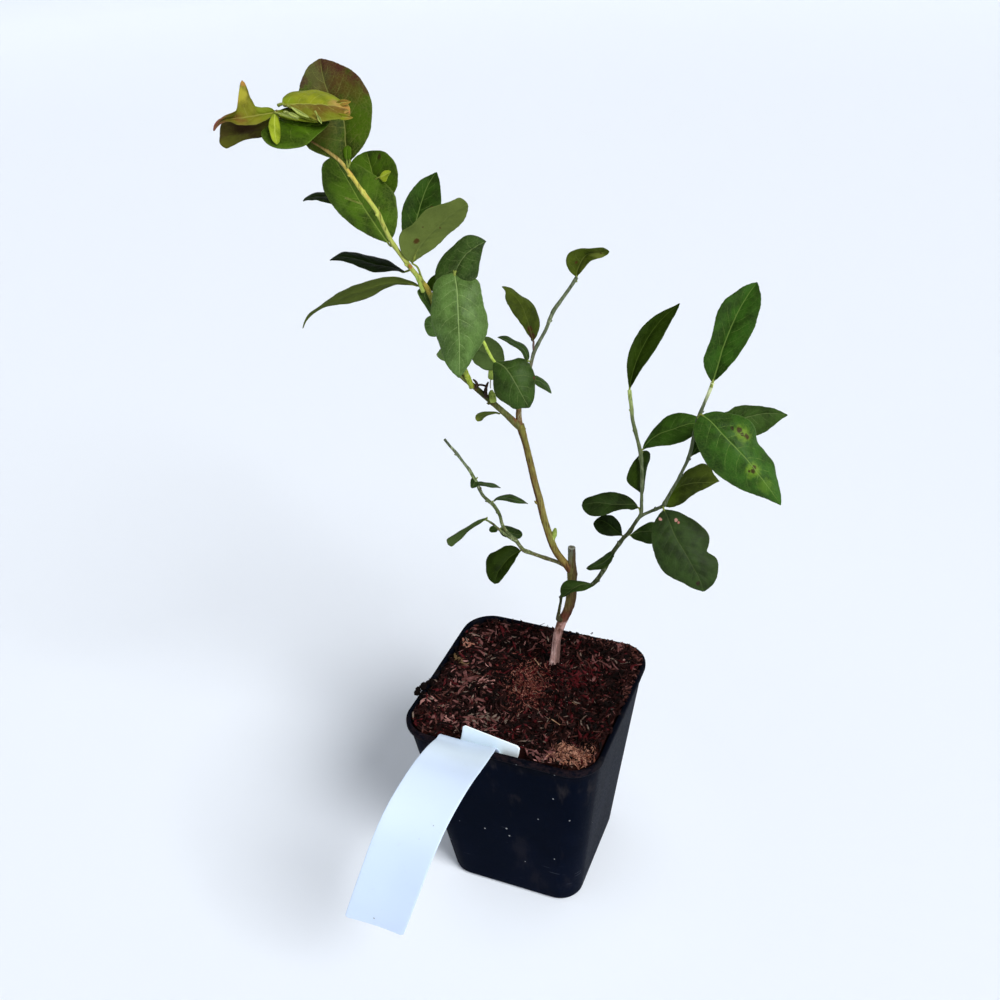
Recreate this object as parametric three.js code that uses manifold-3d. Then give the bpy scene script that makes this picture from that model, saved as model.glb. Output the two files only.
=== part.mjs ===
import * as THREE from 'three';
import Module from 'manifold-3d';

// Young blueberry bush standing in a square nursery pot, with a blank looped label.
// Millimetres, +Z up. Origin: centre of the pot's flat underside; pot sides run along X and Y.

// ---- pot -------------------------------------------------------------------
const POT_TOP = 90;            // side over the rim
const POT_FOOT = 64.4;         // side over the base
const POT_HEIGHT = 99;
const POT_WALL = 1.2;
const POT_FLOOR = 1.6;
const FOOT_EDGE = 1.6;         // bevel round the foot
const LIP_HEIGHT = 3.2;        // outward lip below the top edge
const LIP_OUT = 0.9;
const CORNER_TOP = 14;         // corner radius at the rim
const CORNER_FOOT = 11;        // corner radius at the base
const CORNER_STEPS = 4;
const DRAIN_R = 3.6;           // four drainage holes, clear of the middle
const DRAIN_AT = 17;

// ---- potting soil ------------------------------------------------------------
const GAP = 0.3;               // clearance between neighbouring solids
const SOIL_LEVEL = 94.2;
const SOIL_RINGS = 7;
const SOIL_MOUND = [24, 26, 3.4, 17];     // x, y, height, spread of the back right mound
const SOIL_DIP = [-6, 36, -2.2, 12];      // x, y, depth, spread of the hollow at the back
const SOIL_LEFT = [-46, -10, 2.6, 20];    // bank along the left rim
const SOIL_FRONT = [6, -38, 2.4, 20];     // bank behind the front rim
const SOIL_BRIM = [29, 14, 98];           // distance where the soil starts to climb to the walls, run, height there
const SOIL_RUFF = 0.8;         // unevenness of the surface
const TRUNK_SEAT = [3.8, 23.7, 92.7, 4.6]; // x, y, z, radius of the flat seat under the trunk

// ---- label strip -----------------------------------------------------------
const STRIP_W = 26.5;
const STRIP_T = 0.6;
// left edge x, y, z, and drop of the right edge, from the tab's top through the bend
// in the soil, out over the rim and down in front of the pot
const STRIP = [
  [-14.6, -40.6, 107.3, -4.6], [-16.2, -40.5, 99, -3.2], [-19, -39.95, 91.6, -1], [-20.4, -40.15, 90, -0.5],
  [-21.4, -40.95, 90, -0.3], [-22.4, -41.2, 91.6, -0.1], [-24, -42.1, 98.4, 0], [-24.4, -43.1, 100.7, 0],
  [-23, -50.5, 105.6, 0], [-20.4, -62, 113, 0], [-19, -72, 117.6, 0], [-19.2, -80, 118.6, 0], [-20.5, -88, 116.5, 0],
  [-23, -97, 110.5, 0], [-26, -105, 100.5, 0], [-29, -111, 89, 0], [-33.2, -114.6, 75, 0], [-38, -114.5, 61, 0],
];

// ---- plant -------------------------------------------------------------------
const BLADE_T = 2.2;           // thickness of a mass at its middle
const STALK_R = 0.75;          // leaf stalk
const EASE = 0.35;             // room cut round a limb that runs through a mass
const RIPPLE = 0.05;           // unevenness of a blade's edge, part of its width
const BLADE_STATIONS = [0.1, 0.28, 0.48, 0.68, 0.88];
const SMALL_STATIONS = [0.15, 0.5, 0.84];
const SMALL_BLADE = 21;        // blades shorter than this take the fewer stations
// Every limb: the points it runs through and its radius at each of them, foot to tip.
// Every mass: the node it grows from and its blades, each given by its stalk end, its tip,
// its greatest width and where along it that lies, its bow, side bend, roll and cup.
const LIMBS = [
  { name: 'trunk', sides: 8, steps: 2, path: [[3.8, 23.7, 93.3], [5.1, 24.3, 107], [7.7, 25.4, 120.4], [11.5, 27, 133.5], [12.2, 27.3, 147.3], [12, 27.3, 161]], radius: [3.1, 1.93, 1.96, 2, 1.91, 1.7] },
  { name: 'main_shoot_lower', sides: 7, steps: 2, path: [[9.9, 26.3, 152.1], [3, 23.4, 169], [-0.5, 21.9, 187.2], [-3.7, 20.5, 205.5], [-6.9, 19.1, 223.8]], radius: [1.5, 1.58, 1.5, 1.46, 1.5] },
  { name: 'main_shoot_middle', sides: 6, steps: 2, path: [[-8.2, 18.5, 224.1], [-15.8, 13.3, 235.1], [-24.7, 9.2, 245.6], [-31.4, 6.3, 257.7], [-34.3, 5, 271.8], [-36.4, 3, 285.8]], radius: [1.5, 1.22, 1.11, 1.09, 1.05, 1.1] },
  { name: 'main_shoot_upper', sides: 6, steps: 2, path: [[-36.4, 3, 285.8], [-42.4, -1.7, 298.2], [-47.8, -5.2, 311.2], [-52.2, -9.3, 324.3], [-57.9, -13.6, 336.9], [-66.5, -20.1, 346.4], [-73.7, -26.2, 357.2]], radius: [1.1, 0.98, 0.95, 0.9, 0.8, 0.5, 0.5] },
  { name: 'side_shoot', sides: 6, steps: 2, path: [[-7.6, 19.5, 225.5], [-6.9, 23.3, 237.9], [-4.2, 28, 249.9], [-0.7, 34.9, 260.4], [2.3, 43.9, 269.1], [6.2, 54.2, 276.3]], radius: [1.25, 0.78, 0.63, 0.55, 0.5, 0.5] },
  { name: 'centre_twig', sides: 6, steps: 2, path: [[-23.9, 9.5, 242.8], [-25, 6, 259.2], [-24.7, 4.4, 276.1], [-24.4, 2.8, 292.9]], radius: [0.75, 0.61, 0.53, 0.5] },
  { name: 'left_twig', sides: 6, steps: 1, path: [[9.4, 26.2, 151.6], [-4.2, 25.6, 154.9], [-15.9, 26.8, 161.1], [-22.5, 27.1, 172.9], [-30.8, 27.3, 183.1], [-38.5, 29.1, 194.3], [-47.5, 29.3, 205.1]], radius: [1.1, 0.8, 0.69, 0.6, 0.5, 0.5, 0.5] },
  { name: 'left_twig_fork', sides: 6, steps: 1, path: [[-14.8, 26.8, 159.3], [-20.8, 24.7, 165.2], [-27.4, 23.2, 170.7]], radius: [0.65, 0.52, 0.5] },
  { name: 'right_shoot', sides: 6, steps: 1, path: [[6.9, 22.9, 123.2], [8.3, 21.9, 133.6], [12.8, 20.7, 142.7], [22.5, 22.3, 146.5], [28.1, 23.4, 155.3], [32.2, 24, 165.1], [37.4, 25, 174.2], [42.5, 25.8, 183.5]], radius: [0.95, 0.65, 0.72, 0.95, 0.95, 0.95, 0.87, 0.8] },
  { name: 'right_fork_inner', sides: 6, steps: 2, path: [[43.5, 26.2, 186.1], [43.2, 27.5, 199.5], [41.7, 29.5, 212.7], [37.8, 31.8, 225.5], [34.9, 35.2, 238.2]], radius: [0.75, 0.6, 0.64, 0.5, 0.5] },
  { name: 'right_fork_outer', sides: 6, steps: 2, path: [[44.4, 26.1, 185.4], [54.4, 25.6, 195.2], [59.9, 26.4, 208.5], [63.6, 26.4, 222.4], [66.2, 26, 236.6], [70.2, 26.4, 250.4]], radius: [0.7, 0.6, 0.5, 0.5, 0.5, 0.5] },
];

const MASSES = [
  { name: 'leaves_top', node: [-57.1, -12.6, 335.1], along: [-0.34, -0.46, 0.82], swell: 2.2, blades: [
    { base: [-56, -10.9, 337], tip: [-74, 7.1, 367.8], width: 27.1, widest: 0.5, bow: 3.8, side: 0.2, roll: -18, cup: 2.9 },
    { base: [-56, -13.1, 337.6], tip: [-55.7, -12.1, 342.8], width: 3.9, widest: 0.56, bow: 0.1, side: 0.2, roll: 6, cup: -0.1 },
  ] },
  { name: 'leaves_tip', node: [-73.6, -26.1, 357.0], along: [-0.29, -0.35, 0.89], swell: 2.2, blades: [
    { base: [-72.1, -24.4, 358.8], tip: [-49.2, -18.6, 356.5], width: 18.1, widest: 0.5, bow: 1.8, side: -0.4, roll: 18, cup: -0.9 },
    { base: [-74.2, -24.3, 356.4], tip: [-57.7, -20, 352.2], width: 8.5, widest: 0.5, bow: 0.8, side: -0.2, roll: 13, cup: 0.4 },
    { base: [-74.3, -25.4, 356.3], tip: [-90, -40.9, 352.9], width: 14.3, widest: 0.44, bow: 1.3, side: -4.4, roll: -63, cup: 2.4 },
    { base: [-75.4, -24.8, 354.5], tip: [-90.7, -36.8, 350.2], width: 9.1, widest: 0.69, bow: -1, side: -0.6, roll: 68, cup: 0.4 },
    { base: [-73.9, -26.3, 356.5], tip: [-67.9, -37.3, 348.7], width: 3.9, widest: 0.44, bow: 0.7, side: -0.8, roll: -22, cup: -0.1 },
    { base: [-74.2, -25.4, 354.7], tip: [-55.1, -23, 353.5], width: 16.6, widest: 0.44, bow: -0.2, side: -5.9, roll: 20, cup: -1.9 },
  ] },
  { name: 'leaves_upper_stem', node: [-45.9, -4.2, 305.9], along: [-0.35, -0.31, 0.88], swell: 2.3, blades: [
    { base: [-49.2, -1.4, 304.5], tip: [-76.7, 12.3, 331.3], width: 22, widest: 0.44, bow: 1, side: -1, roll: -47, cup: -0.2 },
  ] },
  { name: 'leaves_upper_back', node: [-49.4, -7.0, 317.8], along: [-0.32, -0.35, 0.88], swell: 2.3, blades: [
    { base: [-56.2, 8, 315.6], tip: [-68.2, 23.5, 331.1], width: 17.3, widest: 0.56, bow: -0, side: -1.3, roll: -17, cup: 1.9 },
    { base: [-68.3, 5.5, 317.8], tip: [-88.5, 5.5, 315.5], width: 8.9, widest: 0.44, bow: 0.5, side: -1.5, roll: -12, cup: -0.2 },
  ] },
  { name: 'leaves_upper_right', node: [-41.2, -1.2, 296.1], along: [-0.48, -0.21, 0.85], swell: 2.3, blades: [
    { base: [-41.3, 2, 304.1], tip: [-39.3, 24.5, 324.7], width: 13.2, widest: 0.5, bow: -0.1, side: 0.7, roll: 28, cup: 2.3 },
    { base: [-45.4, 3.5, 292], tip: [-75.9, -1.1, 295.3], width: 12.3, widest: 0.5, bow: 0.5, side: -2, roll: -3, cup: -0.2 },
  ] },
  { name: 'leaves_upper_left', node: [-36.5, 2.9, 286.1], along: [-0.39, -0.35, 0.85], swell: 2.4, blades: [
    { base: [-38.7, 2, 287.4], tip: [-75, -27.9, 277.7], width: 10.8, widest: 0.5, bow: 5.1, side: 3.3, roll: 49, cup: -0.3 },
    { base: [-40.2, -0.8, 297.4], tip: [-19.3, 7.3, 318.9], width: 13.3, widest: 0.31, bow: 1.2, side: -3.5, roll: -83, cup: -0.6 },
    { base: [-37.8, 3.5, 286.1], tip: [-32.5, 4.3, 272.5], width: 8, widest: 0.44, bow: -0.7, side: 0.3, roll: 27, cup: 0.4 },
    { base: [-35.5, 5.6, 284.4], tip: [-33.3, 17.3, 288.9], width: 6.2, widest: 0.44, bow: -0.3, side: 0.8, roll: 45, cup: -0.3 },
  ] },
  { name: 'leaves_centre', node: [-24.4, 2.8, 292.9], along: [0.03, -0.10, 0.99], swell: 1.9, blades: [
    { base: [-24.4, 2.8, 293.7], tip: [-20, 23.9, 299.4], width: 16.5, widest: 0.44, bow: 2.7, side: 0.6, roll: 20, cup: -1.8 },
    { base: [-24.6, 2.7, 293.7], tip: [-18.5, -12.4, 257.8], width: 21.2, widest: 0.5, bow: 6.6, side: 1.3, roll: -1, cup: -4.3 },
  ] },
  { name: 'leaves_centre_low', node: [-24.8, 5.3, 267.0], along: [0.03, -0.09, 1.00], swell: 1.9, blades: [
    { base: [-11.7, 6.1, 257.8], tip: [4.1, 2.1, 241.6], width: 17.9, widest: 0.5, bow: 3, side: 1.3, roll: 42, cup: -3 },
    { base: [-24.3, 10.4, 263.3], tip: [-12.5, 18.6, 252.6], width: 12.6, widest: 0.5, bow: -1.2, side: 0.8, roll: -90, cup: 0.2 },
  ] },
  { name: 'leaves_centre_back', node: [-32.1, 6.0, 260.6], along: [-0.24, -0.10, 0.97], swell: 2.4, blades: [
    { base: [-32.1, 10.3, 268.8], tip: [-44.5, 13.2, 265.8], width: 9.3, widest: 0.44, bow: 0, side: -0, roll: -86, cup: -0.4 },
    { base: [-28.6, 9.7, 258.8], tip: [-38.3, 9.7, 255.6], width: 7.3, widest: 0.44, bow: 0.1, side: -0.8, roll: 84, cup: 0 },
  ] },
  { name: 'leaves_fork', node: [-12.8, 15.2, 231.0], along: [-0.55, -0.35, 0.75], swell: 2.6, blades: [
    { base: [-14.4, 15.8, 229.8], tip: [-21.5, 8.2, 228.7], width: 5.7, widest: 0.5, bow: 1.5, side: 1, roll: 56, cup: 0.1 },
  ] },
  { name: 'leaves_side_low', node: [-5.9, 24.7, 241.7], along: [0.23, 0.34, 0.91], swell: 2.0, blades: [
    { base: [-4.9, 28.8, 240.6], tip: [1.8, 33.9, 232.5], width: 8.5, widest: 0.44, bow: 0.9, side: 1.5, roll: 18, cup: -0.5 },
  ] },
  { name: 'leaves_side_mid', node: [-4.0, 28.6, 251.1], along: [0.13, 0.41, 0.90], swell: 2.0, blades: [
    { base: [-4.4, 30.5, 256.9], tip: [-20.6, 38.7, 275.7], width: 11.8, widest: 0.5, bow: 0.3, side: -4.9, roll: 5, cup: -0.9 },
    { base: [-5.7, 27, 249.4], tip: [-19.5, 29, 257.4], width: 9.6, widest: 0.5, bow: 2.6, side: -0.8, roll: 16, cup: -0 },
  ] },
  { name: 'leaves_side_tip', node: [6.2, 54.2, 276.3], along: [0.27, 0.78, 0.56], swell: 1.9, blades: [
    { base: [6.2, 54.2, 276.5], tip: [18.7, 58.9, 286.9], width: 8.1, widest: 0.38, bow: -1.4, side: 5.2, roll: 71, cup: 3.3 },
  ] },
  { name: 'leaves_left_fork_tip', node: [-27.2, 23.3, 170.5], along: [-0.74, -0.32, 0.59], swell: 1.9, blades: [
    { base: [-26.3, 23.6, 171.6], tip: [-43, 15.4, 158.7], width: 8, widest: 0.56, bow: 0.7, side: 0.5, roll: 53, cup: -0.1 },
  ] },
  { name: 'leaves_left_low', node: [-10.6, 25.8, 156.1], along: [-0.98, 0.10, 0.16], swell: 2.2, blades: [
    { base: [-12, 26.1, 155.2], tip: [-19.2, 11.2, 145.1], width: 12.2, widest: 0.56, bow: 0.9, side: -3.9, roll: -16, cup: 1.4 },
  ] },
  { name: 'leaves_left_mid', node: [-20.1, 26.3, 167.0], along: [-0.32, -0.14, 0.94], swell: 2.0, blades: [
    { base: [-22.5, 27.1, 163.5], tip: [-14.5, 35.5, 157.4], width: 7.3, widest: 0.44, bow: -0.5, side: 0.3, roll: 24, cup: 0.1 },
    { base: [-22.2, 25.4, 165.2], tip: [-26.9, 25.8, 163.1], width: 3.4, widest: 0.44, bow: -0.2, side: -0.5, roll: -38, cup: -0 },
  ] },
  { name: 'leaves_left_high', node: [-25.6, 27.7, 176.6], along: [-0.60, -0.26, 0.75], swell: 2.0, blades: [
    { base: [-25.1, 27.9, 178], tip: [-11.8, 37.2, 173.7], width: 8.3, widest: 0.5, bow: 1.3, side: 1.2, roll: -6, cup: 0.2 },
  ] },
  { name: 'leaves_left_tip', node: [-32.5, 28.4, 185.6], along: [-0.37, -0.16, 0.92], swell: 2.0, blades: [
    { base: [-32.9, 28.2, 186.3], tip: [-23.9, 35, 181.1], width: 7.6, widest: 0.5, bow: 0, side: 0.5, roll: -9, cup: -0 },
    { base: [-32.9, 28.2, 187.4], tip: [-33, 24.2, 185.3], width: 4.4, widest: 0.38, bow: -0.1, side: -0.2, roll: -52, cup: 0.2 },
  ] },
  { name: 'leaves_right_high_left', node: [34.9, 35.2, 238.2], along: [-0.22, 0.34, 0.91], swell: 1.9, blades: [
    { base: [34.9, 35.2, 238.4], tip: [49.2, 56.8, 268.8], width: 9.5, widest: 0.5, bow: 0.5, side: 3.6, roll: 39, cup: 3.5 },
  ] },
  { name: 'leaves_right_high_right', node: [70.2, 26.4, 250.4], along: [0.25, 0.11, 0.96], swell: 1.9, blades: [
    { base: [70.2, 26.3, 250.6], tip: [79.6, 54.1, 281.9], width: 15.1, widest: 0.62, bow: 2.1, side: 1.5, roll: 31, cup: 2.4 },
  ] },
  { name: 'leaves_right_mid', node: [41.7, 29.5, 212.7], along: [-0.18, 0.19, 0.96], swell: 2.0, blades: [
    { base: [42.2, 29.9, 214.6], tip: [63.7, 42.8, 223.7], width: 13.3, widest: 0.56, bow: 3.9, side: 0.8, roll: 31, cup: -0.2 },
    { base: [41.5, 32.5, 212.2], tip: [43.1, 30.2, 192.6], width: 10.5, widest: 0.5, bow: 0.5, side: -1.8, roll: -21, cup: -1.4 },
  ] },
  { name: 'leaves_right_outer', node: [65.4, 26.0, 233.8], along: [0.21, -0.02, 0.98], swell: 1.9, blades: [
    { base: [67, 24.9, 237], tip: [101.5, 18.7, 205.4], width: 24.1, widest: 0.38, bow: 5, side: -0.6, roll: 42, cup: -4.6 },
    { base: [66.8, 29.2, 232.4], tip: [96.6, 51.8, 227.8], width: 12.8, widest: 0.5, bow: -0.1, side: -1.3, roll: 77, cup: 0.4 },
  ] },
  { name: 'leaves_right_outer_low', node: [62.7, 26.6, 217.4], along: [0.23, -0.00, 0.97], swell: 1.9, blades: [
    { base: [63.3, 27.7, 216.3], tip: [69.2, 42.4, 223], width: 7.1, widest: 0.56, bow: -0, side: 0.6, roll: 40, cup: 0 },
  ] },
  { name: 'leaves_right_low', node: [53.1, 25.6, 192.2], along: [0.73, -0.14, 0.67], swell: 2.1, blades: [
    { base: [53.4, 25.6, 191.9], tip: [72.3, 44.5, 196.5], width: 12.2, widest: 0.56, bow: -2, side: 4.2, roll: 79, cup: 0.8 },
    { base: [53.8, 23.6, 191.7], tip: [75.3, 10.2, 163.6], width: 23.3, widest: 0.44, bow: 3.5, side: -1.4, roll: 28, cup: -2.1 },
  ] },
  { name: 'leaves_right_knee', node: [37.7, 25.1, 174.5], along: [0.60, 0.13, 0.79], swell: 2.2, blades: [
    { base: [39.3, 24.9, 175], tip: [52.6, 38.2, 170.9], width: 9.9, widest: 0.5, bow: 0.4, side: 0, roll: 36, cup: 0.3 },
    { base: [35.3, 26.5, 172.9], tip: [22, 27.5, 175.5], width: 9.1, widest: 0.5, bow: 0.1, side: -1.9, roll: -52, cup: 1.9 },
  ] },
  { name: 'leaves_right_inner', node: [42.5, 25.8, 183.5], along: [0.47, 0.06, 0.88], swell: 2.2, blades: [
    { base: [42.5, 26.3, 188.4], tip: [21, 14.7, 192.5], width: 11.3, widest: 0.56, bow: 2.3, side: -0.4, roll: -28, cup: 0.2 },
  ] },
  { name: 'leaves_right_inner_low', node: [33.2, 24.2, 166.9], along: [0.46, 0.08, 0.88], swell: 2.3, blades: [
    { base: [32.7, 24.3, 166.5], tip: [22.6, 15.6, 160.2], width: 8, widest: 0.5, bow: -1.2, side: 1.4, roll: 7, cup: -0.4 },
  ] },
  { name: 'leaves_trunk_side', node: [23.8, 22.6, 147.9], along: [0.66, 0.14, 0.74], swell: 2.3, blades: [
    { base: [23.7, 22.6, 146.9], tip: [12, 13.7, 143.3], width: 7.2, widest: 0.5, bow: 3.4, side: -0.4, roll: -16, cup: 0.9 },
  ] },
];

const COLOURS = {
  pot: [0x16181d, 0.45], soil: [0x2b1f18, 1], label: [0xf1f2f0, 0.4], trunk: [0x6e5a48, 0.85],
  shoot: [0x6f7744, 0.7], leaves: [0x3f6a33, 0.5], leaves_tip: [0x8a5a33, 0.5], leaves_top: [0x566b3a, 0.5],
};

// ---- helpers -----------------------------------------------------------------
function seeded(seed) {
  let s = seed >>> 0;
  return () => { s = (s + 0x6d2b79f5) >>> 0; let t = Math.imul(s ^ (s >>> 15), 1 | s); t = (t + Math.imul(t ^ (t >>> 7), 61 | t)) ^ t; return ((t ^ (t >>> 14)) >>> 0) / 4294967296; };
}
const V = (a) => new THREE.Vector3(a[0], a[1], a[2]);

const wasm = await Module();
wasm.setup();
function solid(verts, tris) {
  return new wasm.Manifold(new wasm.Mesh({ numProp: 3, vertProperties: new Float32Array(verts.flat()), triVerts: new Uint32Array(tris.flat()) }));
}

// Stack of equal rings closed by a point or a fan at both ends; rings run counter-clockwise
// seen from the end of the stack.
function stack(rings, first, last) {
  const n = rings[0].length, verts = [...rings.flat(), first, last], tris = [];
  const a = verts.length - 2, b = verts.length - 1;
  for (let k = 0; k + 1 < rings.length; k++) for (let i = 0; i < n; i++) {
    const p = k * n + i, q = k * n + (i + 1) % n;
    tris.push([p, q, q + n], [p, q + n, p + n]);
  }
  for (let i = 0; i < n; i++) {
    tris.push([a, (i + 1) % n, i]);
    const m = (rings.length - 1) * n;
    tris.push([b, m + i, m + (i + 1) % n]);
  }
  return solid(verts, tris);
}

// Tube through points with a radius at each; `grow` widens it and lengthens its ends.
function tube(path, radius, sides, steps, grow = 0, level = false) {
  const curve = new THREE.CatmullRomCurve3(path.map(V), false, 'centripetal');
  const n = (path.length - 1) * steps, rings = [];
  let u = new THREE.Vector3(1, 0, 0);
  let start = null, end = null;
  for (let k = 0; k <= n; k++) {
    const t = k / n, p = curve.getPoint(t), d = curve.getTangent(t);
    if (level && k === 0) d.set(0, 0, 1);
    const f = t * (path.length - 1), i = Math.min(Math.floor(f), path.length - 2);
    const r = radius[i] + (radius[i + 1] - radius[i]) * (f - i) + grow;
    if (k === 0) p.addScaledVector(d, -grow);
    if (k === n) p.addScaledVector(d, grow);
    u = u.clone().addScaledVector(d, -u.dot(d)).normalize();
    const v = new THREE.Vector3().crossVectors(d, u);
    rings.push(Array.from({ length: sides }, (_, j) => {
      const a = (2 * Math.PI * j) / sides;
      return [p.x + r * (u.x * Math.cos(a) + v.x * Math.sin(a)), p.y + r * (u.y * Math.cos(a) + v.y * Math.sin(a)), p.z + r * (u.z * Math.cos(a) + v.z * Math.sin(a))];
    }));
    if (k === 0) start = p.toArray();
    if (k === n) end = p.toArray();
  }
  return stack(rings, start, end);
}

// One flat mass: a lens across the blade, swept from the stalk end to the tip.
function blade(b, seed, grow = 0) {
  const p0 = V(b.base), p1 = V(b.tip), c = p1.clone().sub(p0).normalize();
  const w0 = new THREE.Vector3().crossVectors(c, new THREE.Vector3(0, 0, 1)).normalize();
  const n = new THREE.Vector3().crossVectors(w0, c).applyAxisAngle(c, THREE.MathUtils.degToRad(b.roll));
  const w = new THREE.Vector3().crossVectors(n, c);
  const rnd = seeded(seed);
  const at = (u) => p0.clone().lerp(p1, u).addScaledVector(n, 4 * u * (1 - u) * b.bow).addScaledVector(w, 4 * u * (1 - u) * b.side);
  const stations = p0.distanceTo(p1) < SMALL_BLADE ? SMALL_STATIONS : BLADE_STATIONS;
  const rings = stations.map((u) => {
    const g = u < b.widest ? (0.5 * u) / b.widest : 0.5 + (0.5 * (u - b.widest)) / (1 - b.widest);
    const q = Math.pow(Math.sin(Math.PI * g), 0.8);
    const half = 0.5 * b.width * q, t = 0.5 * BLADE_T * (0.45 + 0.55 * q) * Math.min(1, 0.5 + b.width / 12) + grow;
    const m = at(u), e = b.cup * q;
    const l = (half + grow) * (1 + RIPPLE * (2 * rnd() - 1)), r = (half + grow) * (1 + RIPPLE * (2 * rnd() - 1));
    const put = (x, z) => m.clone().addScaledVector(w, x).addScaledVector(n, z).toArray();
    return [put(r, e), put(0.5 * r, 0.35 * e + t), put(-0.5 * l, 0.35 * e + t), put(-l, e), put(-0.5 * l, 0.35 * e - t), put(0.5 * r, 0.35 * e - t)];
  });
  const ends = [p0.clone().addScaledVector(c, -grow), p1.clone().addScaledVector(c, grow)].map((p) => p.toArray());
  return stack(rings, ends[0], ends[1]);
}

// Swelling of a node: a short five-sided barrel along the limb.
function knot(m, grow = 0) {
  const d = V(m.along).normalize(), c = V(m.node), r = m.swell + grow;
  const u = new THREE.Vector3(0.3, 1, 0.2).addScaledVector(d, -new THREE.Vector3(0.3, 1, 0.2).dot(d)).normalize();
  const v = new THREE.Vector3().crossVectors(d, u);
  const ring = (h, k) => Array.from({ length: 5 }, (_, j) => {
    const a = (2 * Math.PI * j) / 5;
    return c.clone().addScaledVector(d, h).addScaledVector(u, k * Math.cos(a)).addScaledVector(v, k * Math.sin(a)).toArray();
  });
  return stack([ring(-0.5 * r, r), ring(0.5 * r, r)], c.clone().addScaledVector(d, -1.15 * r).toArray(), c.clone().addScaledVector(d, 1.15 * r).toArray());
}

function mass(m, seed, grow = 0) {
  let body = knot(m, grow);
  m.blades.forEach((b, i) => {
    body = body.add(blade(b, seed + 31 * i, grow));
    const c = V(b.node || m.node), p = V(b.base), into = p.clone().lerp(V(b.tip), 0.16);
    const far = c.distanceTo(p) > 3.5;
    const path = far ? [c, p, into] : [c, into];
    body = body.add(tube(path.map((q) => q.toArray()), path.map((_, k) => STALK_R * (k === 2 ? 0.8 : 1)), 4, 1, grow));
  });
  return body;
}

// Rounded square ring at height z.
function square(half, corner, z, cx = 0, cy = 0) {
  const pts = [];
  for (let q = 0; q < 4; q++) for (let i = 0; i <= CORNER_STEPS; i++) {
    const a = (Math.PI / 2) * (q + i / CORNER_STEPS);
    const sx = q === 0 || q === 3 ? 1 : -1, sy = q < 2 ? 1 : -1;
    pts.push([cx + sx * (half - corner) + corner * Math.cos(a), cy + sy * (half - corner) + corner * Math.sin(a), z]);
  }
  return pts;
}
const sideAt = (z) => { const k = z / POT_HEIGHT; return [(POT_FOOT + (POT_TOP - 2 * LIP_OUT - POT_FOOT) * k) / 2, CORNER_FOOT + (CORNER_TOP - LIP_OUT - CORNER_FOOT) * k]; };

function pot() {
  const [h0, c0] = sideAt(0), lipZ = POT_HEIGHT - LIP_HEIGHT, [hl, cl] = sideAt(lipZ), [hf, cf] = sideAt(FOOT_EDGE);
  const half = POT_TOP / 2;
  const outer = stack([
    square(h0 - FOOT_EDGE, c0 - FOOT_EDGE, 0), square(h0 - 0.3 * FOOT_EDGE, c0 - 0.3 * FOOT_EDGE, 0.3 * FOOT_EDGE), square(hf, cf, FOOT_EDGE),
    square(hl, cl, lipZ - 0.6), square(half - 0.2, CORNER_TOP - 0.2, lipZ), square(half, CORNER_TOP, POT_HEIGHT - 0.4), square(half - 0.4, CORNER_TOP - 0.4, POT_HEIGHT),
  ], [0, 0, 0], [0, 0, POT_HEIGHT]);
  const [hi, ci] = sideAt(POT_FLOOR), [hj, cj] = sideAt(POT_HEIGHT);
  const inner = stack([
    square(hi - POT_WALL - 1, ci - POT_WALL - 1, POT_FLOOR), square(hi - POT_WALL, ci - POT_WALL, POT_FLOOR + 1),
    square(hj - POT_WALL, cj - POT_WALL, POT_HEIGHT), square(hj - POT_WALL, cj - POT_WALL, POT_HEIGHT + 5),
  ], [0, 0, POT_FLOOR], [0, 0, POT_HEIGHT + 5]);
  let body = outer.subtract(inner);
  for (const [sx, sy] of [[1, 1], [-1, 1], [-1, -1], [1, -1]]) {
    const hole = (z) => Array.from({ length: 12 }, (_, i) => [sx * DRAIN_AT + DRAIN_R * Math.cos((Math.PI * i) / 6), sy * DRAIN_AT + DRAIN_R * Math.sin((Math.PI * i) / 6), z]);
    body = body.subtract(stack([hole(-1), hole(POT_FLOOR + 1)], [sx * DRAIN_AT, sy * DRAIN_AT, -1], [sx * DRAIN_AT, sy * DRAIN_AT, POT_FLOOR + 1]));
  }
  return body;
}

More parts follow.
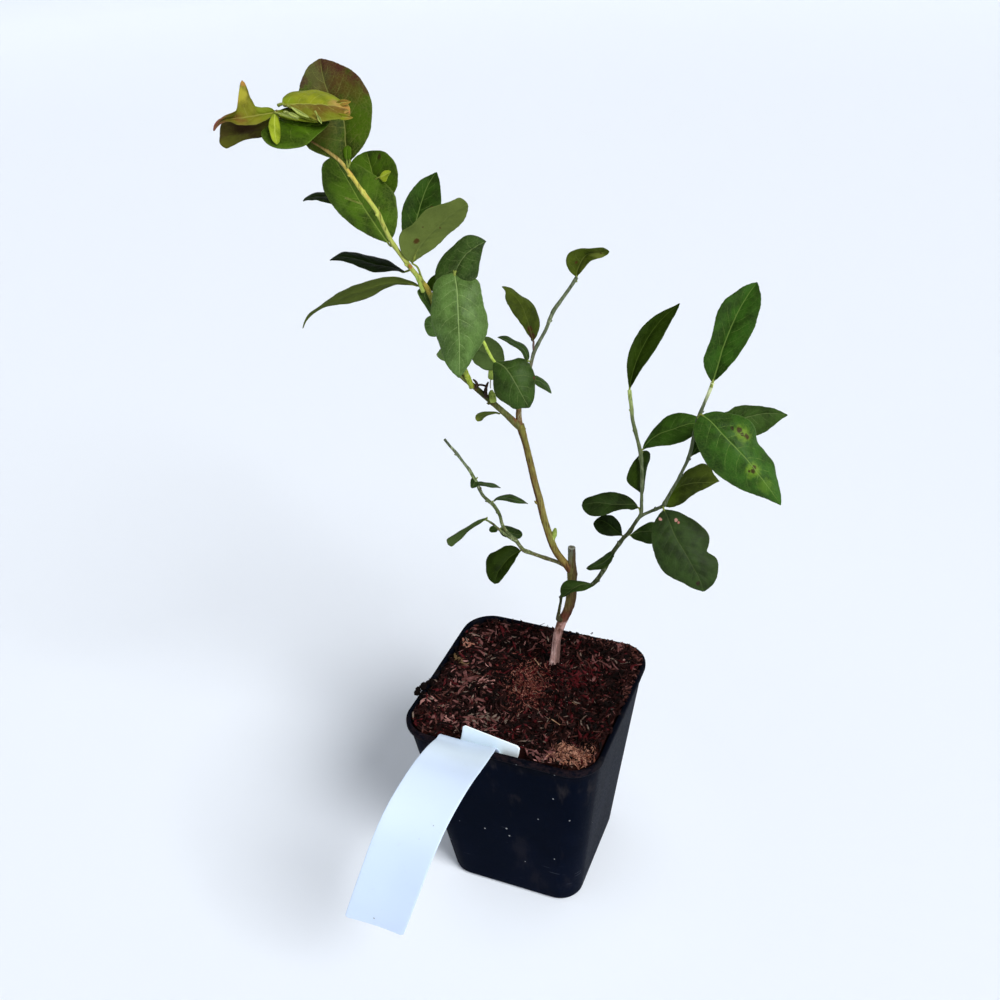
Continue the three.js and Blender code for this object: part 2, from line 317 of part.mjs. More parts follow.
function soilHeight(x, y) {
  const bump = ([bx, by, h, s]) => h * Math.exp(-((x - bx) ** 2 + (y - by) ** 2) / (2 * s * s));
  const e = THREE.MathUtils.smoothstep(Math.max(Math.abs(x), Math.abs(y)), SOIL_BRIM[0], SOIL_BRIM[0] + SOIL_BRIM[1]);
  const h = SOIL_LEVEL + bump(SOIL_MOUND) + bump(SOIL_DIP) + bump(SOIL_LEFT) + bump(SOIL_FRONT);
  return h + (SOIL_BRIM[2] - h) * e + SOIL_RUFF * (Math.sin(0.31 * x + 1.3) * Math.cos(0.27 * y) + 0.6 * Math.sin(0.53 * y + 0.4 * x));
}
function soil() {
  const [h0, c0] = sideAt(POT_FLOOR + GAP + 1), [h1, c1] = sideAt(SOIL_LEVEL), inset = POT_WALL + GAP;
  const rings = [square(h0 - inset - 1.2, c0 - inset - 1.2, POT_FLOOR + GAP), square(h0 - inset, c0 - inset, POT_FLOOR + GAP + 1.2)];
  for (let k = 0; k < SOIL_RINGS; k++) {
    const f = 1 - k / SOIL_RINGS, ring = square((h1 - inset) * f, Math.min((c1 - inset) * (0.3 + 0.7 * f), (h1 - inset) * f), 0);
    // the outermost ring follows the wall's taper, a little below its neighbours
    rings.push(ring.map(([x, y]) => {
      const z = soilHeight(x, y) - (k === 0 ? 0.8 : 0), s = k === 0 ? (sideAt(z)[0] - inset - 0.05) / (h1 - inset) : 1;
      return [x * s, y * s, z];
    }));
  }
  let body = stack(rings, [0, 0, POT_FLOOR + GAP], [0, 0, soilHeight(0, 0)]);
  const [tx, ty, tz, tr] = TRUNK_SEAT;
  const disc = (z) => Array.from({ length: 12 }, (_, i) => [tx + tr * Math.cos((Math.PI * i) / 6), ty + tr * Math.sin((Math.PI * i) / 6), z]);
  body = body.subtract(stack([disc(tz), disc(tz + 12)], [tx, ty, tz], [tx, ty, tz + 12]));
  // slot for the bend of the label strip
  const x0 = -25.6, x1 = 13.5, y0 = -46, y1 = -39.2, z0 = 88.9, z1 = 112;
  const q = (z) => [[x1, y0, z], [x1, y1, z], [x0, y1, z], [x0, y0, z]];
  return body.subtract(stack([q(z0), q(z1)], [0, -42, z0], [0, -42, z1]));
}

function label() {
  const n = STRIP.length, rings = [];
  for (let k = 0; k < n; k++) {
    const [x, y, z, drop] = STRIP[k], a = STRIP[Math.max(0, k - 1)], b = STRIP[Math.min(n - 1, k + 1)];
    const d = new THREE.Vector3(0, b[1] - a[1], b[2] - a[2]).normalize(), nn = new THREE.Vector3(0, -d.z, d.y).multiplyScalar(STRIP_T / 2);
    const l = new THREE.Vector3(x, y, z), r = new THREE.Vector3(x + Math.sqrt(STRIP_W ** 2 - drop ** 2), y, z + drop);
    rings.push([l.clone().sub(nn), l.clone().add(nn), r.clone().add(nn), r.clone().sub(nn)].map((p) => p.toArray()));
  }
  const mid = (r) => [0, 1, 2].map((i) => (r[0][i] + r[1][i] + r[2][i] + r[3][i]) / 4);
  return stack(rings, mid(rings[0]), mid(rings[n - 1]));
}

// ---- assembly ------------------------------------------------------------------
const object = new THREE.Group();
object.name = 'blueberry_bush_in_pot';
function largest(body) {
  const parts = body.decompose();
  let best = parts[0];
  for (const p of parts) if (p.volume() > best.volume()) best = p;
  return best;
}
function place(name, body, [colour, roughness]) {
  const one = largest(body), m = one.getMesh();
  const g = new THREE.BufferGeometry();
  g.setAttribute('position', new THREE.BufferAttribute(new Float32Array(m.vertProperties), 3));
  g.setIndex(Array.from(m.triVerts));
  const mesh = new THREE.Mesh(g, new THREE.MeshStandardMaterial({ color: colour, roughness, metalness: 0 }));
  mesh.name = name;
  object.add(mesh);
  return one;
}
const overlap = (a, b) => [0, 1, 2].every((i) => a.min[i] < b.max[i] && a.max[i] > b.min[i]);

place('pot', pot(), COLOURS.pot);
place('soil', soil(), COLOURS.soil);
place('label', label(), COLOURS.label);

const limbRoom = [];
for (const l of LIMBS) {
  const level = l.name === 'trunk';
  let body = tube(l.path, l.radius, l.sides, l.steps, 0, level);
  for (const room of limbRoom) if (overlap(body.boundingBox(), room.boundingBox())) body = body.subtract(room);
  place(l.name, body, l.name === 'trunk' ? COLOURS.trunk : COLOURS.shoot);
  limbRoom.push(tube(l.path, l.radius, l.sides, l.steps, EASE, level));
}
const massRoom = [];
MASSES.forEach((m, i) => {
  const seed = 401 + 977 * i;
  let body = mass(m, seed);
  for (const room of [...limbRoom, ...massRoom]) if (overlap(body.boundingBox(), room.boundingBox())) body = body.subtract(room);
  place(m.name, body, COLOURS[m.name] || COLOURS.leaves);
  massRoom.push(mass(m, seed, EASE));
});

export default object;
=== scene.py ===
import bpy, math, random
import numpy as np
from mathutils import Vector, Matrix


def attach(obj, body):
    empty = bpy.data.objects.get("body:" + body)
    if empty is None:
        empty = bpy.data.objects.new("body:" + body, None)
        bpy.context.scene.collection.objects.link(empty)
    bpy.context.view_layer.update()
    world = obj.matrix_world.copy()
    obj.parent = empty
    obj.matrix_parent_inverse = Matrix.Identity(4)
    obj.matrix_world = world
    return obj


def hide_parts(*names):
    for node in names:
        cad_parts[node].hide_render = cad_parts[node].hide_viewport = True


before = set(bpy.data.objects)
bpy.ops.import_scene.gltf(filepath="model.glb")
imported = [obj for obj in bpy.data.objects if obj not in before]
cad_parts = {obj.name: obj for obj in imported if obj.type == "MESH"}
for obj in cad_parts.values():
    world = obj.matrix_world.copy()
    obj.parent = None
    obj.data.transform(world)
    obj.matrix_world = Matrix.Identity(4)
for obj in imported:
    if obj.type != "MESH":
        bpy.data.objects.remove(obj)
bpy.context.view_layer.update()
MM = 0.001

# ---------------------------------------------------------------- colour and small maths
def lin(c):
    """sRGB 0-255 to linear RGBA."""
    out = []
    for v in c:
        v = v / 255.0
        out.append(v / 12.92 if v <= 0.04045 else ((v + 0.055) / 1.055) ** 2.4)
    return (out[0], out[1], out[2], 1.0)


def unit(v):
    v = np.asarray(v, float)
    return v / np.maximum(np.linalg.norm(v, axis=-1, keepdims=True), 1e-12)


def spline(P, t):
    """Smooth curve through the points P, read at t from 0 to 1 by length."""
    P = np.asarray(P, float)
    s = np.r_[0, np.cumsum(np.linalg.norm(np.diff(P[:, :3], axis=0), axis=1))]
    s = s / s[-1]
    h = np.diff(s)
    d = np.diff(P, axis=0) / h[:, None]
    T = np.empty_like(P)
    T[1:-1] = (d[:-1] * h[1:, None] + d[1:] * h[:-1, None]) / (h[:-1] + h[1:])[:, None]
    T[0], T[-1] = (1.5 * d[0] - 0.5 * T[1]) if len(P) > 2 else d[0], (1.5 * d[-1] - 0.5 * T[-2]) if len(P) > 2 else d[-1]
    t = np.clip(np.asarray(t, float), 0, 1)
    i = np.clip(np.searchsorted(s, t, side="right") - 1, 0, len(P) - 2)
    x = ((t - s[i]) / h[i])[:, None]
    hh = h[i][:, None]
    return (2 * x**3 - 3 * x**2 + 1) * P[i] + (x**3 - 2 * x**2 + x) * hh * T[i] + (-2 * x**3 + 3 * x**2) * P[i + 1] + (x**3 - x**2) * hh * T[i + 1]


def hash01(i, j, k, seed):
    n = (i * 374761393 + j * 668265263 + k * 2147483647 + seed * 1274126177) & 0xFFFFFFFF
    n = ((n ^ (n >> 13)) * 1274126177) & 0xFFFFFFFF
    n = (n ^ (n >> 16)) & 0xFFFFFFFF
    return n / 4294967295.0


def vnoise(P, seed=0):
    """Value noise in -1 to 1 at points P."""
    P = np.asarray(P, float)
    I = np.floor(P).astype(np.int64)
    f = P - I
    f = f * f * (3 - 2 * f)
    out = 0
    for a in (0, 1):
        for b in (0, 1):
            for c in (0, 1):
                w = (f[..., 0] if a else 1 - f[..., 0]) * (f[..., 1] if b else 1 - f[..., 1]) * (f[..., 2] if c else 1 - f[..., 2])
                out = out + w * hash01(I[..., 0] + a, I[..., 1] + b, I[..., 2] + c, seed)
    return 2 * out - 1


def fbm(P, octaves=3, seed=0, gain=0.5):
    P = np.asarray(P, float)
    out, amp, tot = 0, 1.0, 0
    for o in range(octaves):
        out = out + amp * vnoise(P * (2.03**o) + 17.3 * o, seed + 7 * o)
        tot += amp
        amp *= gain
    return out / tot


# ---------------------------------------------------------------- mesh making
class Buf:
    """Vertices in mm, faces, and UV maps by name, gathered and then made into one object."""

    def __init__(self):
        self.v, self.f, self.uv, self.mat = [], [], {}, []
        self.n = 0

    def add(self, verts, faces, uvs=None, mat=0):
        """uvs is {map: array (faces, corners, 2)} in the order of faces."""
        verts = np.asarray(verts, float).reshape(-1, 3)
        base = self.n
        self.v.append(verts)
        self.n += len(verts)
        count = len(faces)
        for k, f in enumerate(faces):
            self.f.append([int(i) + base for i in f])
        self.mat += [mat] * count
        for name, arr in (uvs or {}).items():
            self.uv.setdefault(name, []).append((len(self.f) - count, arr))

    def make(self, name, materials, smooth=True):
        me = bpy.data.meshes.new(name)
        v = np.concatenate(self.v) * MM
        me.from_pydata(v.tolist(), [], self.f)
        for m in materials:
            me.materials.append(m)
        starts = np.zeros(len(me.polygons), np.int64)
        me.polygons.foreach_get("loop_start", starts)
        me.polygons.foreach_set("material_index", np.array(self.mat, np.int32))
        for uvname, chunks in self.uv.items():
            lay = me.uv_layers.new(name=uvname)
            data = np.zeros((len(me.loops), 2), np.float32)
            for f0, arr in chunks:
                arr = np.asarray(arr, np.float32)
                for c in range(arr.shape[1]):
                    data[starts[f0 : f0 + len(arr)] + c] = arr[:, c]
            lay.data.foreach_set("uv", data.ravel())
        me.polygons.foreach_set("use_smooth", np.full(len(me.polygons), smooth))
        me.validate(clean_customdata=False)
        me.update()
        ob = bpy.data.objects.new(name, me)
        bpy.context.scene.collection.objects.link(ob)
        return ob


def grid_faces(nu, nv, wrap=False, flip=False):
    """Quads of a grid of nu rows by nv columns; wrap joins the last column to the first."""
    out = []
    last = nv if wrap else nv - 1
    for i in range(nu - 1):
        for j in range(last):
            a, b = i * nv + j, i * nv + (j + 1) % nv
            q = [a, b, b + nv, a + nv]
            out.append(q[::-1] if flip else q)
    return out


def frames_along(P):
    """Tangent and two side directions at each point, carried along without twist."""
    T = unit(np.gradient(P, axis=0))
    U = np.empty_like(P)
    ref = np.array([0.9, 0.3, 0.1]) if abs(T[0] @ [0.9, 0.3, 0.1]) < 0.9 else np.array([0.1, 0.2, 1.0])
    u = ref - T[0] * (ref @ T[0])
    for i in range(len(P)):
        u = u - T[i] * (u @ T[i])
        u = u / np.linalg.norm(u)
        U[i] = u
    return T, U, np.cross(T, U)


def tube(P, R, sides=12, caps=True, relief=None, uvbox=(0, 0, 1, 1), tag=None):
    """Closed tube. P (n,3), R (n,). relief(angle, row) adds to the radius, as an array (n, sides)."""
    P, R = np.asarray(P, float), np.asarray(R, float)
    n = len(P)
    T, U, W = frames_along(P)
    a = np.linspace(0, 2 * np.pi, sides, endpoint=False)
    rad = np.repeat(R[:, None], sides, 1)
    if relief is not None:
        rad = rad + relief
    V = P[:, None] + rad[..., None] * (np.cos(a)[None, :, None] * U[:, None] + np.sin(a)[None, :, None] * W[:, None])
    V = V.reshape(-1, 3)
    F = grid_faces(n, sides, wrap=True)
    uv = []
    x0, y0, x1, y1 = uvbox
    for i in range(n - 1):
        for j in range(sides):
            q = [(j, i), (j + 1, i), (j + 1, i + 1), (j, i + 1)]
            uv.append([(x0 + (x1 - x0) * (0.02 + 0.96 * y / (n - 1)), y0 + (y1 - y0) * (0.02 + 0.96 * x / sides)) for x, y in q])
    uv = np.array(uv, float)
    if caps:
        c0, c1 = len(V), len(V) + 1
        V = np.vstack([V, P[0] - T[0] * R[0] * 0.25, P[-1] + T[-1] * R[-1] * 0.25])
        tri = [[c0, (j + 1) % sides, j] for j in range(sides)] + [[c1, (n - 1) * sides + j, (n - 1) * sides + (j + 1) % sides] for j in range(sides)]
    else:
        tri = []
    return V, F, uv, tri


# ---------------------------------------------------------------- node materials
class Mat:
    """A small helper for building a node material."""

    def __init__(self, name, roughness=0.5, specular=0.5, coat=0.0, coat_rough=0.2, sheen=0.0):
        self.m = bpy.data.materials.new(name)
        self.m.use_nodes = True
        self.nt = self.m.node_tree
        self.nt.nodes.clear()
        self.out = self.nt.nodes.new("ShaderNodeOutputMaterial")
        self.b = self.nt.nodes.new("ShaderNodeBsdfPrincipled")
        self.nt.links.new(self.b.outputs[0], self.out.inputs[0])
        self.b.inputs["Roughness"].default_value = roughness
        self.b.inputs["Specular IOR Level"].default_value = specular
        self.b.inputs["Coat Weight"].default_value = coat
        self.b.inputs["Coat Roughness"].default_value = coat_rough
        self.b.inputs["Sheen Weight"].default_value = sheen

    def put(self, socket, value):
        if isinstance(value, bpy.types.NodeSocket):
            self.nt.links.new(value, socket)
        elif value is not None:
            socket.default_value = value

    def node(self, kind, inputs=None, **props):
        n = self.nt.nodes.new(kind)
        for k, v in props.items():
            setattr(n, k, v)
        for k, v in (inputs or {}).items():
            self.put(n.inputs[k], v)
        return n

    def math(self, op, a, b=None, c=None, clamp=False):
        n = self.nt.nodes.new("ShaderNodeMath")
        n.operation = op
        n.use_clamp = clamp
        for i, x in enumerate((a, b, c)):
            if x is not None:
                self.put(n.inputs[i], x)
        return n.outputs[0]

    def mix(self, f, a, b, mode="MIX"):
        n = self.nt.nodes.new("ShaderNodeMix")
        n.data_type = "RGBA"
        n.blend_type = mode
        self.put(n.inputs[0], f)
        self.put(n.inputs[6], a)
        self.put(n.inputs[7], b)
        return n.outputs[2]

    def smooth(self, x, lo, hi, out0=0.0, out1=1.0):
        n = self.nt.nodes.new("ShaderNodeMapRange")
        n.interpolation_type = "SMOOTHSTEP"
        self.put(n.inputs[0], x)
        for i, v in ((1, lo), (2, hi), (3, out0), (4, out1)):
            self.put(n.inputs[i], v)
        return n.outputs[0]

    def linear(self, x, lo, hi, out0=0.0, out1=1.0):
        n = self.nt.nodes.new("ShaderNodeMapRange")
        self.put(n.inputs[0], x)
        for i, v in ((1, lo), (2, hi), (3, out0), (4, out1)):
            self.put(n.inputs[i], v)
        return n.outputs[0]

    def coord(self, kind="Object"):
        return self.node("ShaderNodeTexCoord").outputs[kind]

    def mapping(self, vec, scale=(1, 1, 1), loc=(0, 0, 0), rot=(0, 0, 0)):
        return self.node("ShaderNodeMapping", {"Vector": vec, "Scale": scale, "Location": loc, "Rotation": rot}).outputs[0]

    def uv(self, name):
        return self.node("ShaderNodeUVMap", uv_map=name).outputs[0]

    def xyz(self, vec):
        n = self.node("ShaderNodeSeparateXYZ", {0: vec})
        return n.outputs[0], n.outputs[1], n.outputs[2]

    def vec(self, x, y, z=0.0):
        return self.node("ShaderNodeCombineXYZ", {0: x, 1: y, 2: z}).outputs[0]

    def noise(self, vec, scale=5.0, detail=3.0, rough=0.5, dist=0.0, lac=2.0):
        return self.node("ShaderNodeTexNoise", {"Vector": vec, "Scale": scale, "Detail": detail, "Roughness": rough, "Distortion": dist, "Lacunarity": lac}).outputs[0]

    def voronoi(self, vec, scale=5.0, feature="F1", rand=1.0, out="Distance"):
        return self.node("ShaderNodeTexVoronoi", {"Vector": vec, "Scale": scale, "Randomness": rand}, feature=feature).outputs[out]

    def ramp(self, f, stops, interp="LINEAR"):
        n = self.nt.nodes.new("ShaderNodeValToRGB")
        n.color_ramp.interpolation = interp
        el = n.color_ramp.elements
        while len(el) < len(stops):
            el.new(0.5)
        for e, (p, c) in zip(el, stops):
            e.position, e.color = p, c
        self.put(n.inputs[0], f)
        return n.outputs[0]

    def bump(self, height, strength=0.5, distance=0.001, normal=None):
        return self.node("ShaderNodeBump", {"Height": height, "Strength": strength, "Distance": distance, "Normal": normal}).outputs[0]

    def colour(self, x):
        self.put(self.b.inputs["Base Color"], x)
        return self

    def rough(self, x):
        self.put(self.b.inputs["Roughness"], x)
        return self

    def normal(self, x):
        self.put(self.b.inputs["Normal"], x)
        return self


def finish_piece(ob, slot, *nodes):
    if nodes:
        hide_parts(*nodes)
    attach(ob, "root")
    return ob


# ---------------------------------------------------------------- plant data
STEMS = {  # points x, y, z and radius along each stem, in 0.1 mm
    'trunk': [[38,237,933,31.0],[40,238,967,23.5],[48,242,1045,19.5],[57,245,1123,19.0],[74,253,1195,19.5],[99,263,1260,20.5],[115,270,1333,20.0],[122,273,1434,19.5],[121,273,1533,18.5],[120,273,1610,17.0]],
    'main_low': [[99,263,1521,15.0],[74,253,1561,16.0],[52,243,1608,16.0],[37,237,1657,16.0],[12,226,1764,15.5],[-4,219,1868,15.0],[-23,211,1969,15.0],[-39,204,2069,14.5],[-55,197,2166,14.0],[-69,191,2238,15.0]],
    'main_up': [[-82,185,2241,15.0],[-118,159,2296,13.0],[-145,142,2332,12.5],[-171,125,2368,12.0],[-199,112,2401,12.0],[-227,100,2434,11.5],[-255,88,2465,11.0],[-286,75,2504,11.0],[-312,64,2569,11.0],[-332,55,2651,10.5],[-346,49,2736,10.5],[-355,40,2813,10.5],[-364,30,2858,11.0],[-387,9,2910,10.0],[-410,-12,2958,10.0],[-439,-24,3009,9.5],[-462,-45,3068,9.5],[-481,-53,3120,9.5],[-493,-69,3176,9.5],[-509,-87,3221,9.0],[-535,-98,3266,9.0],[-552,-116,3313,8.5],[-571,-125,3349,8.0],[-582,-141,3377,8.0],[-606,-151,3401,7.0],[-630,-172,3428,5.5],[-657,-195,3456,5.0],[-689,-220,3488,4.5],[-723,-245,3529,4.5],[-737,-262,3572,4.0]],
    'side': [[-76,195,2255,12.5],[-78,202,2300,11.5],[-77,217,2339,9.5],[-67,236,2386,7.5],[-53,256,2442,6.5],[-44,275,2489,6.0],[-38,292,2526,7.0],[-27,312,2555,6.0],[-5,351,2607,5.5],[1,383,2638,5.5],[11,402,2668,6.5],[22,436,2689,5.0],[36,472,2713,5.0],[50,507,2738,5.0],[62,542,2763,5.0]],
    'twig': [[-239,95,2428,7.5],[-244,82,2473,7.0],[-251,68,2527,6.5],[-250,58,2609,6.0],[-247,48,2719,5.5],[-247,37,2834,5.0],[-244,28,2929,4.5]],
    'left': [[94,262,1516,11.0],[65,258,1528,8.5],[22,258,1536,8.0],[-25,256,1545,8.0],[-72,255,1555,8.0],[-106,258,1561,8.5],[-123,260,1579,7.5],[-144,270,1596,7.5],[-171,267,1622,6.5],[-194,266,1647,6.5],[-205,262,1680,6.5],[-218,274,1710,6.0],[-229,270,1740,6.0],[-251,279,1760,7.0],[-273,269,1787,5.5],[-297,277,1801,5.5],[-308,272,1831,5.0],[-324,284,1852,6.0],[-337,279,1884,6.0],[-358,288,1912,4.5],[-391,292,1950,4.0],[-425,296,1990,4.0],[-451,294,2020,3.5],[-475,293,2051,3.0]],
    'left_fork': [[-148,268,1593,6.5],[-168,259,1611,6.0],[-192,249,1637,5.5],[-223,245,1666,5.0],[-252,241,1690,5.0],[-274,232,1707,4.5]],
    'right_low': [[69,229,1232,9.5],[73,225,1282,7.5],[83,219,1334,6.5],[93,212,1386,6.5],[119,207,1422,7.0],[156,209,1442,8.0],[200,218,1453,9.0],[227,223,1465,9.5],[246,227,1487,9.5],[266,231,1522,9.5],[285,235,1560,9.5],[304,239,1604,9.0],[321,240,1650,9.5],[342,244,1689,9.0],[365,248,1729,8.5],[389,253,1762,9.0],[408,256,1802,8.0],[425,258,1835,8.0]],
    'right_in': [[435,262,1861,7.5],[436,263,1911,6.0],[432,275,1967,6.0],[432,275,2025,6.0],[425,286,2085,6.0],[416,296,2135,6.5],[402,304,2180,5.0],[387,312,2224,5.0],[373,320,2269,4.5],[365,331,2313,4.5],[356,341,2352,5.0],[349,352,2382,4.5]],
    'right_out': [[444,261,1854,7.0],[477,264,1877,6.5],[508,261,1900,6.5],[534,256,1924,7.5],[547,256,1960,5.5],[566,259,2006,5.5],[586,262,2051,5.0],[604,265,2100,5.0],[620,266,2146,5.0],[632,266,2197,5.5],[639,263,2249,4.5],[647,261,2301,4.5],[656,260,2347,5.0],[668,260,2389,4.0],[680,259,2428,3.5],[693,260,2468,4.0],[702,264,2504,4.0]],
}
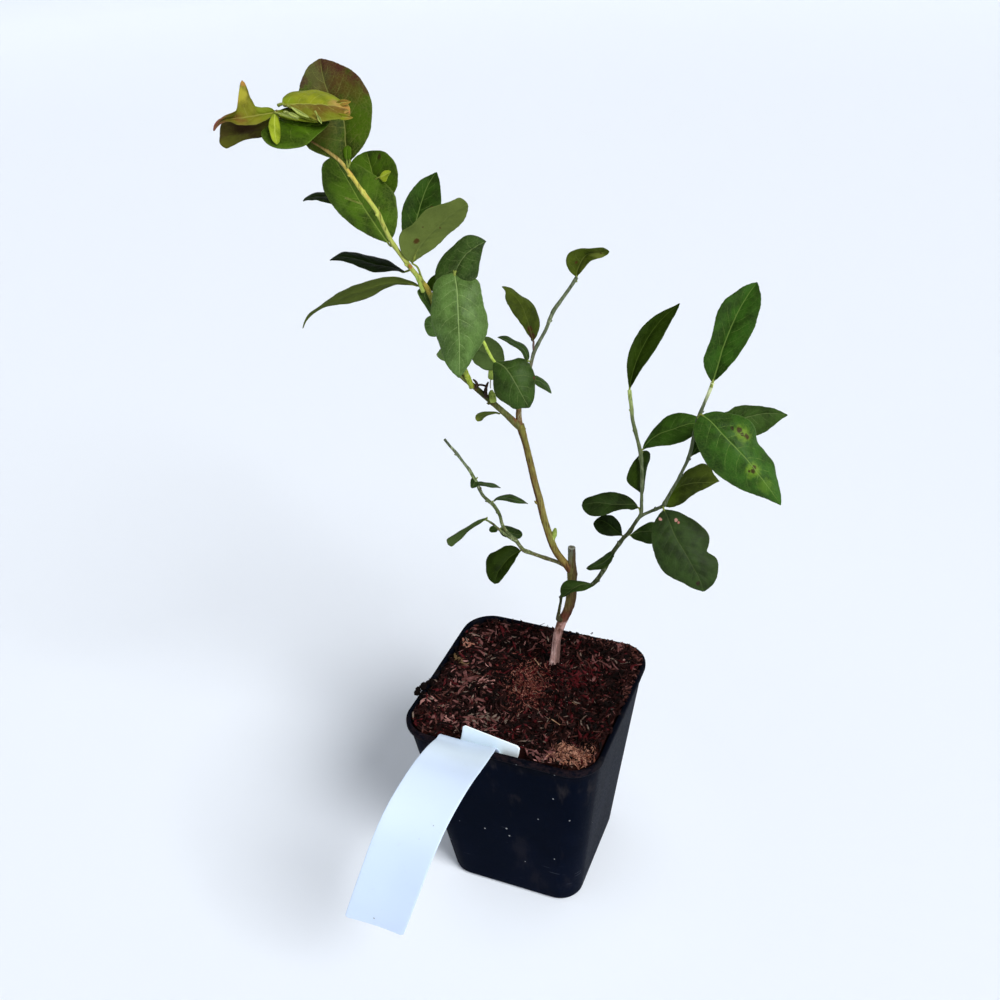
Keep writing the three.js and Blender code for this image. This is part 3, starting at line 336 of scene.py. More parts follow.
LEAVES = {  # mass, then midrib and both margins at even steps from stalk to tip, in 0.1 mm
    'L1': ('top',[[-560,-109,3370],[-571,-104,3405],[-579,-94,3439],[-584,-78,3473],[-596,-63,3505],[-623,-53,3533],[-648,-38,3561],[-674,-18,3590],[-697,7,3619],[-719,37,3649],[-740,71,3678]],[[-560,-109,3370],[-597,-145,3383],[-637,-169,3402],[-677,-182,3427],[-708,-176,3464],[-728,-155,3506],[-741,-123,3549],[-752,-85,3589],[-759,-39,3628],[-755,13,3660],[-740,71,3678]],[[-560,-109,3370],[-524,-99,3405],[-498,-82,3442],[-487,-62,3483],[-490,-40,3525],[-503,-17,3566],[-531,5,3603],[-571,24,3635],[-621,41,3658],[-678,55,3672],[-740,71,3678]]),
    'L2': ('tip',[[-721,-244,3588],[-694,-243,3590],[-668,-241,3591],[-643,-238,3592],[-619,-233,3591],[-596,-227,3590],[-573,-220,3588],[-551,-212,3585],[-530,-204,3581],[-510,-195,3575],[-492,-186,3565]],[[-721,-244,3588],[-731,-212,3608],[-717,-187,3616],[-695,-167,3617],[-671,-153,3615],[-644,-143,3614],[-615,-138,3610],[-584,-139,3602],[-552,-147,3592],[-519,-158,3582],[-492,-186,3565]],[[-721,-244,3588],[-681,-267,3583],[-645,-281,3579],[-612,-292,3572],[-583,-298,3563],[-557,-299,3554],[-533,-290,3550],[-513,-273,3551],[-497,-250,3552],[-482,-223,3551],[-492,-186,3565]]),
    'L2b': ('tip',[[-742,-243,3564],[-723,-241,3562],[-705,-238,3559],[-688,-235,3556],[-670,-232,3552],[-654,-228,3549],[-638,-223,3544],[-622,-218,3539],[-606,-212,3534],[-591,-206,3528],[-577,-200,3522]],[[-742,-243,3564],[-732,-225,3569],[-719,-211,3571],[-703,-201,3569],[-687,-192,3567],[-669,-185,3564],[-651,-182,3559],[-633,-182,3551],[-614,-185,3542],[-596,-190,3532],[-577,-200,3522]],[[-742,-243,3564],[-718,-256,3558],[-696,-264,3552],[-676,-268,3548],[-656,-267,3546],[-639,-263,3543],[-623,-257,3540],[-609,-248,3534],[-596,-236,3529],[-585,-220,3526],[-577,-200,3522]]),
    'L3': ('tip',[[-743,-254,3563],[-751,-264,3563],[-758,-274,3563],[-766,-283,3563],[-773,-292,3563],[-781,-301,3563],[-789,-310,3562],[-797,-318,3562],[-806,-326,3561],[-814,-334,3561],[-823,-342,3560],[-832,-349,3561],[-841,-355,3561],[-851,-361,3561],[-861,-367,3561],[-870,-373,3561],[-879,-380,3557],[-885,-388,3552],[-891,-395,3545],[-896,-402,3537],[-900,-409,3529]],[[-743,-254,3563],[-753,-264,3578],[-766,-278,3584],[-779,-293,3587],[-792,-305,3594],[-800,-306,3611],[-807,-306,3628],[-812,-303,3646],[-817,-300,3663],[-827,-302,3674],[-830,-316,3660],[-829,-329,3644],[-826,-341,3627],[-823,-351,3610],[-821,-361,3593],[-835,-371,3584],[-852,-380,3578],[-868,-389,3570],[-885,-397,3561],[-897,-404,3548],[-900,-409,3529]],[[-743,-254,3563],[-744,-270,3558],[-746,-285,3554],[-749,-298,3550],[-754,-311,3547],[-760,-323,3545],[-766,-334,3544],[-774,-344,3544],[-782,-352,3544],[-791,-360,3544],[-800,-368,3545],[-809,-374,3546],[-819,-379,3548],[-830,-382,3552],[-841,-384,3555],[-852,-388,3556],[-863,-392,3554],[-874,-396,3551],[-883,-401,3545],[-891,-406,3537],[-900,-409,3529]]),
    'L5': ('tip',[[-754,-248,3545],[-765,-262,3534],[-778,-276,3526],[-793,-289,3521],[-809,-301,3517],[-825,-312,3514],[-841,-324,3510],[-857,-336,3507],[-874,-347,3505],[-891,-358,3504],[-907,-368,3502]],[[-754,-248,3545],[-765,-272,3549],[-778,-294,3549],[-792,-313,3547],[-809,-330,3547],[-828,-341,3549],[-849,-348,3553],[-872,-355,3553],[-894,-362,3546],[-901,-368,3525],[-907,-368,3502]],[[-754,-248,3545],[-764,-252,3519],[-778,-261,3498],[-797,-273,3483],[-823,-282,3481],[-847,-295,3478],[-868,-312,3472],[-883,-333,3463],[-899,-356,3458],[-912,-366,3475],[-907,-368,3502]]),
    'L6': ('tip',[[-739,-263,3565],[-733,-279,3559],[-726,-294,3552],[-720,-307,3544],[-713,-320,3537],[-706,-331,3529],[-701,-342,3521],[-695,-351,3513],[-689,-359,3504],[-684,-367,3496],[-679,-373,3487]],[[-739,-263,3565],[-738,-284,3562],[-735,-303,3556],[-731,-320,3549],[-726,-335,3541],[-719,-347,3532],[-711,-357,3523],[-704,-365,3513],[-697,-372,3504],[-688,-375,3495],[-679,-373,3487]],[[-739,-263,3565],[-729,-273,3558],[-719,-283,3550],[-710,-294,3542],[-702,-305,3534],[-695,-316,3525],[-689,-327,3517],[-683,-338,3509],[-679,-349,3500],[-676,-361,3492],[-679,-373,3487]]),
    'L7': ('tip',[[-742,-254,3547],[-719,-262,3541],[-696,-267,3536],[-674,-271,3532],[-653,-272,3529],[-633,-270,3527],[-614,-266,3528],[-596,-260,3528],[-579,-252,3529],[-564,-242,3531],[-551,-230,3535]],[[-742,-254,3547],[-730,-242,3540],[-715,-233,3538],[-699,-225,3536],[-682,-219,3535],[-663,-215,3534],[-643,-214,3533],[-622,-214,3532],[-599,-217,3532],[-576,-221,3533],[-551,-230,3535]],[[-742,-254,3547],[-749,-300,3533],[-757,-340,3517],[-730,-366,3491],[-692,-373,3477],[-654,-368,3471],[-620,-354,3474],[-593,-332,3484],[-575,-303,3501],[-559,-269,3517],[-551,-230,3535]]),
    'L7s': ('top',[[-560,-131,3376],[-560,-130,3381],[-561,-129,3387],[-561,-129,3392],[-561,-128,3397],[-561,-127,3402],[-560,-126,3407],[-560,-124,3412],[-559,-123,3417],[-558,-122,3423],[-557,-121,3428]],[[-560,-131,3376],[-566,-129,3380],[-572,-128,3384],[-575,-126,3389],[-577,-124,3395],[-579,-122,3401],[-579,-121,3408],[-577,-120,3414],[-572,-119,3419],[-565,-119,3424],[-557,-121,3428]],[[-560,-131,3376],[-553,-132,3381],[-546,-132,3386],[-542,-131,3392],[-541,-131,3398],[-541,-130,3404],[-541,-128,3410],[-542,-125,3416],[-544,-122,3422],[-550,-122,3425],[-557,-121,3428]]),
    'L9': ('upper_stem',[[-492,-14,3045],[-519,-5,3072],[-546,5,3099],[-573,17,3125],[-600,29,3152],[-627,42,3179],[-654,58,3206],[-680,73,3233],[-708,90,3260],[-737,106,3286],[-767,123,3313]],[[-492,-14,3045],[-543,-12,3055],[-591,-7,3072],[-637,-1,3092],[-681,7,3117],[-721,18,3145],[-755,32,3179],[-782,50,3215],[-797,73,3255],[-800,100,3295],[-767,123,3313]],[[-492,-14,3045],[-470,7,3080],[-468,29,3121],[-476,50,3161],[-490,72,3200],[-523,85,3232],[-565,93,3256],[-611,101,3277],[-659,110,3295],[-711,116,3307],[-767,123,3313]]),
    'L10': ('upper_back',[[-562,80,3156],[-573,96,3171],[-585,111,3187],[-597,127,3202],[-609,142,3218],[-621,158,3233],[-633,173,3249],[-645,189,3264],[-657,204,3280],[-670,219,3296],[-682,235,3311]],[[-562,80,3156],[-589,81,3167],[-616,85,3181],[-641,93,3197],[-664,104,3214],[-685,118,3234],[-703,135,3255],[-716,156,3277],[-711,182,3294],[-699,209,3306],[-682,235,3311]],[[-562,80,3156],[-537,95,3169],[-521,115,3188],[-513,136,3211],[-516,158,3236],[-527,179,3261],[-544,199,3284],[-572,215,3304],[-605,226,3317],[-643,230,3317],[-682,235,3311]]),
    'L10y': ('upper_back',[[-559,88,3258],[-553,88,3260],[-548,89,3262],[-543,90,3264],[-538,91,3266],[-534,93,3268],[-530,95,3270],[-526,97,3272],[-522,100,3274],[-519,103,3276],[-516,107,3278]],[[-559,88,3258],[-556,89,3263],[-553,91,3268],[-550,93,3273],[-546,95,3277],[-542,97,3280],[-537,100,3282],[-532,103,3283],[-526,105,3283],[-521,106,3281],[-516,107,3278]],[[-559,88,3258],[-550,81,3254],[-542,76,3251],[-534,72,3248],[-526,72,3248],[-522,75,3253],[-521,79,3259],[-520,84,3265],[-518,91,3270],[-517,98,3274],[-516,107,3278]]),
    'L11': ('upper_back',[[-683,55,3178],[-705,60,3177],[-728,64,3177],[-749,67,3176],[-771,69,3175],[-792,70,3174],[-813,70,3174],[-833,69,3172],[-852,66,3169],[-869,61,3163],[-885,55,3155]],[[-683,55,3178],[-712,79,3181],[-741,96,3183],[-768,106,3182],[-793,111,3180],[-817,113,3178],[-838,111,3178],[-857,105,3177],[-872,93,3171],[-882,77,3164],[-885,55,3155]],[[-683,55,3178],[-692,41,3170],[-706,31,3165],[-724,27,3164],[-743,25,3166],[-764,26,3167],[-786,29,3169],[-809,35,3170],[-833,40,3167],[-858,47,3164],[-885,55,3155]]),
    'L14': ('upper_right',[[-413,20,3041],[-415,41,3063],[-417,63,3084],[-417,85,3106],[-417,107,3127],[-417,129,3149],[-416,152,3170],[-414,174,3191],[-410,197,3211],[-403,221,3230],[-393,245,3247]],[[-413,20,3041],[-441,12,3058],[-450,26,3088],[-457,43,3117],[-462,63,3146],[-461,87,3172],[-455,115,3195],[-444,145,3215],[-431,177,3232],[-412,209,3241],[-393,245,3247]],[[-413,20,3041],[-389,36,3052],[-372,56,3069],[-361,77,3090],[-351,100,3111],[-342,124,3131],[-340,149,3153],[-348,172,3177],[-359,196,3201],[-373,220,3225],[-393,245,3247]]),
    'L15': ('upper_left',[[-402,-8,2974],[-392,0,3003],[-378,9,3030],[-360,18,3054],[-339,27,3077],[-317,36,3098],[-295,44,3119],[-272,52,3140],[-247,60,3158],[-221,67,3174],[-193,73,3189]],[[-402,-8,2974],[-426,-30,3009],[-436,-34,3052],[-428,-28,3094],[-391,-17,3118],[-362,-2,3148],[-336,16,3177],[-296,32,3189],[-257,50,3199],[-221,71,3210],[-193,73,3189]],[[-402,-8,2974],[-379,7,2989],[-354,20,3005],[-329,31,3022],[-306,42,3041],[-284,52,3063],[-261,60,3084],[-235,66,3104],[-213,71,3128],[-199,75,3157],[-193,73,3189]]),
    'L12': ('upper_right',[[-454,35,2920],[-486,38,2926],[-519,39,2931],[-552,37,2934],[-583,35,2937],[-615,32,2944],[-646,30,2951],[-676,25,2957],[-706,18,2962],[-734,6,2961],[-759,-11,2953]],[[-454,35,2920],[-495,59,2925],[-533,77,2934],[-571,87,2940],[-607,91,2944],[-641,89,2950],[-673,83,2956],[-702,71,2962],[-728,53,2967],[-747,25,2961],[-759,-11,2953]],[[-454,35,2920],[-478,17,2927],[-504,4,2931],[-530,-11,2929],[-558,-22,2928],[-588,-27,2934],[-619,-25,2944],[-651,-21,2953],[-685,-18,2958],[-720,-16,2957],[-759,-11,2953]]),
    'L13': ('upper_left',[[-387,20,2874],[-429,-2,2893],[-471,-31,2899],[-512,-63,2897],[-551,-96,2889],[-591,-127,2882],[-630,-157,2872],[-668,-188,2857],[-705,-218,2841],[-736,-249,2815],[-750,-279,2777]],[[-387,20,2874],[-421,-14,2907],[-460,-47,2930],[-496,-85,2934],[-535,-122,2931],[-575,-156,2924],[-613,-188,2907],[-652,-217,2885],[-690,-242,2858],[-729,-264,2826],[-750,-279,2777]],[[-387,20,2874],[-438,9,2877],[-486,-9,2879],[-526,-36,2866],[-560,-68,2845],[-600,-98,2836],[-641,-127,2832],[-682,-157,2831],[-718,-192,2825],[-743,-233,2806],[-750,-279,2777]]),
    'L16': ('centre',[[-244,28,2937],[-241,39,2950],[-238,53,2962],[-235,69,2972],[-231,88,2981],[-227,108,2988],[-221,130,2993],[-216,155,2995],[-210,181,2997],[-205,209,2996],[-200,239,2994]],[[-244,28,2937],[-272,8,2916],[-307,-8,2902],[-321,11,2925],[-324,43,2955],[-314,77,2979],[-296,114,2998],[-280,152,3017],[-260,190,3029],[-229,220,3020],[-200,239,2994]],[[-244,28,2937],[-222,16,2925],[-199,15,2916],[-177,24,2916],[-162,41,2923],[-163,64,2938],[-169,89,2953],[-176,120,2966],[-185,154,2978],[-194,193,2988],[-200,239,2994]]),
    'L17': ('centre',[[-246,27,2937],[-226,-6,2910],[-210,-36,2881],[-199,-61,2851],[-190,-83,2818],[-183,-100,2784],[-178,-113,2748],[-176,-121,2709],[-176,-126,2668],[-179,-127,2624],[-185,-124,2578]],[[-246,27,2937],[-285,2,2931],[-308,-28,2906],[-306,-54,2866],[-305,-78,2826],[-295,-98,2784],[-278,-110,2742],[-259,-120,2700],[-241,-128,2656],[-217,-130,2614],[-185,-124,2578]],[[-246,27,2937],[-198,39,2930],[-154,40,2908],[-136,20,2866],[-118,1,2824],[-100,-15,2781],[-99,-36,2737],[-114,-60,2696],[-136,-82,2657],[-158,-103,2616],[-185,-124,2578]]),
    'L18': ('centre_back',[[-321,103,2688],[-333,106,2684],[-345,109,2681],[-357,111,2677],[-370,114,2674],[-382,117,2671],[-395,120,2668],[-407,123,2666],[-420,126,2663],[-432,129,2660],[-445,132,2658]],[[-321,103,2688],[-327,110,2701],[-336,117,2712],[-348,123,2722],[-365,126,2725],[-382,125,2720],[-398,124,2714],[-415,125,2706],[-431,125,2694],[-439,127,2677],[-445,132,2658]],[[-321,103,2688],[-332,111,2669],[-343,115,2652],[-357,117,2638],[-373,119,2628],[-390,120,2623],[-406,119,2620],[-422,120,2622],[-433,124,2632],[-441,129,2644],[-445,132,2658]]),
    'L18b': ('centre_back',[[-286,97,2588],[-295,98,2582],[-305,98,2577],[-314,98,2572],[-324,99,2568],[-334,99,2565],[-344,99,2562],[-354,99,2560],[-364,99,2558],[-373,98,2557],[-383,97,2556]],[[-286,97,2588],[-294,97,2595],[-303,98,2601],[-314,98,2604],[-325,98,2604],[-336,96,2601],[-347,95,2595],[-357,94,2588],[-367,94,2579],[-375,95,2568],[-383,97,2556]],[[-286,97,2588],[-292,102,2572],[-298,104,2556],[-306,104,2543],[-315,103,2532],[-329,102,2528],[-343,102,2529],[-356,100,2531],[-368,98,2536],[-377,98,2544],[-383,97,2556]]),
    'L19': ('upper_left',[[-378,35,2861],[-378,33,2846],[-379,30,2831],[-376,29,2817],[-368,31,2804],[-360,34,2791],[-353,37,2779],[-346,38,2765],[-339,40,2752],[-332,41,2738],[-325,43,2725]],[[-378,35,2861],[-393,23,2863],[-400,12,2856],[-393,5,2840],[-383,2,2824],[-371,3,2809],[-361,5,2792],[-354,8,2774],[-346,15,2756],[-335,26,2740],[-325,43,2725]],[[-378,35,2861],[-371,52,2848],[-363,64,2835],[-355,73,2820],[-347,78,2805],[-340,81,2790],[-332,80,2776],[-326,77,2761],[-323,69,2747],[-323,58,2735],[-325,43,2725]]),
    'L19b': ('upper_left',[[-355,56,2844],[-360,66,2851],[-364,77,2858],[-362,89,2863],[-357,101,2866],[-353,113,2869],[-349,125,2873],[-345,137,2877],[-341,149,2881],[-337,161,2885],[-333,173,2889]],[[-355,56,2844],[-371,54,2847],[-385,57,2854],[-386,69,2866],[-384,83,2875],[-378,98,2883],[-371,112,2887],[-362,127,2890],[-353,142,2891],[-343,157,2891],[-333,173,2889]],[[-355,56,2844],[-349,69,2840],[-342,82,2838],[-336,95,2839],[-333,108,2843],[-331,121,2849],[-330,133,2855],[-330,144,2863],[-330,155,2871],[-331,165,2879],[-333,173,2889]]),
    'L23': ('centre_low',[[-243,104,2633],[-232,107,2621],[-220,110,2609],[-209,116,2598],[-196,123,2587],[-184,131,2578],[-172,141,2568],[-160,151,2558],[-148,162,2548],[-136,174,2537],[-125,186,2526]],[[-243,104,2633],[-226,113,2641],[-208,122,2643],[-190,132,2642],[-173,143,2640],[-157,152,2629],[-143,160,2615],[-132,168,2597],[-125,174,2576],[-123,179,2552],[-125,186,2526]],[[-243,104,2633],[-243,107,2606],[-239,108,2581],[-234,109,2556],[-224,111,2533],[-207,119,2517],[-189,126,2502],[-169,139,2497],[-150,154,2500],[-135,171,2510],[-125,186,2526]]),
    'L24': ('centre_low',[[-117,61,2578],[-92,56,2574],[-69,49,2565],[-50,40,2552],[-33,32,2536],[-19,25,2519],[-5,20,2501],[7,17,2481],[19,16,2460],[30,17,2439],[41,21,2416]],[[-117,61,2578],[-87,74,2576],[-57,88,2579],[-28,103,2584],[2,109,2573],[24,103,2549],[41,93,2523],[47,76,2495],[51,60,2467],[50,41,2439],[41,21,2416]],[[-117,61,2578],[-118,45,2554],[-112,31,2530],[-107,17,2505],[-99,3,2481],[-84,-6,2458],[-60,-6,2442],[-35,-5,2427],[-11,-3,2414],[14,10,2416],[41,21,2416]]),
    'L25': ('side_low',[[-49,288,2406],[-42,299,2400],[-35,309,2393],[-27,318,2386],[-20,325,2379],[-13,331,2371],[-6,336,2362],[1,338,2353],[7,340,2344],[13,340,2334],[18,339,2325]],[[-49,288,2406],[-52,317,2404],[-49,340,2398],[-42,355,2387],[-34,367,2376],[-25,373,2365],[-16,376,2355],[-7,373,2346],[1,367,2337],[9,356,2330],[18,339,2325]],[[-49,288,2406],[-41,280,2400],[-34,276,2393],[-26,276,2387],[-18,278,2380],[-10,283,2374],[-3,290,2366],[3,299,2357],[9,310,2347],[14,322,2337],[18,339,2325]]),
    'L26': ('fork',[[-144,158,2298],[-153,151,2301],[-161,143,2304],[-170,136,2306],[-179,129,2308],[-187,121,2309],[-195,113,2308],[-203,106,2305],[-209,97,2301],[-213,89,2294],[-215,82,2287]],[[-144,158,2298],[-150,143,2310],[-158,129,2318],[-167,116,2323],[-176,105,2327],[-187,97,2329],[-198,89,2328],[-208,83,2324],[-217,78,2315],[-219,76,2302],[-215,82,2287]],[[-144,158,2298],[-156,160,2294],[-167,158,2292],[-176,154,2290],[-186,149,2289],[-194,143,2288],[-200,133,2286],[-204,122,2283],[-206,109,2279],[-210,96,2281],[-215,82,2287]]),
    'L20': ('side_mid',[[-44,305,2569],[-57,323,2587],[-71,340,2606],[-84,355,2626],[-98,368,2646],[-111,380,2667],[-127,389,2687],[-144,394,2707],[-163,395,2725],[-184,393,2742],[-206,387,2757]],[[-44,305,2569],[-63,310,2586],[-82,317,2604],[-99,325,2623],[-117,333,2642],[-136,339,2660],[-154,346,2678],[-172,354,2697],[-184,365,2718],[-189,380,2741],[-206,387,2757]],[[-44,305,2569],[-42,349,2579],[-46,385,2596],[-57,414,2616],[-75,434,2638],[-92,449,2662],[-115,452,2683],[-141,444,2699],[-164,434,2720],[-185,417,2741],[-206,387,2757]]),
    'L22': ('side_mid',[[-57,270,2494],[-61,276,2509],[-69,281,2523],[-79,285,2536],[-94,286,2545],[-109,287,2553],[-125,287,2559],[-142,288,2565],[-159,288,2569],[-177,289,2572],[-195,290,2574]],[[-57,270,2494],[-60,297,2502],[-68,316,2513],[-82,330,2524],[-99,338,2534],[-118,339,2541],[-136,335,2547],[-153,331,2556],[-168,325,2567],[-183,311,2572],[-195,290,2574]],[[-57,270,2494],[-65,254,2509],[-69,250,2527],[-76,247,2542],[-88,245,2553],[-101,245,2562],[-117,248,2568],[-134,253,2573],[-152,262,2575],[-172,273,2576],[-195,290,2574]]),
    'L21': ('side_tip',[[62,542,2765],[62,551,2783],[65,559,2800],[71,568,2816],[78,575,2832],[89,583,2846],[107,587,2854],[126,589,2858],[147,590,2861],[167,590,2865],[187,589,2869]],[[62,542,2765],[42,530,2787],[27,526,2812],[21,530,2840],[31,540,2865],[55,550,2877],[82,558,2882],[111,565,2881],[137,576,2884],[164,586,2883],[187,589,2869]],[[62,542,2765],[75,540,2781],[86,541,2796],[98,543,2810],[109,546,2824],[121,551,2836],[137,555,2842],[152,560,2847],[167,568,2852],[180,577,2859],[187,589,2869]]),
    'LT1': ('left_fork_tip',[[-263,236,1716],[-281,229,1705],[-299,221,1693],[-316,213,1682],[-334,205,1670],[-351,197,1657],[-368,189,1644],[-384,181,1631],[-400,172,1617],[-415,163,1602],[-430,154,1587]],[[-263,236,1716],[-280,218,1718],[-297,203,1715],[-313,188,1706],[-330,175,1696],[-349,166,1685],[-369,158,1672],[-389,153,1657],[-410,149,1639],[-431,147,1618],[-430,154,1587]],[[-263,236,1716],[-285,239,1693],[-306,238,1673],[-326,235,1656],[-346,229,1640],[-362,221,1623],[-376,210,1607],[-390,196,1594],[-404,181,1583],[-417,164,1574],[-430,154,1587]]),
    'LT2': ('left_low',[[-120,261,1552],[-134,247,1547],[-147,232,1541],[-158,217,1533],[-167,202,1524],[-175,186,1513],[-182,171,1503],[-189,155,1492],[-192,140,1479],[-193,126,1465],[-192,112,1451]],[[-120,261,1552],[-147,265,1567],[-176,257,1571],[-202,241,1565],[-223,221,1553],[-246,202,1544],[-256,179,1526],[-250,158,1503],[-240,138,1481],[-221,121,1462],[-192,112,1451]],[[-120,261,1552],[-121,237,1546],[-124,216,1539],[-128,196,1531],[-133,178,1522],[-138,162,1511],[-144,148,1499],[-152,136,1487],[-161,125,1473],[-173,116,1460],[-192,112,1451]]),
    'LT3': ('left_mid',[[-225,271,1635],[-218,281,1628],[-210,290,1621],[-203,299,1614],[-195,308,1607],[-187,316,1600],[-179,323,1593],[-170,331,1587],[-162,339,1582],[-153,347,1578],[-145,355,1574]],[[-225,271,1635],[-226,295,1632],[-224,316,1630],[-217,332,1624],[-208,345,1615],[-198,354,1607],[-188,361,1599],[-176,365,1593],[-164,367,1588],[-153,364,1581],[-145,355,1574]],[[-225,271,1635],[-217,265,1626],[-209,263,1616],[-198,265,1608],[-187,271,1602],[-176,279,1596],[-166,290,1590],[-157,302,1583],[-148,316,1576],[-143,334,1574],[-145,355,1574]]),
    'LT3b': ('left_mid',[[-222,254,1652],[-228,256,1649],[-233,258,1647],[-239,259,1645],[-244,261,1643],[-249,261,1642],[-254,262,1640],[-258,262,1638],[-262,261,1636],[-266,260,1634],[-269,258,1631]],[[-222,254,1652],[-229,262,1652],[-236,269,1652],[-243,273,1652],[-250,276,1651],[-257,276,1649],[-263,274,1646],[-268,272,1644],[-270,268,1639],[-271,264,1635],[-269,258,1631]],[[-222,254,1652],[-224,252,1647],[-226,250,1642],[-229,248,1638],[-235,247,1636],[-240,247,1634],[-246,248,1632],[-252,248,1630],[-258,250,1630],[-264,254,1630],[-269,258,1631]]),
    'LT4': ('left_high',[[-251,279,1780],[-241,294,1783],[-230,307,1784],[-217,319,1781],[-203,329,1777],[-189,337,1771],[-175,345,1764],[-161,353,1758],[-147,360,1751],[-132,366,1745],[-118,372,1737]],[[-251,279,1780],[-250,307,1779],[-242,331,1777],[-232,350,1773],[-219,366,1769],[-205,378,1765],[-189,385,1759],[-172,387,1752],[-155,386,1746],[-137,381,1740],[-118,372,1737]],[[-251,279,1780],[-234,280,1788],[-218,283,1789],[-202,287,1789],[-188,293,1786],[-174,299,1779],[-161,307,1772],[-149,319,1764],[-137,333,1756],[-127,350,1748],[-118,372,1737]]),
    'LT5': ('left_tip',[[-329,282,1863],[-321,289,1856],[-313,297,1850],[-304,305,1845],[-295,313,1840],[-286,320,1836],[-277,328,1832],[-268,334,1827],[-258,340,1822],[-249,345,1817],[-239,350,1811]],[[-329,282,1863],[-327,305,1854],[-322,323,1845],[-316,336,1835],[-309,348,1828],[-300,357,1823],[-290,363,1819],[-278,365,1816],[-267,364,1812],[-254,359,1810],[-239,350,1811]],[[-329,282,1863],[-318,273,1860],[-306,270,1856],[-295,272,1855],[-284,277,1853],[-274,283,1849],[-265,292,1843],[-257,302,1837],[-250,316,1830],[-244,331,1821],[-239,350,1811]]),
    'LT5b': ('left_tip',[[-329,282,1874],[-329,278,1872],[-330,274,1870],[-330,270,1868],[-331,266,1866],[-331,262,1864],[-331,258,1862],[-331,254,1860],[-331,250,1858],[-330,246,1855],[-330,242,1853]],[[-329,282,1874],[-333,277,1881],[-338,273,1886],[-343,268,1889],[-344,261,1886],[-343,255,1881],[-342,250,1876],[-340,246,1870],[-339,242,1864],[-336,240,1857],[-330,242,1853]],[[-329,282,1874],[-324,284,1870],[-320,284,1866],[-316,283,1862],[-315,279,1857],[-316,274,1854],[-318,268,1851],[-320,262,1849],[-324,256,1849],[-327,249,1851],[-330,242,1853]]),
    'R1': ('right_high_left',[[349,352,2384],[350,372,2420],[354,393,2456],[361,414,2491],[371,436,2524],[384,458,2557],[399,480,2587],[418,503,2616],[440,525,2642],[465,546,2666],[492,568,2688]],[[349,352,2384],[339,358,2429],[332,369,2473],[331,385,2515],[338,404,2554],[352,427,2589],[371,453,2620],[396,480,2645],[425,508,2664],[460,536,2677],[492,568,2688]],[[349,352,2384],[367,360,2421],[384,373,2457],[402,388,2489],[421,405,2520],[438,425,2549],[452,448,2579],[463,473,2608],[474,501,2636],[486,533,2662],[492,568,2688]]),
    'R2': ('right_high_right',[[702,263,2506],[709,284,2542],[714,306,2578],[718,329,2613],[725,354,2646],[733,380,2679],[742,409,2710],[752,439,2740],[765,471,2768],[780,505,2795],[796,541,2819]],[[702,263,2506],[675,262,2547],[660,275,2592],[668,297,2631],[676,323,2670],[678,352,2710],[682,384,2748],[697,420,2780],[727,459,2800],[759,501,2816],[796,541,2819]],[[702,263,2506],[732,275,2536],[757,292,2568],[779,313,2599],[797,337,2631],[812,365,2662],[823,396,2693],[827,430,2726],[828,466,2758],[817,503,2790],[796,541,2819]]),
    'R3': ('right_mid',[[422,299,2146],[437,306,2171],[454,314,2191],[475,323,2208],[497,334,2220],[521,345,2227],[544,359,2234],[566,375,2240],[589,392,2244],[613,409,2242],[637,428,2237]],[[422,299,2146],[429,318,2173],[440,337,2198],[455,356,2221],[473,375,2242],[494,394,2259],[520,411,2271],[551,423,2274],[582,432,2270],[613,436,2259],[637,428,2237]],[[422,299,2146],[452,292,2163],[481,289,2175],[509,290,2183],[536,294,2189],[562,303,2195],[585,317,2200],[606,337,2207],[623,363,2216],[633,393,2226],[637,428,2237]]),
    'R4': ('right_mid',[[415,325,2122],[417,319,2104],[418,314,2086],[419,310,2068],[420,306,2049],[421,304,2030],[422,302,2010],[424,300,1990],[425,300,1969],[428,301,1948],[431,302,1926]],[[415,325,2122],[406,307,2109],[396,293,2094],[387,280,2077],[379,270,2058],[374,262,2036],[372,257,2013],[384,262,1990],[400,273,1970],[416,287,1950],[431,302,1926]],[[415,325,2122],[431,348,2116],[441,358,2099],[442,357,2075],[438,353,2051],[435,347,2029],[432,341,2007],[431,333,1986],[431,325,1965],[431,315,1945],[431,302,1926]]),
    'R5': ('right_outer',[[670,249,2370],[713,234,2353],[750,216,2329],[787,202,2303],[824,192,2276],[860,185,2247],[894,180,2214],[925,177,2178],[956,178,2140],[986,181,2099],[1015,187,2054]],[[670,249,2370],[718,277,2377],[771,294,2369],[824,307,2356],[867,304,2323],[887,280,2276],[924,270,2237],[960,258,2196],[982,237,2149],[1004,215,2101],[1015,187,2054]],[[670,249,2370],[649,215,2337],[662,186,2292],[691,166,2248],[724,151,2207],[767,146,2173],[814,148,2144],[863,153,2118],[914,165,2098],[965,178,2077],[1015,187,2054]]),
    'R6': ('right_outer',[[668,292,2324],[698,314,2318],[727,335,2312],[757,358,2307],[786,381,2304],[816,405,2302],[844,431,2302],[873,456,2302],[903,478,2297],[934,499,2289],[966,518,2278]],[[668,292,2324],[693,315,2337],[724,335,2339],[752,359,2344],[777,386,2354],[807,410,2352],[839,433,2345],[871,456,2335],[904,479,2322],[935,499,2302],[966,518,2278]],[[668,292,2324],[696,308,2295],[727,323,2269],[759,339,2246],[793,361,2233],[827,386,2227],[861,410,2223],[891,437,2231],[915,466,2246],[939,494,2263],[966,518,2278]]),
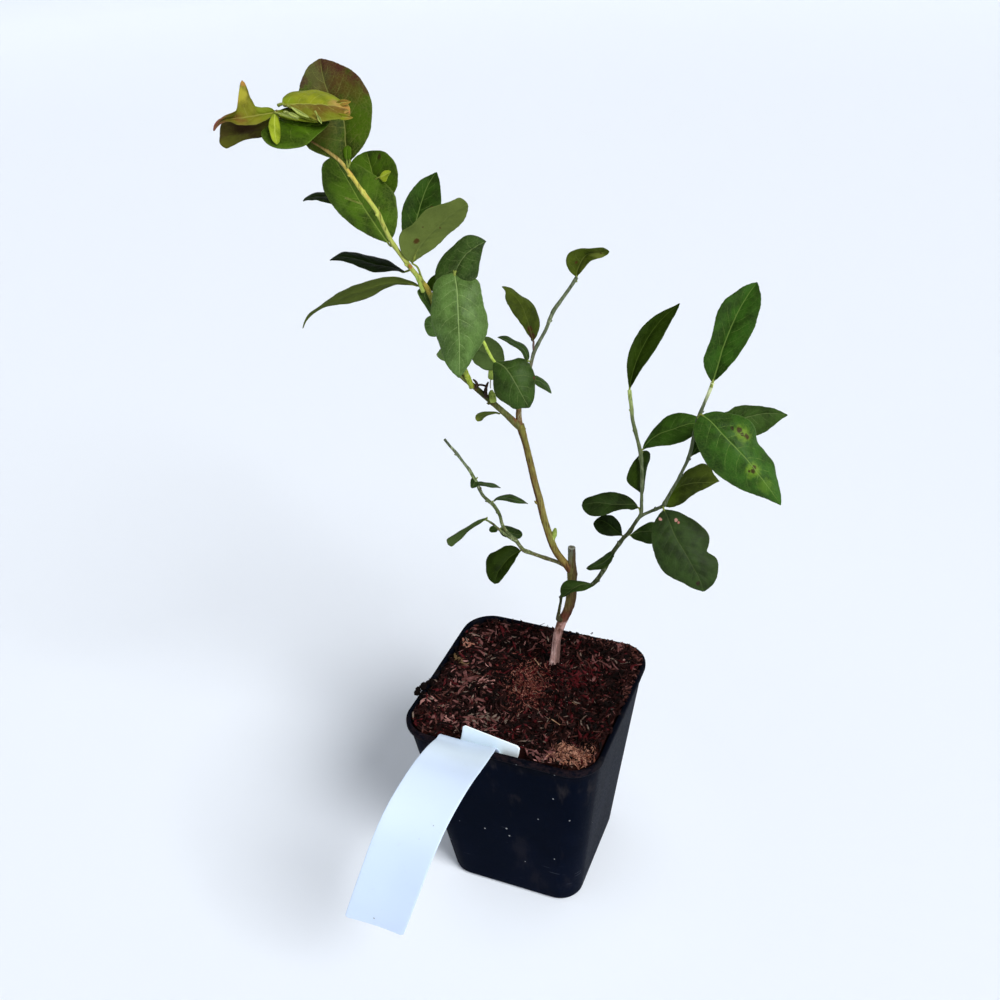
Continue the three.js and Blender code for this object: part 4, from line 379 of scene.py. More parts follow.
    'R7': ('right_outer_low',[[633,277,2163],[637,292,2171],[642,306,2178],[647,321,2186],[651,336,2193],[656,351,2200],[662,365,2207],[668,380,2214],[675,395,2220],[683,410,2225],[692,424,2230]],[[633,277,2163],[630,291,2175],[627,306,2187],[625,321,2199],[626,336,2210],[630,353,2220],[636,369,2229],[647,384,2234],[662,398,2234],[676,412,2232],[692,424,2230]],[[633,277,2163],[645,291,2165],[656,306,2168],[668,320,2170],[678,335,2174],[687,350,2180],[693,366,2188],[697,381,2197],[697,396,2207],[695,410,2218],[692,424,2230]]),
    'R8': ('right_low',[[534,256,1919],[539,278,1937],[549,300,1952],[562,322,1965],[580,343,1974],[602,362,1976],[625,380,1976],[650,396,1973],[674,412,1969],[698,428,1967],[723,445,1965]],[[534,256,1919],[543,273,1949],[556,294,1975],[569,316,2000],[583,341,2023],[602,367,2040],[626,394,2051],[655,420,2054],[681,433,2034],[700,436,1999],[723,445,1965]],[[534,256,1919],[556,274,1905],[576,295,1903],[594,318,1906],[610,341,1914],[626,362,1922],[644,382,1931],[663,400,1938],[683,417,1946],[702,432,1956],[723,445,1965]]),
    'R9': ('right_low',[[538,236,1917],[562,212,1896],[583,189,1872],[604,168,1847],[627,152,1822],[652,140,1796],[675,129,1768],[697,120,1738],[719,114,1707],[738,108,1673],[753,102,1636]],[[538,236,1917],[518,200,1892],[510,165,1859],[516,135,1823],[533,112,1786],[555,92,1750],[584,79,1716],[625,79,1692],[667,85,1673],[709,90,1651],[753,102,1636]],[[538,236,1917],[592,245,1911],[644,246,1893],[693,241,1866],[733,229,1831],[739,200,1791],[737,191,1784],[778,188,1755],[793,163,1708],[784,131,1664],[753,102,1636]]),
    'R10': ('right_knee',[[393,249,1750],[404,265,1750],[416,280,1749],[429,294,1747],[442,307,1742],[456,320,1738],[470,333,1733],[483,346,1728],[497,358,1722],[512,370,1716],[526,382,1709]],[[393,249,1750],[401,275,1751],[411,298,1754],[422,319,1757],[435,340,1759],[449,358,1760],[467,371,1755],[485,384,1751],[502,390,1742],[515,389,1726],[526,382,1709]],[[393,249,1750],[408,244,1738],[426,247,1731],[444,253,1724],[461,260,1715],[478,272,1709],[494,287,1704],[509,305,1699],[519,328,1701],[524,354,1705],[526,382,1709]]),
    'R11': ('right_inner',[[425,263,1884],[408,256,1904],[388,238,1910],[366,222,1915],[345,208,1920],[323,195,1924],[300,185,1930],[277,176,1934],[255,166,1935],[232,156,1931],[210,147,1925]],[[425,263,1884],[407,270,1905],[384,270,1923],[358,265,1936],[332,257,1946],[306,245,1952],[281,229,1954],[258,210,1950],[236,191,1947],[215,171,1941],[210,147,1925]],[[425,263,1884],[408,232,1891],[387,209,1904],[366,186,1910],[346,165,1910],[326,146,1906],[304,131,1902],[279,122,1901],[253,119,1903],[228,127,1912],[210,147,1925]]),
    'R12': ('right_knee',[[353,265,1729],[340,269,1736],[327,273,1742],[314,276,1749],[301,281,1756],[288,285,1762],[273,287,1767],[259,288,1771],[244,286,1770],[231,281,1764],[220,275,1755]],[[353,265,1729],[350,271,1748],[344,279,1766],[333,285,1781],[318,289,1794],[302,293,1804],[282,290,1804],[262,288,1801],[245,283,1790],[230,278,1775],[220,275,1755]],[[353,265,1729],[340,256,1731],[327,249,1732],[313,243,1732],[299,240,1732],[285,238,1733],[270,238,1735],[255,242,1738],[242,250,1743],[230,261,1749],[220,275,1755]]),
    'R13': ('right_inner_low',[[327,243,1665],[323,230,1656],[318,218,1647],[311,207,1639],[302,197,1631],[292,187,1625],[280,179,1619],[268,172,1614],[254,166,1610],[240,160,1605],[226,156,1602]],[[327,243,1665],[312,244,1654],[299,242,1644],[288,238,1635],[278,231,1625],[268,224,1617],[259,214,1611],[249,202,1607],[239,190,1605],[231,175,1603],[226,156,1602]],[[327,243,1665],[331,221,1659],[332,202,1650],[330,185,1641],[322,170,1633],[313,158,1624],[299,149,1618],[282,145,1614],[263,144,1609],[244,145,1602],[226,156,1602]]),
    'R14': ('trunk_side',[[237,226,1469],[225,213,1478],[212,202,1484],[200,191,1487],[188,179,1486],[176,169,1482],[165,160,1476],[154,152,1467],[143,146,1458],[131,141,1446],[120,137,1433]],[[237,226,1469],[219,221,1478],[200,214,1485],[181,206,1490],[162,198,1494],[142,190,1496],[124,179,1494],[112,167,1483],[107,154,1468],[110,144,1450],[120,137,1433]],[[237,226,1469],[235,199,1472],[228,178,1476],[219,161,1479],[207,148,1482],[194,139,1483],[180,134,1482],[166,130,1475],[152,128,1462],[138,130,1447],[120,137,1433]]),
    'Y1': ('tip',[[-725,-276,3566],[-714,-280,3566],[-703,-283,3565],[-692,-287,3565],[-681,-291,3564],[-670,-295,3564],[-659,-299,3563],[-649,-303,3562],[-638,-308,3561],[-627,-312,3560],[-616,-317,3559]],[[-725,-276,3566],[-712,-284,3564],[-700,-291,3563],[-689,-296,3562],[-677,-301,3562],[-666,-305,3561],[-656,-309,3561],[-645,-311,3560],[-635,-314,3560],[-626,-315,3559],[-616,-317,3559]],[[-725,-276,3566],[-712,-281,3568],[-700,-286,3570],[-688,-290,3570],[-676,-295,3571],[-665,-299,3570],[-655,-303,3569],[-645,-306,3567],[-635,-310,3565],[-625,-313,3562],[-616,-317,3559]]),
    'Y2': ('tip',[[-727,-269,3559],[-711,-269,3559],[-695,-269,3558],[-679,-270,3557],[-662,-271,3556],[-646,-272,3554],[-630,-273,3553],[-614,-275,3551],[-599,-276,3548],[-583,-278,3546],[-567,-280,3543]],[[-727,-269,3559],[-709,-275,3555],[-692,-279,3553],[-675,-282,3550],[-658,-284,3548],[-642,-285,3547],[-627,-285,3546],[-611,-285,3545],[-596,-284,3544],[-581,-283,3543],[-567,-280,3543]],[[-727,-269,3559],[-709,-269,3563],[-691,-270,3566],[-674,-271,3567],[-658,-271,3567],[-642,-273,3565],[-626,-274,3563],[-611,-275,3559],[-596,-277,3555],[-581,-278,3550],[-567,-280,3543]]),
    'Y3': ('tip',[[-651,-301,3594],[-643,-303,3591],[-636,-305,3588],[-629,-307,3585],[-622,-308,3582],[-614,-310,3579],[-607,-311,3576],[-599,-313,3574],[-592,-314,3571],[-584,-315,3569],[-577,-316,3566]],[[-651,-301,3594],[-642,-308,3590],[-634,-312,3586],[-627,-316,3583],[-619,-319,3579],[-612,-320,3577],[-605,-321,3574],[-598,-321,3572],[-591,-320,3570],[-584,-319,3568],[-577,-316,3566]],[[-651,-301,3594],[-640,-304,3594],[-631,-307,3592],[-623,-309,3590],[-615,-311,3588],[-608,-313,3585],[-601,-314,3582],[-594,-315,3578],[-588,-316,3575],[-582,-316,3571],[-577,-316,3566]]),
    'Y4': ('tip',[[-659,-314,3580],[-653,-316,3579],[-648,-318,3578],[-643,-319,3576],[-638,-321,3575],[-632,-322,3574],[-627,-324,3573],[-622,-326,3572],[-617,-327,3571],[-611,-328,3570],[-606,-330,3569]],[[-659,-314,3580],[-652,-320,3578],[-646,-325,3576],[-640,-328,3574],[-635,-331,3573],[-629,-333,3572],[-624,-334,3571],[-619,-334,3570],[-615,-333,3569],[-610,-332,3569],[-606,-330,3569]],[[-659,-314,3580],[-651,-317,3581],[-644,-320,3582],[-638,-322,3582],[-632,-324,3581],[-627,-326,3580],[-622,-327,3578],[-617,-328,3576],[-613,-329,3574],[-609,-330,3572],[-606,-330,3569]]),
    'Y5': ('tip',[[-558,-295,3571],[-557,-295,3568],[-555,-295,3566],[-553,-296,3563],[-552,-296,3560],[-550,-296,3558],[-549,-297,3555],[-547,-297,3552],[-545,-298,3550],[-544,-298,3547],[-542,-298,3544]],[[-558,-295,3571],[-556,-299,3569],[-554,-302,3566],[-553,-304,3563],[-551,-305,3561],[-549,-306,3558],[-548,-306,3555],[-546,-305,3552],[-545,-303,3550],[-544,-301,3547],[-542,-298,3544]],[[-558,-295,3571],[-553,-297,3570],[-550,-299,3568],[-547,-300,3566],[-544,-300,3564],[-543,-301,3561],[-542,-301,3558],[-541,-301,3555],[-541,-300,3552],[-541,-299,3548],[-542,-298,3544]]),
    'Y6': ('tip',[[-753,-257,3564],[-735,-255,3561],[-717,-252,3558],[-698,-250,3555],[-680,-247,3553],[-662,-245,3550],[-644,-242,3547],[-626,-240,3544],[-608,-237,3542],[-590,-235,3539],[-572,-232,3536]],[[-753,-257,3564],[-736,-258,3552],[-719,-257,3544],[-701,-256,3538],[-684,-254,3533],[-666,-252,3530],[-647,-249,3529],[-629,-245,3529],[-610,-241,3530],[-591,-237,3532],[-572,-232,3536]],[[-753,-257,3564],[-736,-247,3568],[-719,-240,3570],[-701,-234,3570],[-684,-230,3569],[-665,-227,3567],[-647,-226,3563],[-629,-226,3558],[-610,-227,3551],[-591,-229,3545],[-572,-232,3536]]),
    'T1': ('tip',[[-551,-191,3580],[-545,-189,3582],[-539,-188,3584],[-533,-187,3585],[-527,-185,3586],[-521,-184,3588],[-515,-183,3589],[-509,-182,3589],[-503,-182,3590],[-497,-181,3591],[-490,-180,3591]],[[-551,-191,3580],[-541,-194,3579],[-533,-196,3578],[-526,-197,3578],[-519,-197,3579],[-513,-196,3580],[-508,-194,3581],[-503,-192,3583],[-498,-189,3586],[-494,-185,3588],[-490,-180,3591]],[[-551,-191,3580],[-545,-190,3587],[-539,-189,3592],[-533,-189,3595],[-527,-188,3597],[-521,-187,3599],[-515,-186,3599],[-509,-184,3598],[-503,-183,3597],[-496,-182,3594],[-490,-180,3591]]),
    'T2': ('tip',[[-536,-213,3568],[-530,-213,3568],[-525,-213,3568],[-520,-212,3568],[-514,-212,3568],[-509,-211,3568],[-503,-211,3568],[-498,-211,3568],[-493,-210,3569],[-487,-210,3569],[-482,-209,3570]],[[-536,-213,3568],[-528,-218,3565],[-521,-221,3563],[-514,-223,3561],[-508,-224,3561],[-503,-224,3561],[-498,-222,3561],[-493,-220,3563],[-489,-217,3564],[-485,-214,3567],[-482,-209,3570]],[[-536,-213,3568],[-529,-214,3572],[-523,-214,3575],[-517,-214,3577],[-512,-214,3578],[-506,-213,3578],[-501,-213,3578],[-496,-212,3577],[-491,-211,3575],[-487,-210,3573],[-482,-209,3570]]),
    'T3': ('tip',[[-529,-241,3560],[-522,-241,3559],[-515,-240,3557],[-508,-239,3556],[-501,-239,3556],[-494,-238,3555],[-486,-237,3554],[-479,-236,3554],[-472,-235,3553],[-465,-234,3553],[-458,-233,3553]],[[-529,-241,3560],[-520,-246,3555],[-512,-249,3552],[-504,-251,3550],[-496,-251,3549],[-489,-251,3548],[-482,-249,3548],[-476,-246,3548],[-470,-243,3549],[-464,-239,3550],[-458,-233,3553]],[[-529,-241,3560],[-520,-241,3563],[-512,-241,3565],[-504,-241,3566],[-497,-240,3566],[-490,-239,3565],[-483,-238,3564],[-476,-237,3562],[-470,-236,3559],[-464,-235,3556],[-458,-233,3553]]),
}
STALKS = {  # x, y, z and radius along a leaf stalk, in 0.1 mm
    'L1': [[-567,-123,3349,5.0],[-560,-109,3370,4.0]],
    'L9': [[-466,-41,3045,4.5],[-492,-14,3045,4.0]],
    'L10': [[-500,-61,3173,4.5],[-532,12,3163,4.0],[-560,76,3157,3.5]],
    'L11': [[-542,-90,3212,4.0],[-601,-84,3224,3.0]],
    'L12': [[-410,-6,2949,4.5],[-454,35,2920,4.0]],
    'L13': [[-370,27,2861,5.0],[-387,20,2874,4.0]],
    'L14': [[-417,-14,2967,4.5],[-422,5,3002,4.0],[-413,20,3041,3.5]],
    'L15': [[-370,22,2869,5.0],[-380,13,2917,4.2],[-388,-2,2961,4.0],[-402,-8,2974,3.5]],
    'L24': [[-239,52,2677,6.0],[-189,46,2687,6.0],[-158,49,2667,6.0],[-137,53,2622,6.0],[-117,61,2578,5.0]],
    'L23': [[-247,59,2668,5.0],[-243,104,2633,4.0]],
    'L20': [[-39,292,2528,4.5],[-42,298,2554,4.5],[-44,305,2569,4.0]],
    'L22': [[-42,276,2493,4.0],[-57,270,2494,3.5]],
    'L25': [[-62,253,2416,4.0],[-49,288,2406,3.0]],
    'L26': [[-131,153,2307,4.0],[-144,158,2298,3.0]],
    'LT1': [[-274,232,1707,4.5],[-263,236,1716,3.0]],
    'LT2': [[-107,258,1559,5.0],[-120,261,1552,4.0]],
    'LT3': [[-201,263,1661,4.0],[-225,271,1635,3.0]],
    'LT4': [[-257,276,1767,4.0],[-251,279,1780,3.0]],
    'LT5': [[-326,283,1858,4.0],[-329,282,1863,3.0]],
    'R3': [[417,297,2130,5.0],[422,299,2146,4.0]],
    'R4': [[419,298,2120,5.0],[415,325,2122,4.0]],
    'R5': [[651,260,2336,4.5],[670,249,2370,4.0]],
    'R6': [[651,260,2338,4.0],[668,292,2324,3.5]],
    'R7': [[627,267,2172,3.5],[633,277,2163,3.0]],
    'R8': [[532,257,1918,5.0],[534,256,1919,4.0]],
    'R9': [[530,256,1918,5.0],[538,236,1917,4.0]],
    'R10': [[385,253,1756,4.5],[393,249,1750,4.0]],
    'R11': [[433,261,1864,5.5],[425,263,1884,4.5]],
    'R12': [[369,250,1734,4.5],[353,265,1729,3.5]],
    'R13': [[329,241,1671,4.5],[327,243,1665,4.0]],
    'R14': [[244,226,1484,4.5],[237,226,1469,4.0]],
}
# ---------------------------------------------------------------- leaves
# Leaf finishes: blade colour, colour of its shaded zones, vein colour, underside colour.
TONES = {
    "shade": ((20, 34, 8), (11, 22, 2), (48, 64, 24), (44, 58, 26)),
    "deep": ((33, 50, 4), (22, 38, 0), (72, 90, 34), (56, 70, 24)),
    "forest": ((40, 70, 12), (25, 50, 2), (98, 120, 58), (66, 88, 34)),
    "moss": ((44, 68, 20), (28, 48, 6), (96, 112, 64), (70, 86, 44)),
    "glossy": ((44, 84, 16), (28, 58, 4), (108, 136, 60), (70, 98, 36)),
    "leaf": ((62, 92, 10), (40, 62, 3), (120, 140, 58), (90, 110, 40)),
    "bright": ((82, 118, 14), (52, 84, 4), (130, 156, 60), (104, 130, 40)),
    "sage": ((80, 110, 50), (58, 86, 28), (130, 152, 92), (100, 122, 66)),
    "grey": ((84, 100, 34), (68, 84, 22), (122, 134, 76), (98, 112, 54)),
    "olive": ((62, 75, 14), (45, 57, 6), (104, 116, 54), (84, 96, 40)),
    "first": ((72, 98, 12), (50, 72, 4), (136, 140, 70), (96, 110, 40)),
    "khaki": ((84, 88, 6), (62, 60, 0), (138, 142, 60), (106, 106, 34)),
    "umber": ((108, 98, 24), (82, 64, 14), (190, 176, 96), (120, 104, 44)),
    "horn": ((128, 130, 30), (100, 94, 14), (172, 168, 84), (132, 128, 44)),
    "pale": ((160, 172, 84), (130, 146, 54), (200, 208, 140), (160, 170, 96)),
    "gold": ((138, 144, 24), (108, 122, 10), (184, 188, 92), (146, 150, 50)),
    "bronze": ((106, 104, 12), (80, 70, 6), (154, 146, 66), (120, 98, 42)),
    "plum": ((70, 50, 12), (52, 30, 8), (110, 92, 44), (84, 62, 36)),
    "lime": ((142, 156, 34), (110, 128, 14), (178, 190, 86), (148, 160, 60)),
}
# name: tone, then options. left/right: tone of one half; edge: (colour, width, side, from, to); tip: (colour, from);
# spots: (along, across, radius mm, colour); patches: (along, across, radius mm, colour, amount), soft and uneven;
# rough: roughness; spec: gloss; veins: strength; flip: the other face is the upper one.
RED, MAROON, TAN, BROWN, PALE = (100, 36, 22), (66, 34, 26), (190, 138, 84), (60, 36, 16), (196, 198, 150)
ORANGE, RUSTY, OCHRE = (190, 112, 46), (104, 58, 24), (170, 150, 40)
LOOK = {
    "L1": ("first", dict(k=0.6, veins=1.7, rough=0.5, spec=0.06, net=2.2, patches=[(0.72, -0.30, 9.0, (76, 56, 26), 0.92), (0.90, -0.20, 7.5, (76, 52, 30), 0.9), (0.30, -0.55, 6.5, (60, 84, 8), 0.8), (0.5, -0.85, 4.5, (62, 82, 8), 0.7), (0.82, 0.42, 7.5, (72, 74, 38), 0.85), (0.56, -0.62, 5.0, (72, 62, 20), 0.7), (0.35, 0.5, 5, (92, 84, 30), 0.5),
                        (0.80, -0.95, 4.4, MAROON, 0.95), (0.65, -0.98, 3.8, MAROON, 0.9), (0.93, -0.70, 4.2, MAROON, 0.9), (0.52, -1.0, 2.2, MAROON, 0.7), (0.60, 0.97, 2.6, (66, 48, 36), 0.9), (0.76, 0.97, 2.6, (66, 48, 36), 0.9), (0.42, 0.98, 1.8, (72, 50, 34), 0.8)])),
    # L2: its lower half takes the darker umber tone and two dull brown patches, partly the young leaf's bronze colour
    # and partly painted shade where the blade folds down along the midrib
    "L2": ("gold", dict(k=0.84, left="umber", rough=0.5, spec=0.06, veins=1.2, patches=[(0.80, 0.2, 2.8, (176, 134, 84), 0.6), (0.94, 0.0, 3.0, (168, 112, 62), 0.75), (0.55, -0.35, 3.4, (96, 72, 24), 0.7), (0.76, -0.40, 3.0, (104, 76, 28), 0.7), (0.70, -0.90, 3.0, (100, 112, 20), 0.7), (0.40, -0.80, 2.6, (104, 116, 24), 0.6), (0.12, 0.3, 3.0, (118, 140, 26), 0.6)])),
    "L2b": ("olive", dict(k=0.46, patches=[(0.8, 0.5, 3, (92, 88, 30), 0.6)])),
    "L3": ("horn", dict(k=0.72, tip=((116, 66, 56), 0.78), spec=0.06, patches=[(0.42, 0.9, 1.4, (176, 112, 60), 0.6), (0.6, 0.95, 1.5, (160, 96, 60), 0.6), (0.50, 0.75, 3.4, (164, 158, 50), 0.7), (0.15, 0.3, 4.0, (104, 122, 22), 0.7), (0.55, -0.3, 2.6, (122, 66, 44), 0.45)])),
    "L5": ("plum", dict(k=0.3, tip=((112, 110, 44), 0.72), patches=[(0.15, 0, 5, (74, 80, 16), 0.8), (0.78, -0.7, 4.2, (98, 104, 30), 0.8), (0.6, -0.8, 3.5, (96, 96, 34), 0.7), (0.35, 0.8, 4, (44, 24, 12), 0.7)])),
    "Y1": ("pale", dict(stalk=(170, 180, 90))),
    "Y2": ("lime", dict(k=0.8, veins=1.2)),
    "Y3": ("pale", dict(stalk=(170, 180, 90))),
    "Y4": ("pale", dict(stalk=(190, 198, 120))),
    "Y5": ("pale", dict(k=0.9, stalk=(150, 160, 80))),
    "Y6": ("lime", dict(k=0.6)),
    "T1": ("gold", dict(k=0.95, patches=[(0.75, 0.0, 3.0, (150, 100, 54), 0.7)])),
    "T2": ("gold", dict(k=0.85, patches=[(0.7, 0.0, 3.0, (176, 132, 78), 0.7)])),
    "T3": ("gold", dict(k=0.75, patches=[(0.9, 0.0, 2.0, (150, 112, 54), 0.6)])),
    "L6": ("lime", dict(stalk=(206, 206, 128))),
    # L7: the dark patch along its upper margin is painted shadow
    "L7": ("leaf", dict(patches=[(0.5, 0.1, 6, (78, 112, 15), 0.75), (0.5, 0.85, 4, (56, 74, 8), 0.6)])),
    "L7s": ("bright", dict(k=0.7)),
    "L9": ("leaf", dict(veins=1.3, spec=0.10, net=1.5)),
    "L10": ("leaf", dict(k=0.78, veins=1.7, spots=[(0.74, -0.62, 1.0, (44, 36, 12))])),
    "L10y": ("lime", dict(k=0.85)),
    "L11": ("deep", dict(k=0.78)),
    "L14": ("forest", dict(k=0.8, veins=1.9, spots=[(0.5, -0.6, 0.8, BROWN)])),
    "L15": ("grey", dict(k=0.78, spots=[(0.27, 0.25, 1.2, (60, 34, 12)), (0.55, -0.2, 0.35, (60, 40, 20)), (0.45, 0.5, 0.35, (60, 40, 20))], rough=0.6, veins=0.6)),
    "L12": ("shade", dict(k=0.72)),
    "L13": ("olive", dict(k=0.78)),
    "L16": ("moss", dict(k=0.95, veins=1.6, net=1.8, rim=0.5, spec=0.08, rough=0.45)),
    "L17": ("sage", dict(spec=0.12, rough=0.42, veins=1.5, net=1.4, rim=0.75)),
    "L18": ("sage", dict()),
    "L18b": ("sage", dict()),
    "L19": ("sage", dict()),
    "L19b": ("leaf", dict(k=0.7)),
    "L23": ("moss", dict(k=0.85, left="sage")),
    "L24": ("moss", dict(veins=1.4, rim=0.5, spec=0.07, rough=0.4, stalk=(168, 188, 84), stalk_dark=(146, 166, 66), spots=[(0.62, 0.93, 0.6, (70, 30, 24))], patches=[(0.5, -0.97, 2.2, (40, 52, 14), 0.7)])),
    "L25": ("moss", dict()),
    "L26": ("olive", dict(tip=((150, 156, 50), 0.82))),
    "L20": ("olive", dict(k=0.8, veins=0.45, stalk=(96, 78, 74), stalk_dark=(70, 54, 50), spots=[(0.09, 0.0, 1.9, (44, 16, 10)), (0.20, 0.12, 1.5, (52, 22, 12))])),
    "L22": ("moss", dict(k=0.78)),
    "L21": ("olive", dict(patches=[(0.72, -0.3, 3.4, (98, 108, 44), 0.8), (0.3, -0.6, 3.0, (92, 102, 36), 0.6)], spots=[(0.3, 0.3, 0.7, BROWN), (0.8, -0.2, 0.6, BROWN)])),
    "LT1": ("moss", dict(k=0.9)),
    "LT2": ("deep", dict(k=0.68)),
    "LT3": ("moss", dict(k=0.78)),
    "LT3b": ("moss", dict(k=0.9)),
    "LT4": ("moss", dict(k=0.9)),
    "LT5": ("moss", dict(k=0.95)),
    "LT5b": ("moss", dict(k=0.62)),
    "R1": ("deep", dict()),
    "R2": ("glossy", dict(k=0.70, spec=0.05, veins=1.5)),
    "R3": ("forest", dict()),
    "R4": ("deep", dict()),
    "R5": ("glossy", dict(k=0.88, spec=0.10, rough=0.45, veins=1.4, rim=0.3, patches=[(0.36, 0.5, 3.6, (98, 128, 30), 0.85), (0.62, -0.05, 3.4, (104, 136, 34), 0.75), (0.78, -0.1, 3.4, (80, 112, 30), 0.6)],
                           spots=[(0.275, 0.40, 0.85, (38, 24, 10)), (0.33, 0.49, 1.3, (46, 18, 10)), (0.355, 0.45, 0.9, (46, 18, 10)), (0.395, 0.52, 1.25, (50, 20, 12)), (0.595, 0.03, 1.0, (50, 20, 12)), (0.615, -0.10, 1.15, (44, 18, 10)), (0.60, -0.20, 0.7, (50, 22, 12))])),
    "R6": ("moss", dict()),
    "R7": ("forest", dict(k=0.62)),
    "R8": ("olive", dict(k=0.8, patches=[(0.2, 0.0, 5, (70, 92, 12), 0.7)])),
    "R9": ("moss", dict(k=0.68, spec=0.12, veins=0.55, spots=[(0.12, 0.62, 0.8, (186, 136, 126)), (0.19, -0.38, 0.85, (184, 134, 124)), (0.215, -0.40, 0.6, (170, 110, 100)), (0.88, 0.3, 1.1, (36, 20, 12))])),
    "R10": ("moss", dict()),
    "R11": ("moss", dict(k=0.45)),
    "R12": ("shade", dict(k=0.95)),
    "R13": ("moss", dict(k=0.65)),
    "R14": ("moss", dict(k=0.72)),
}


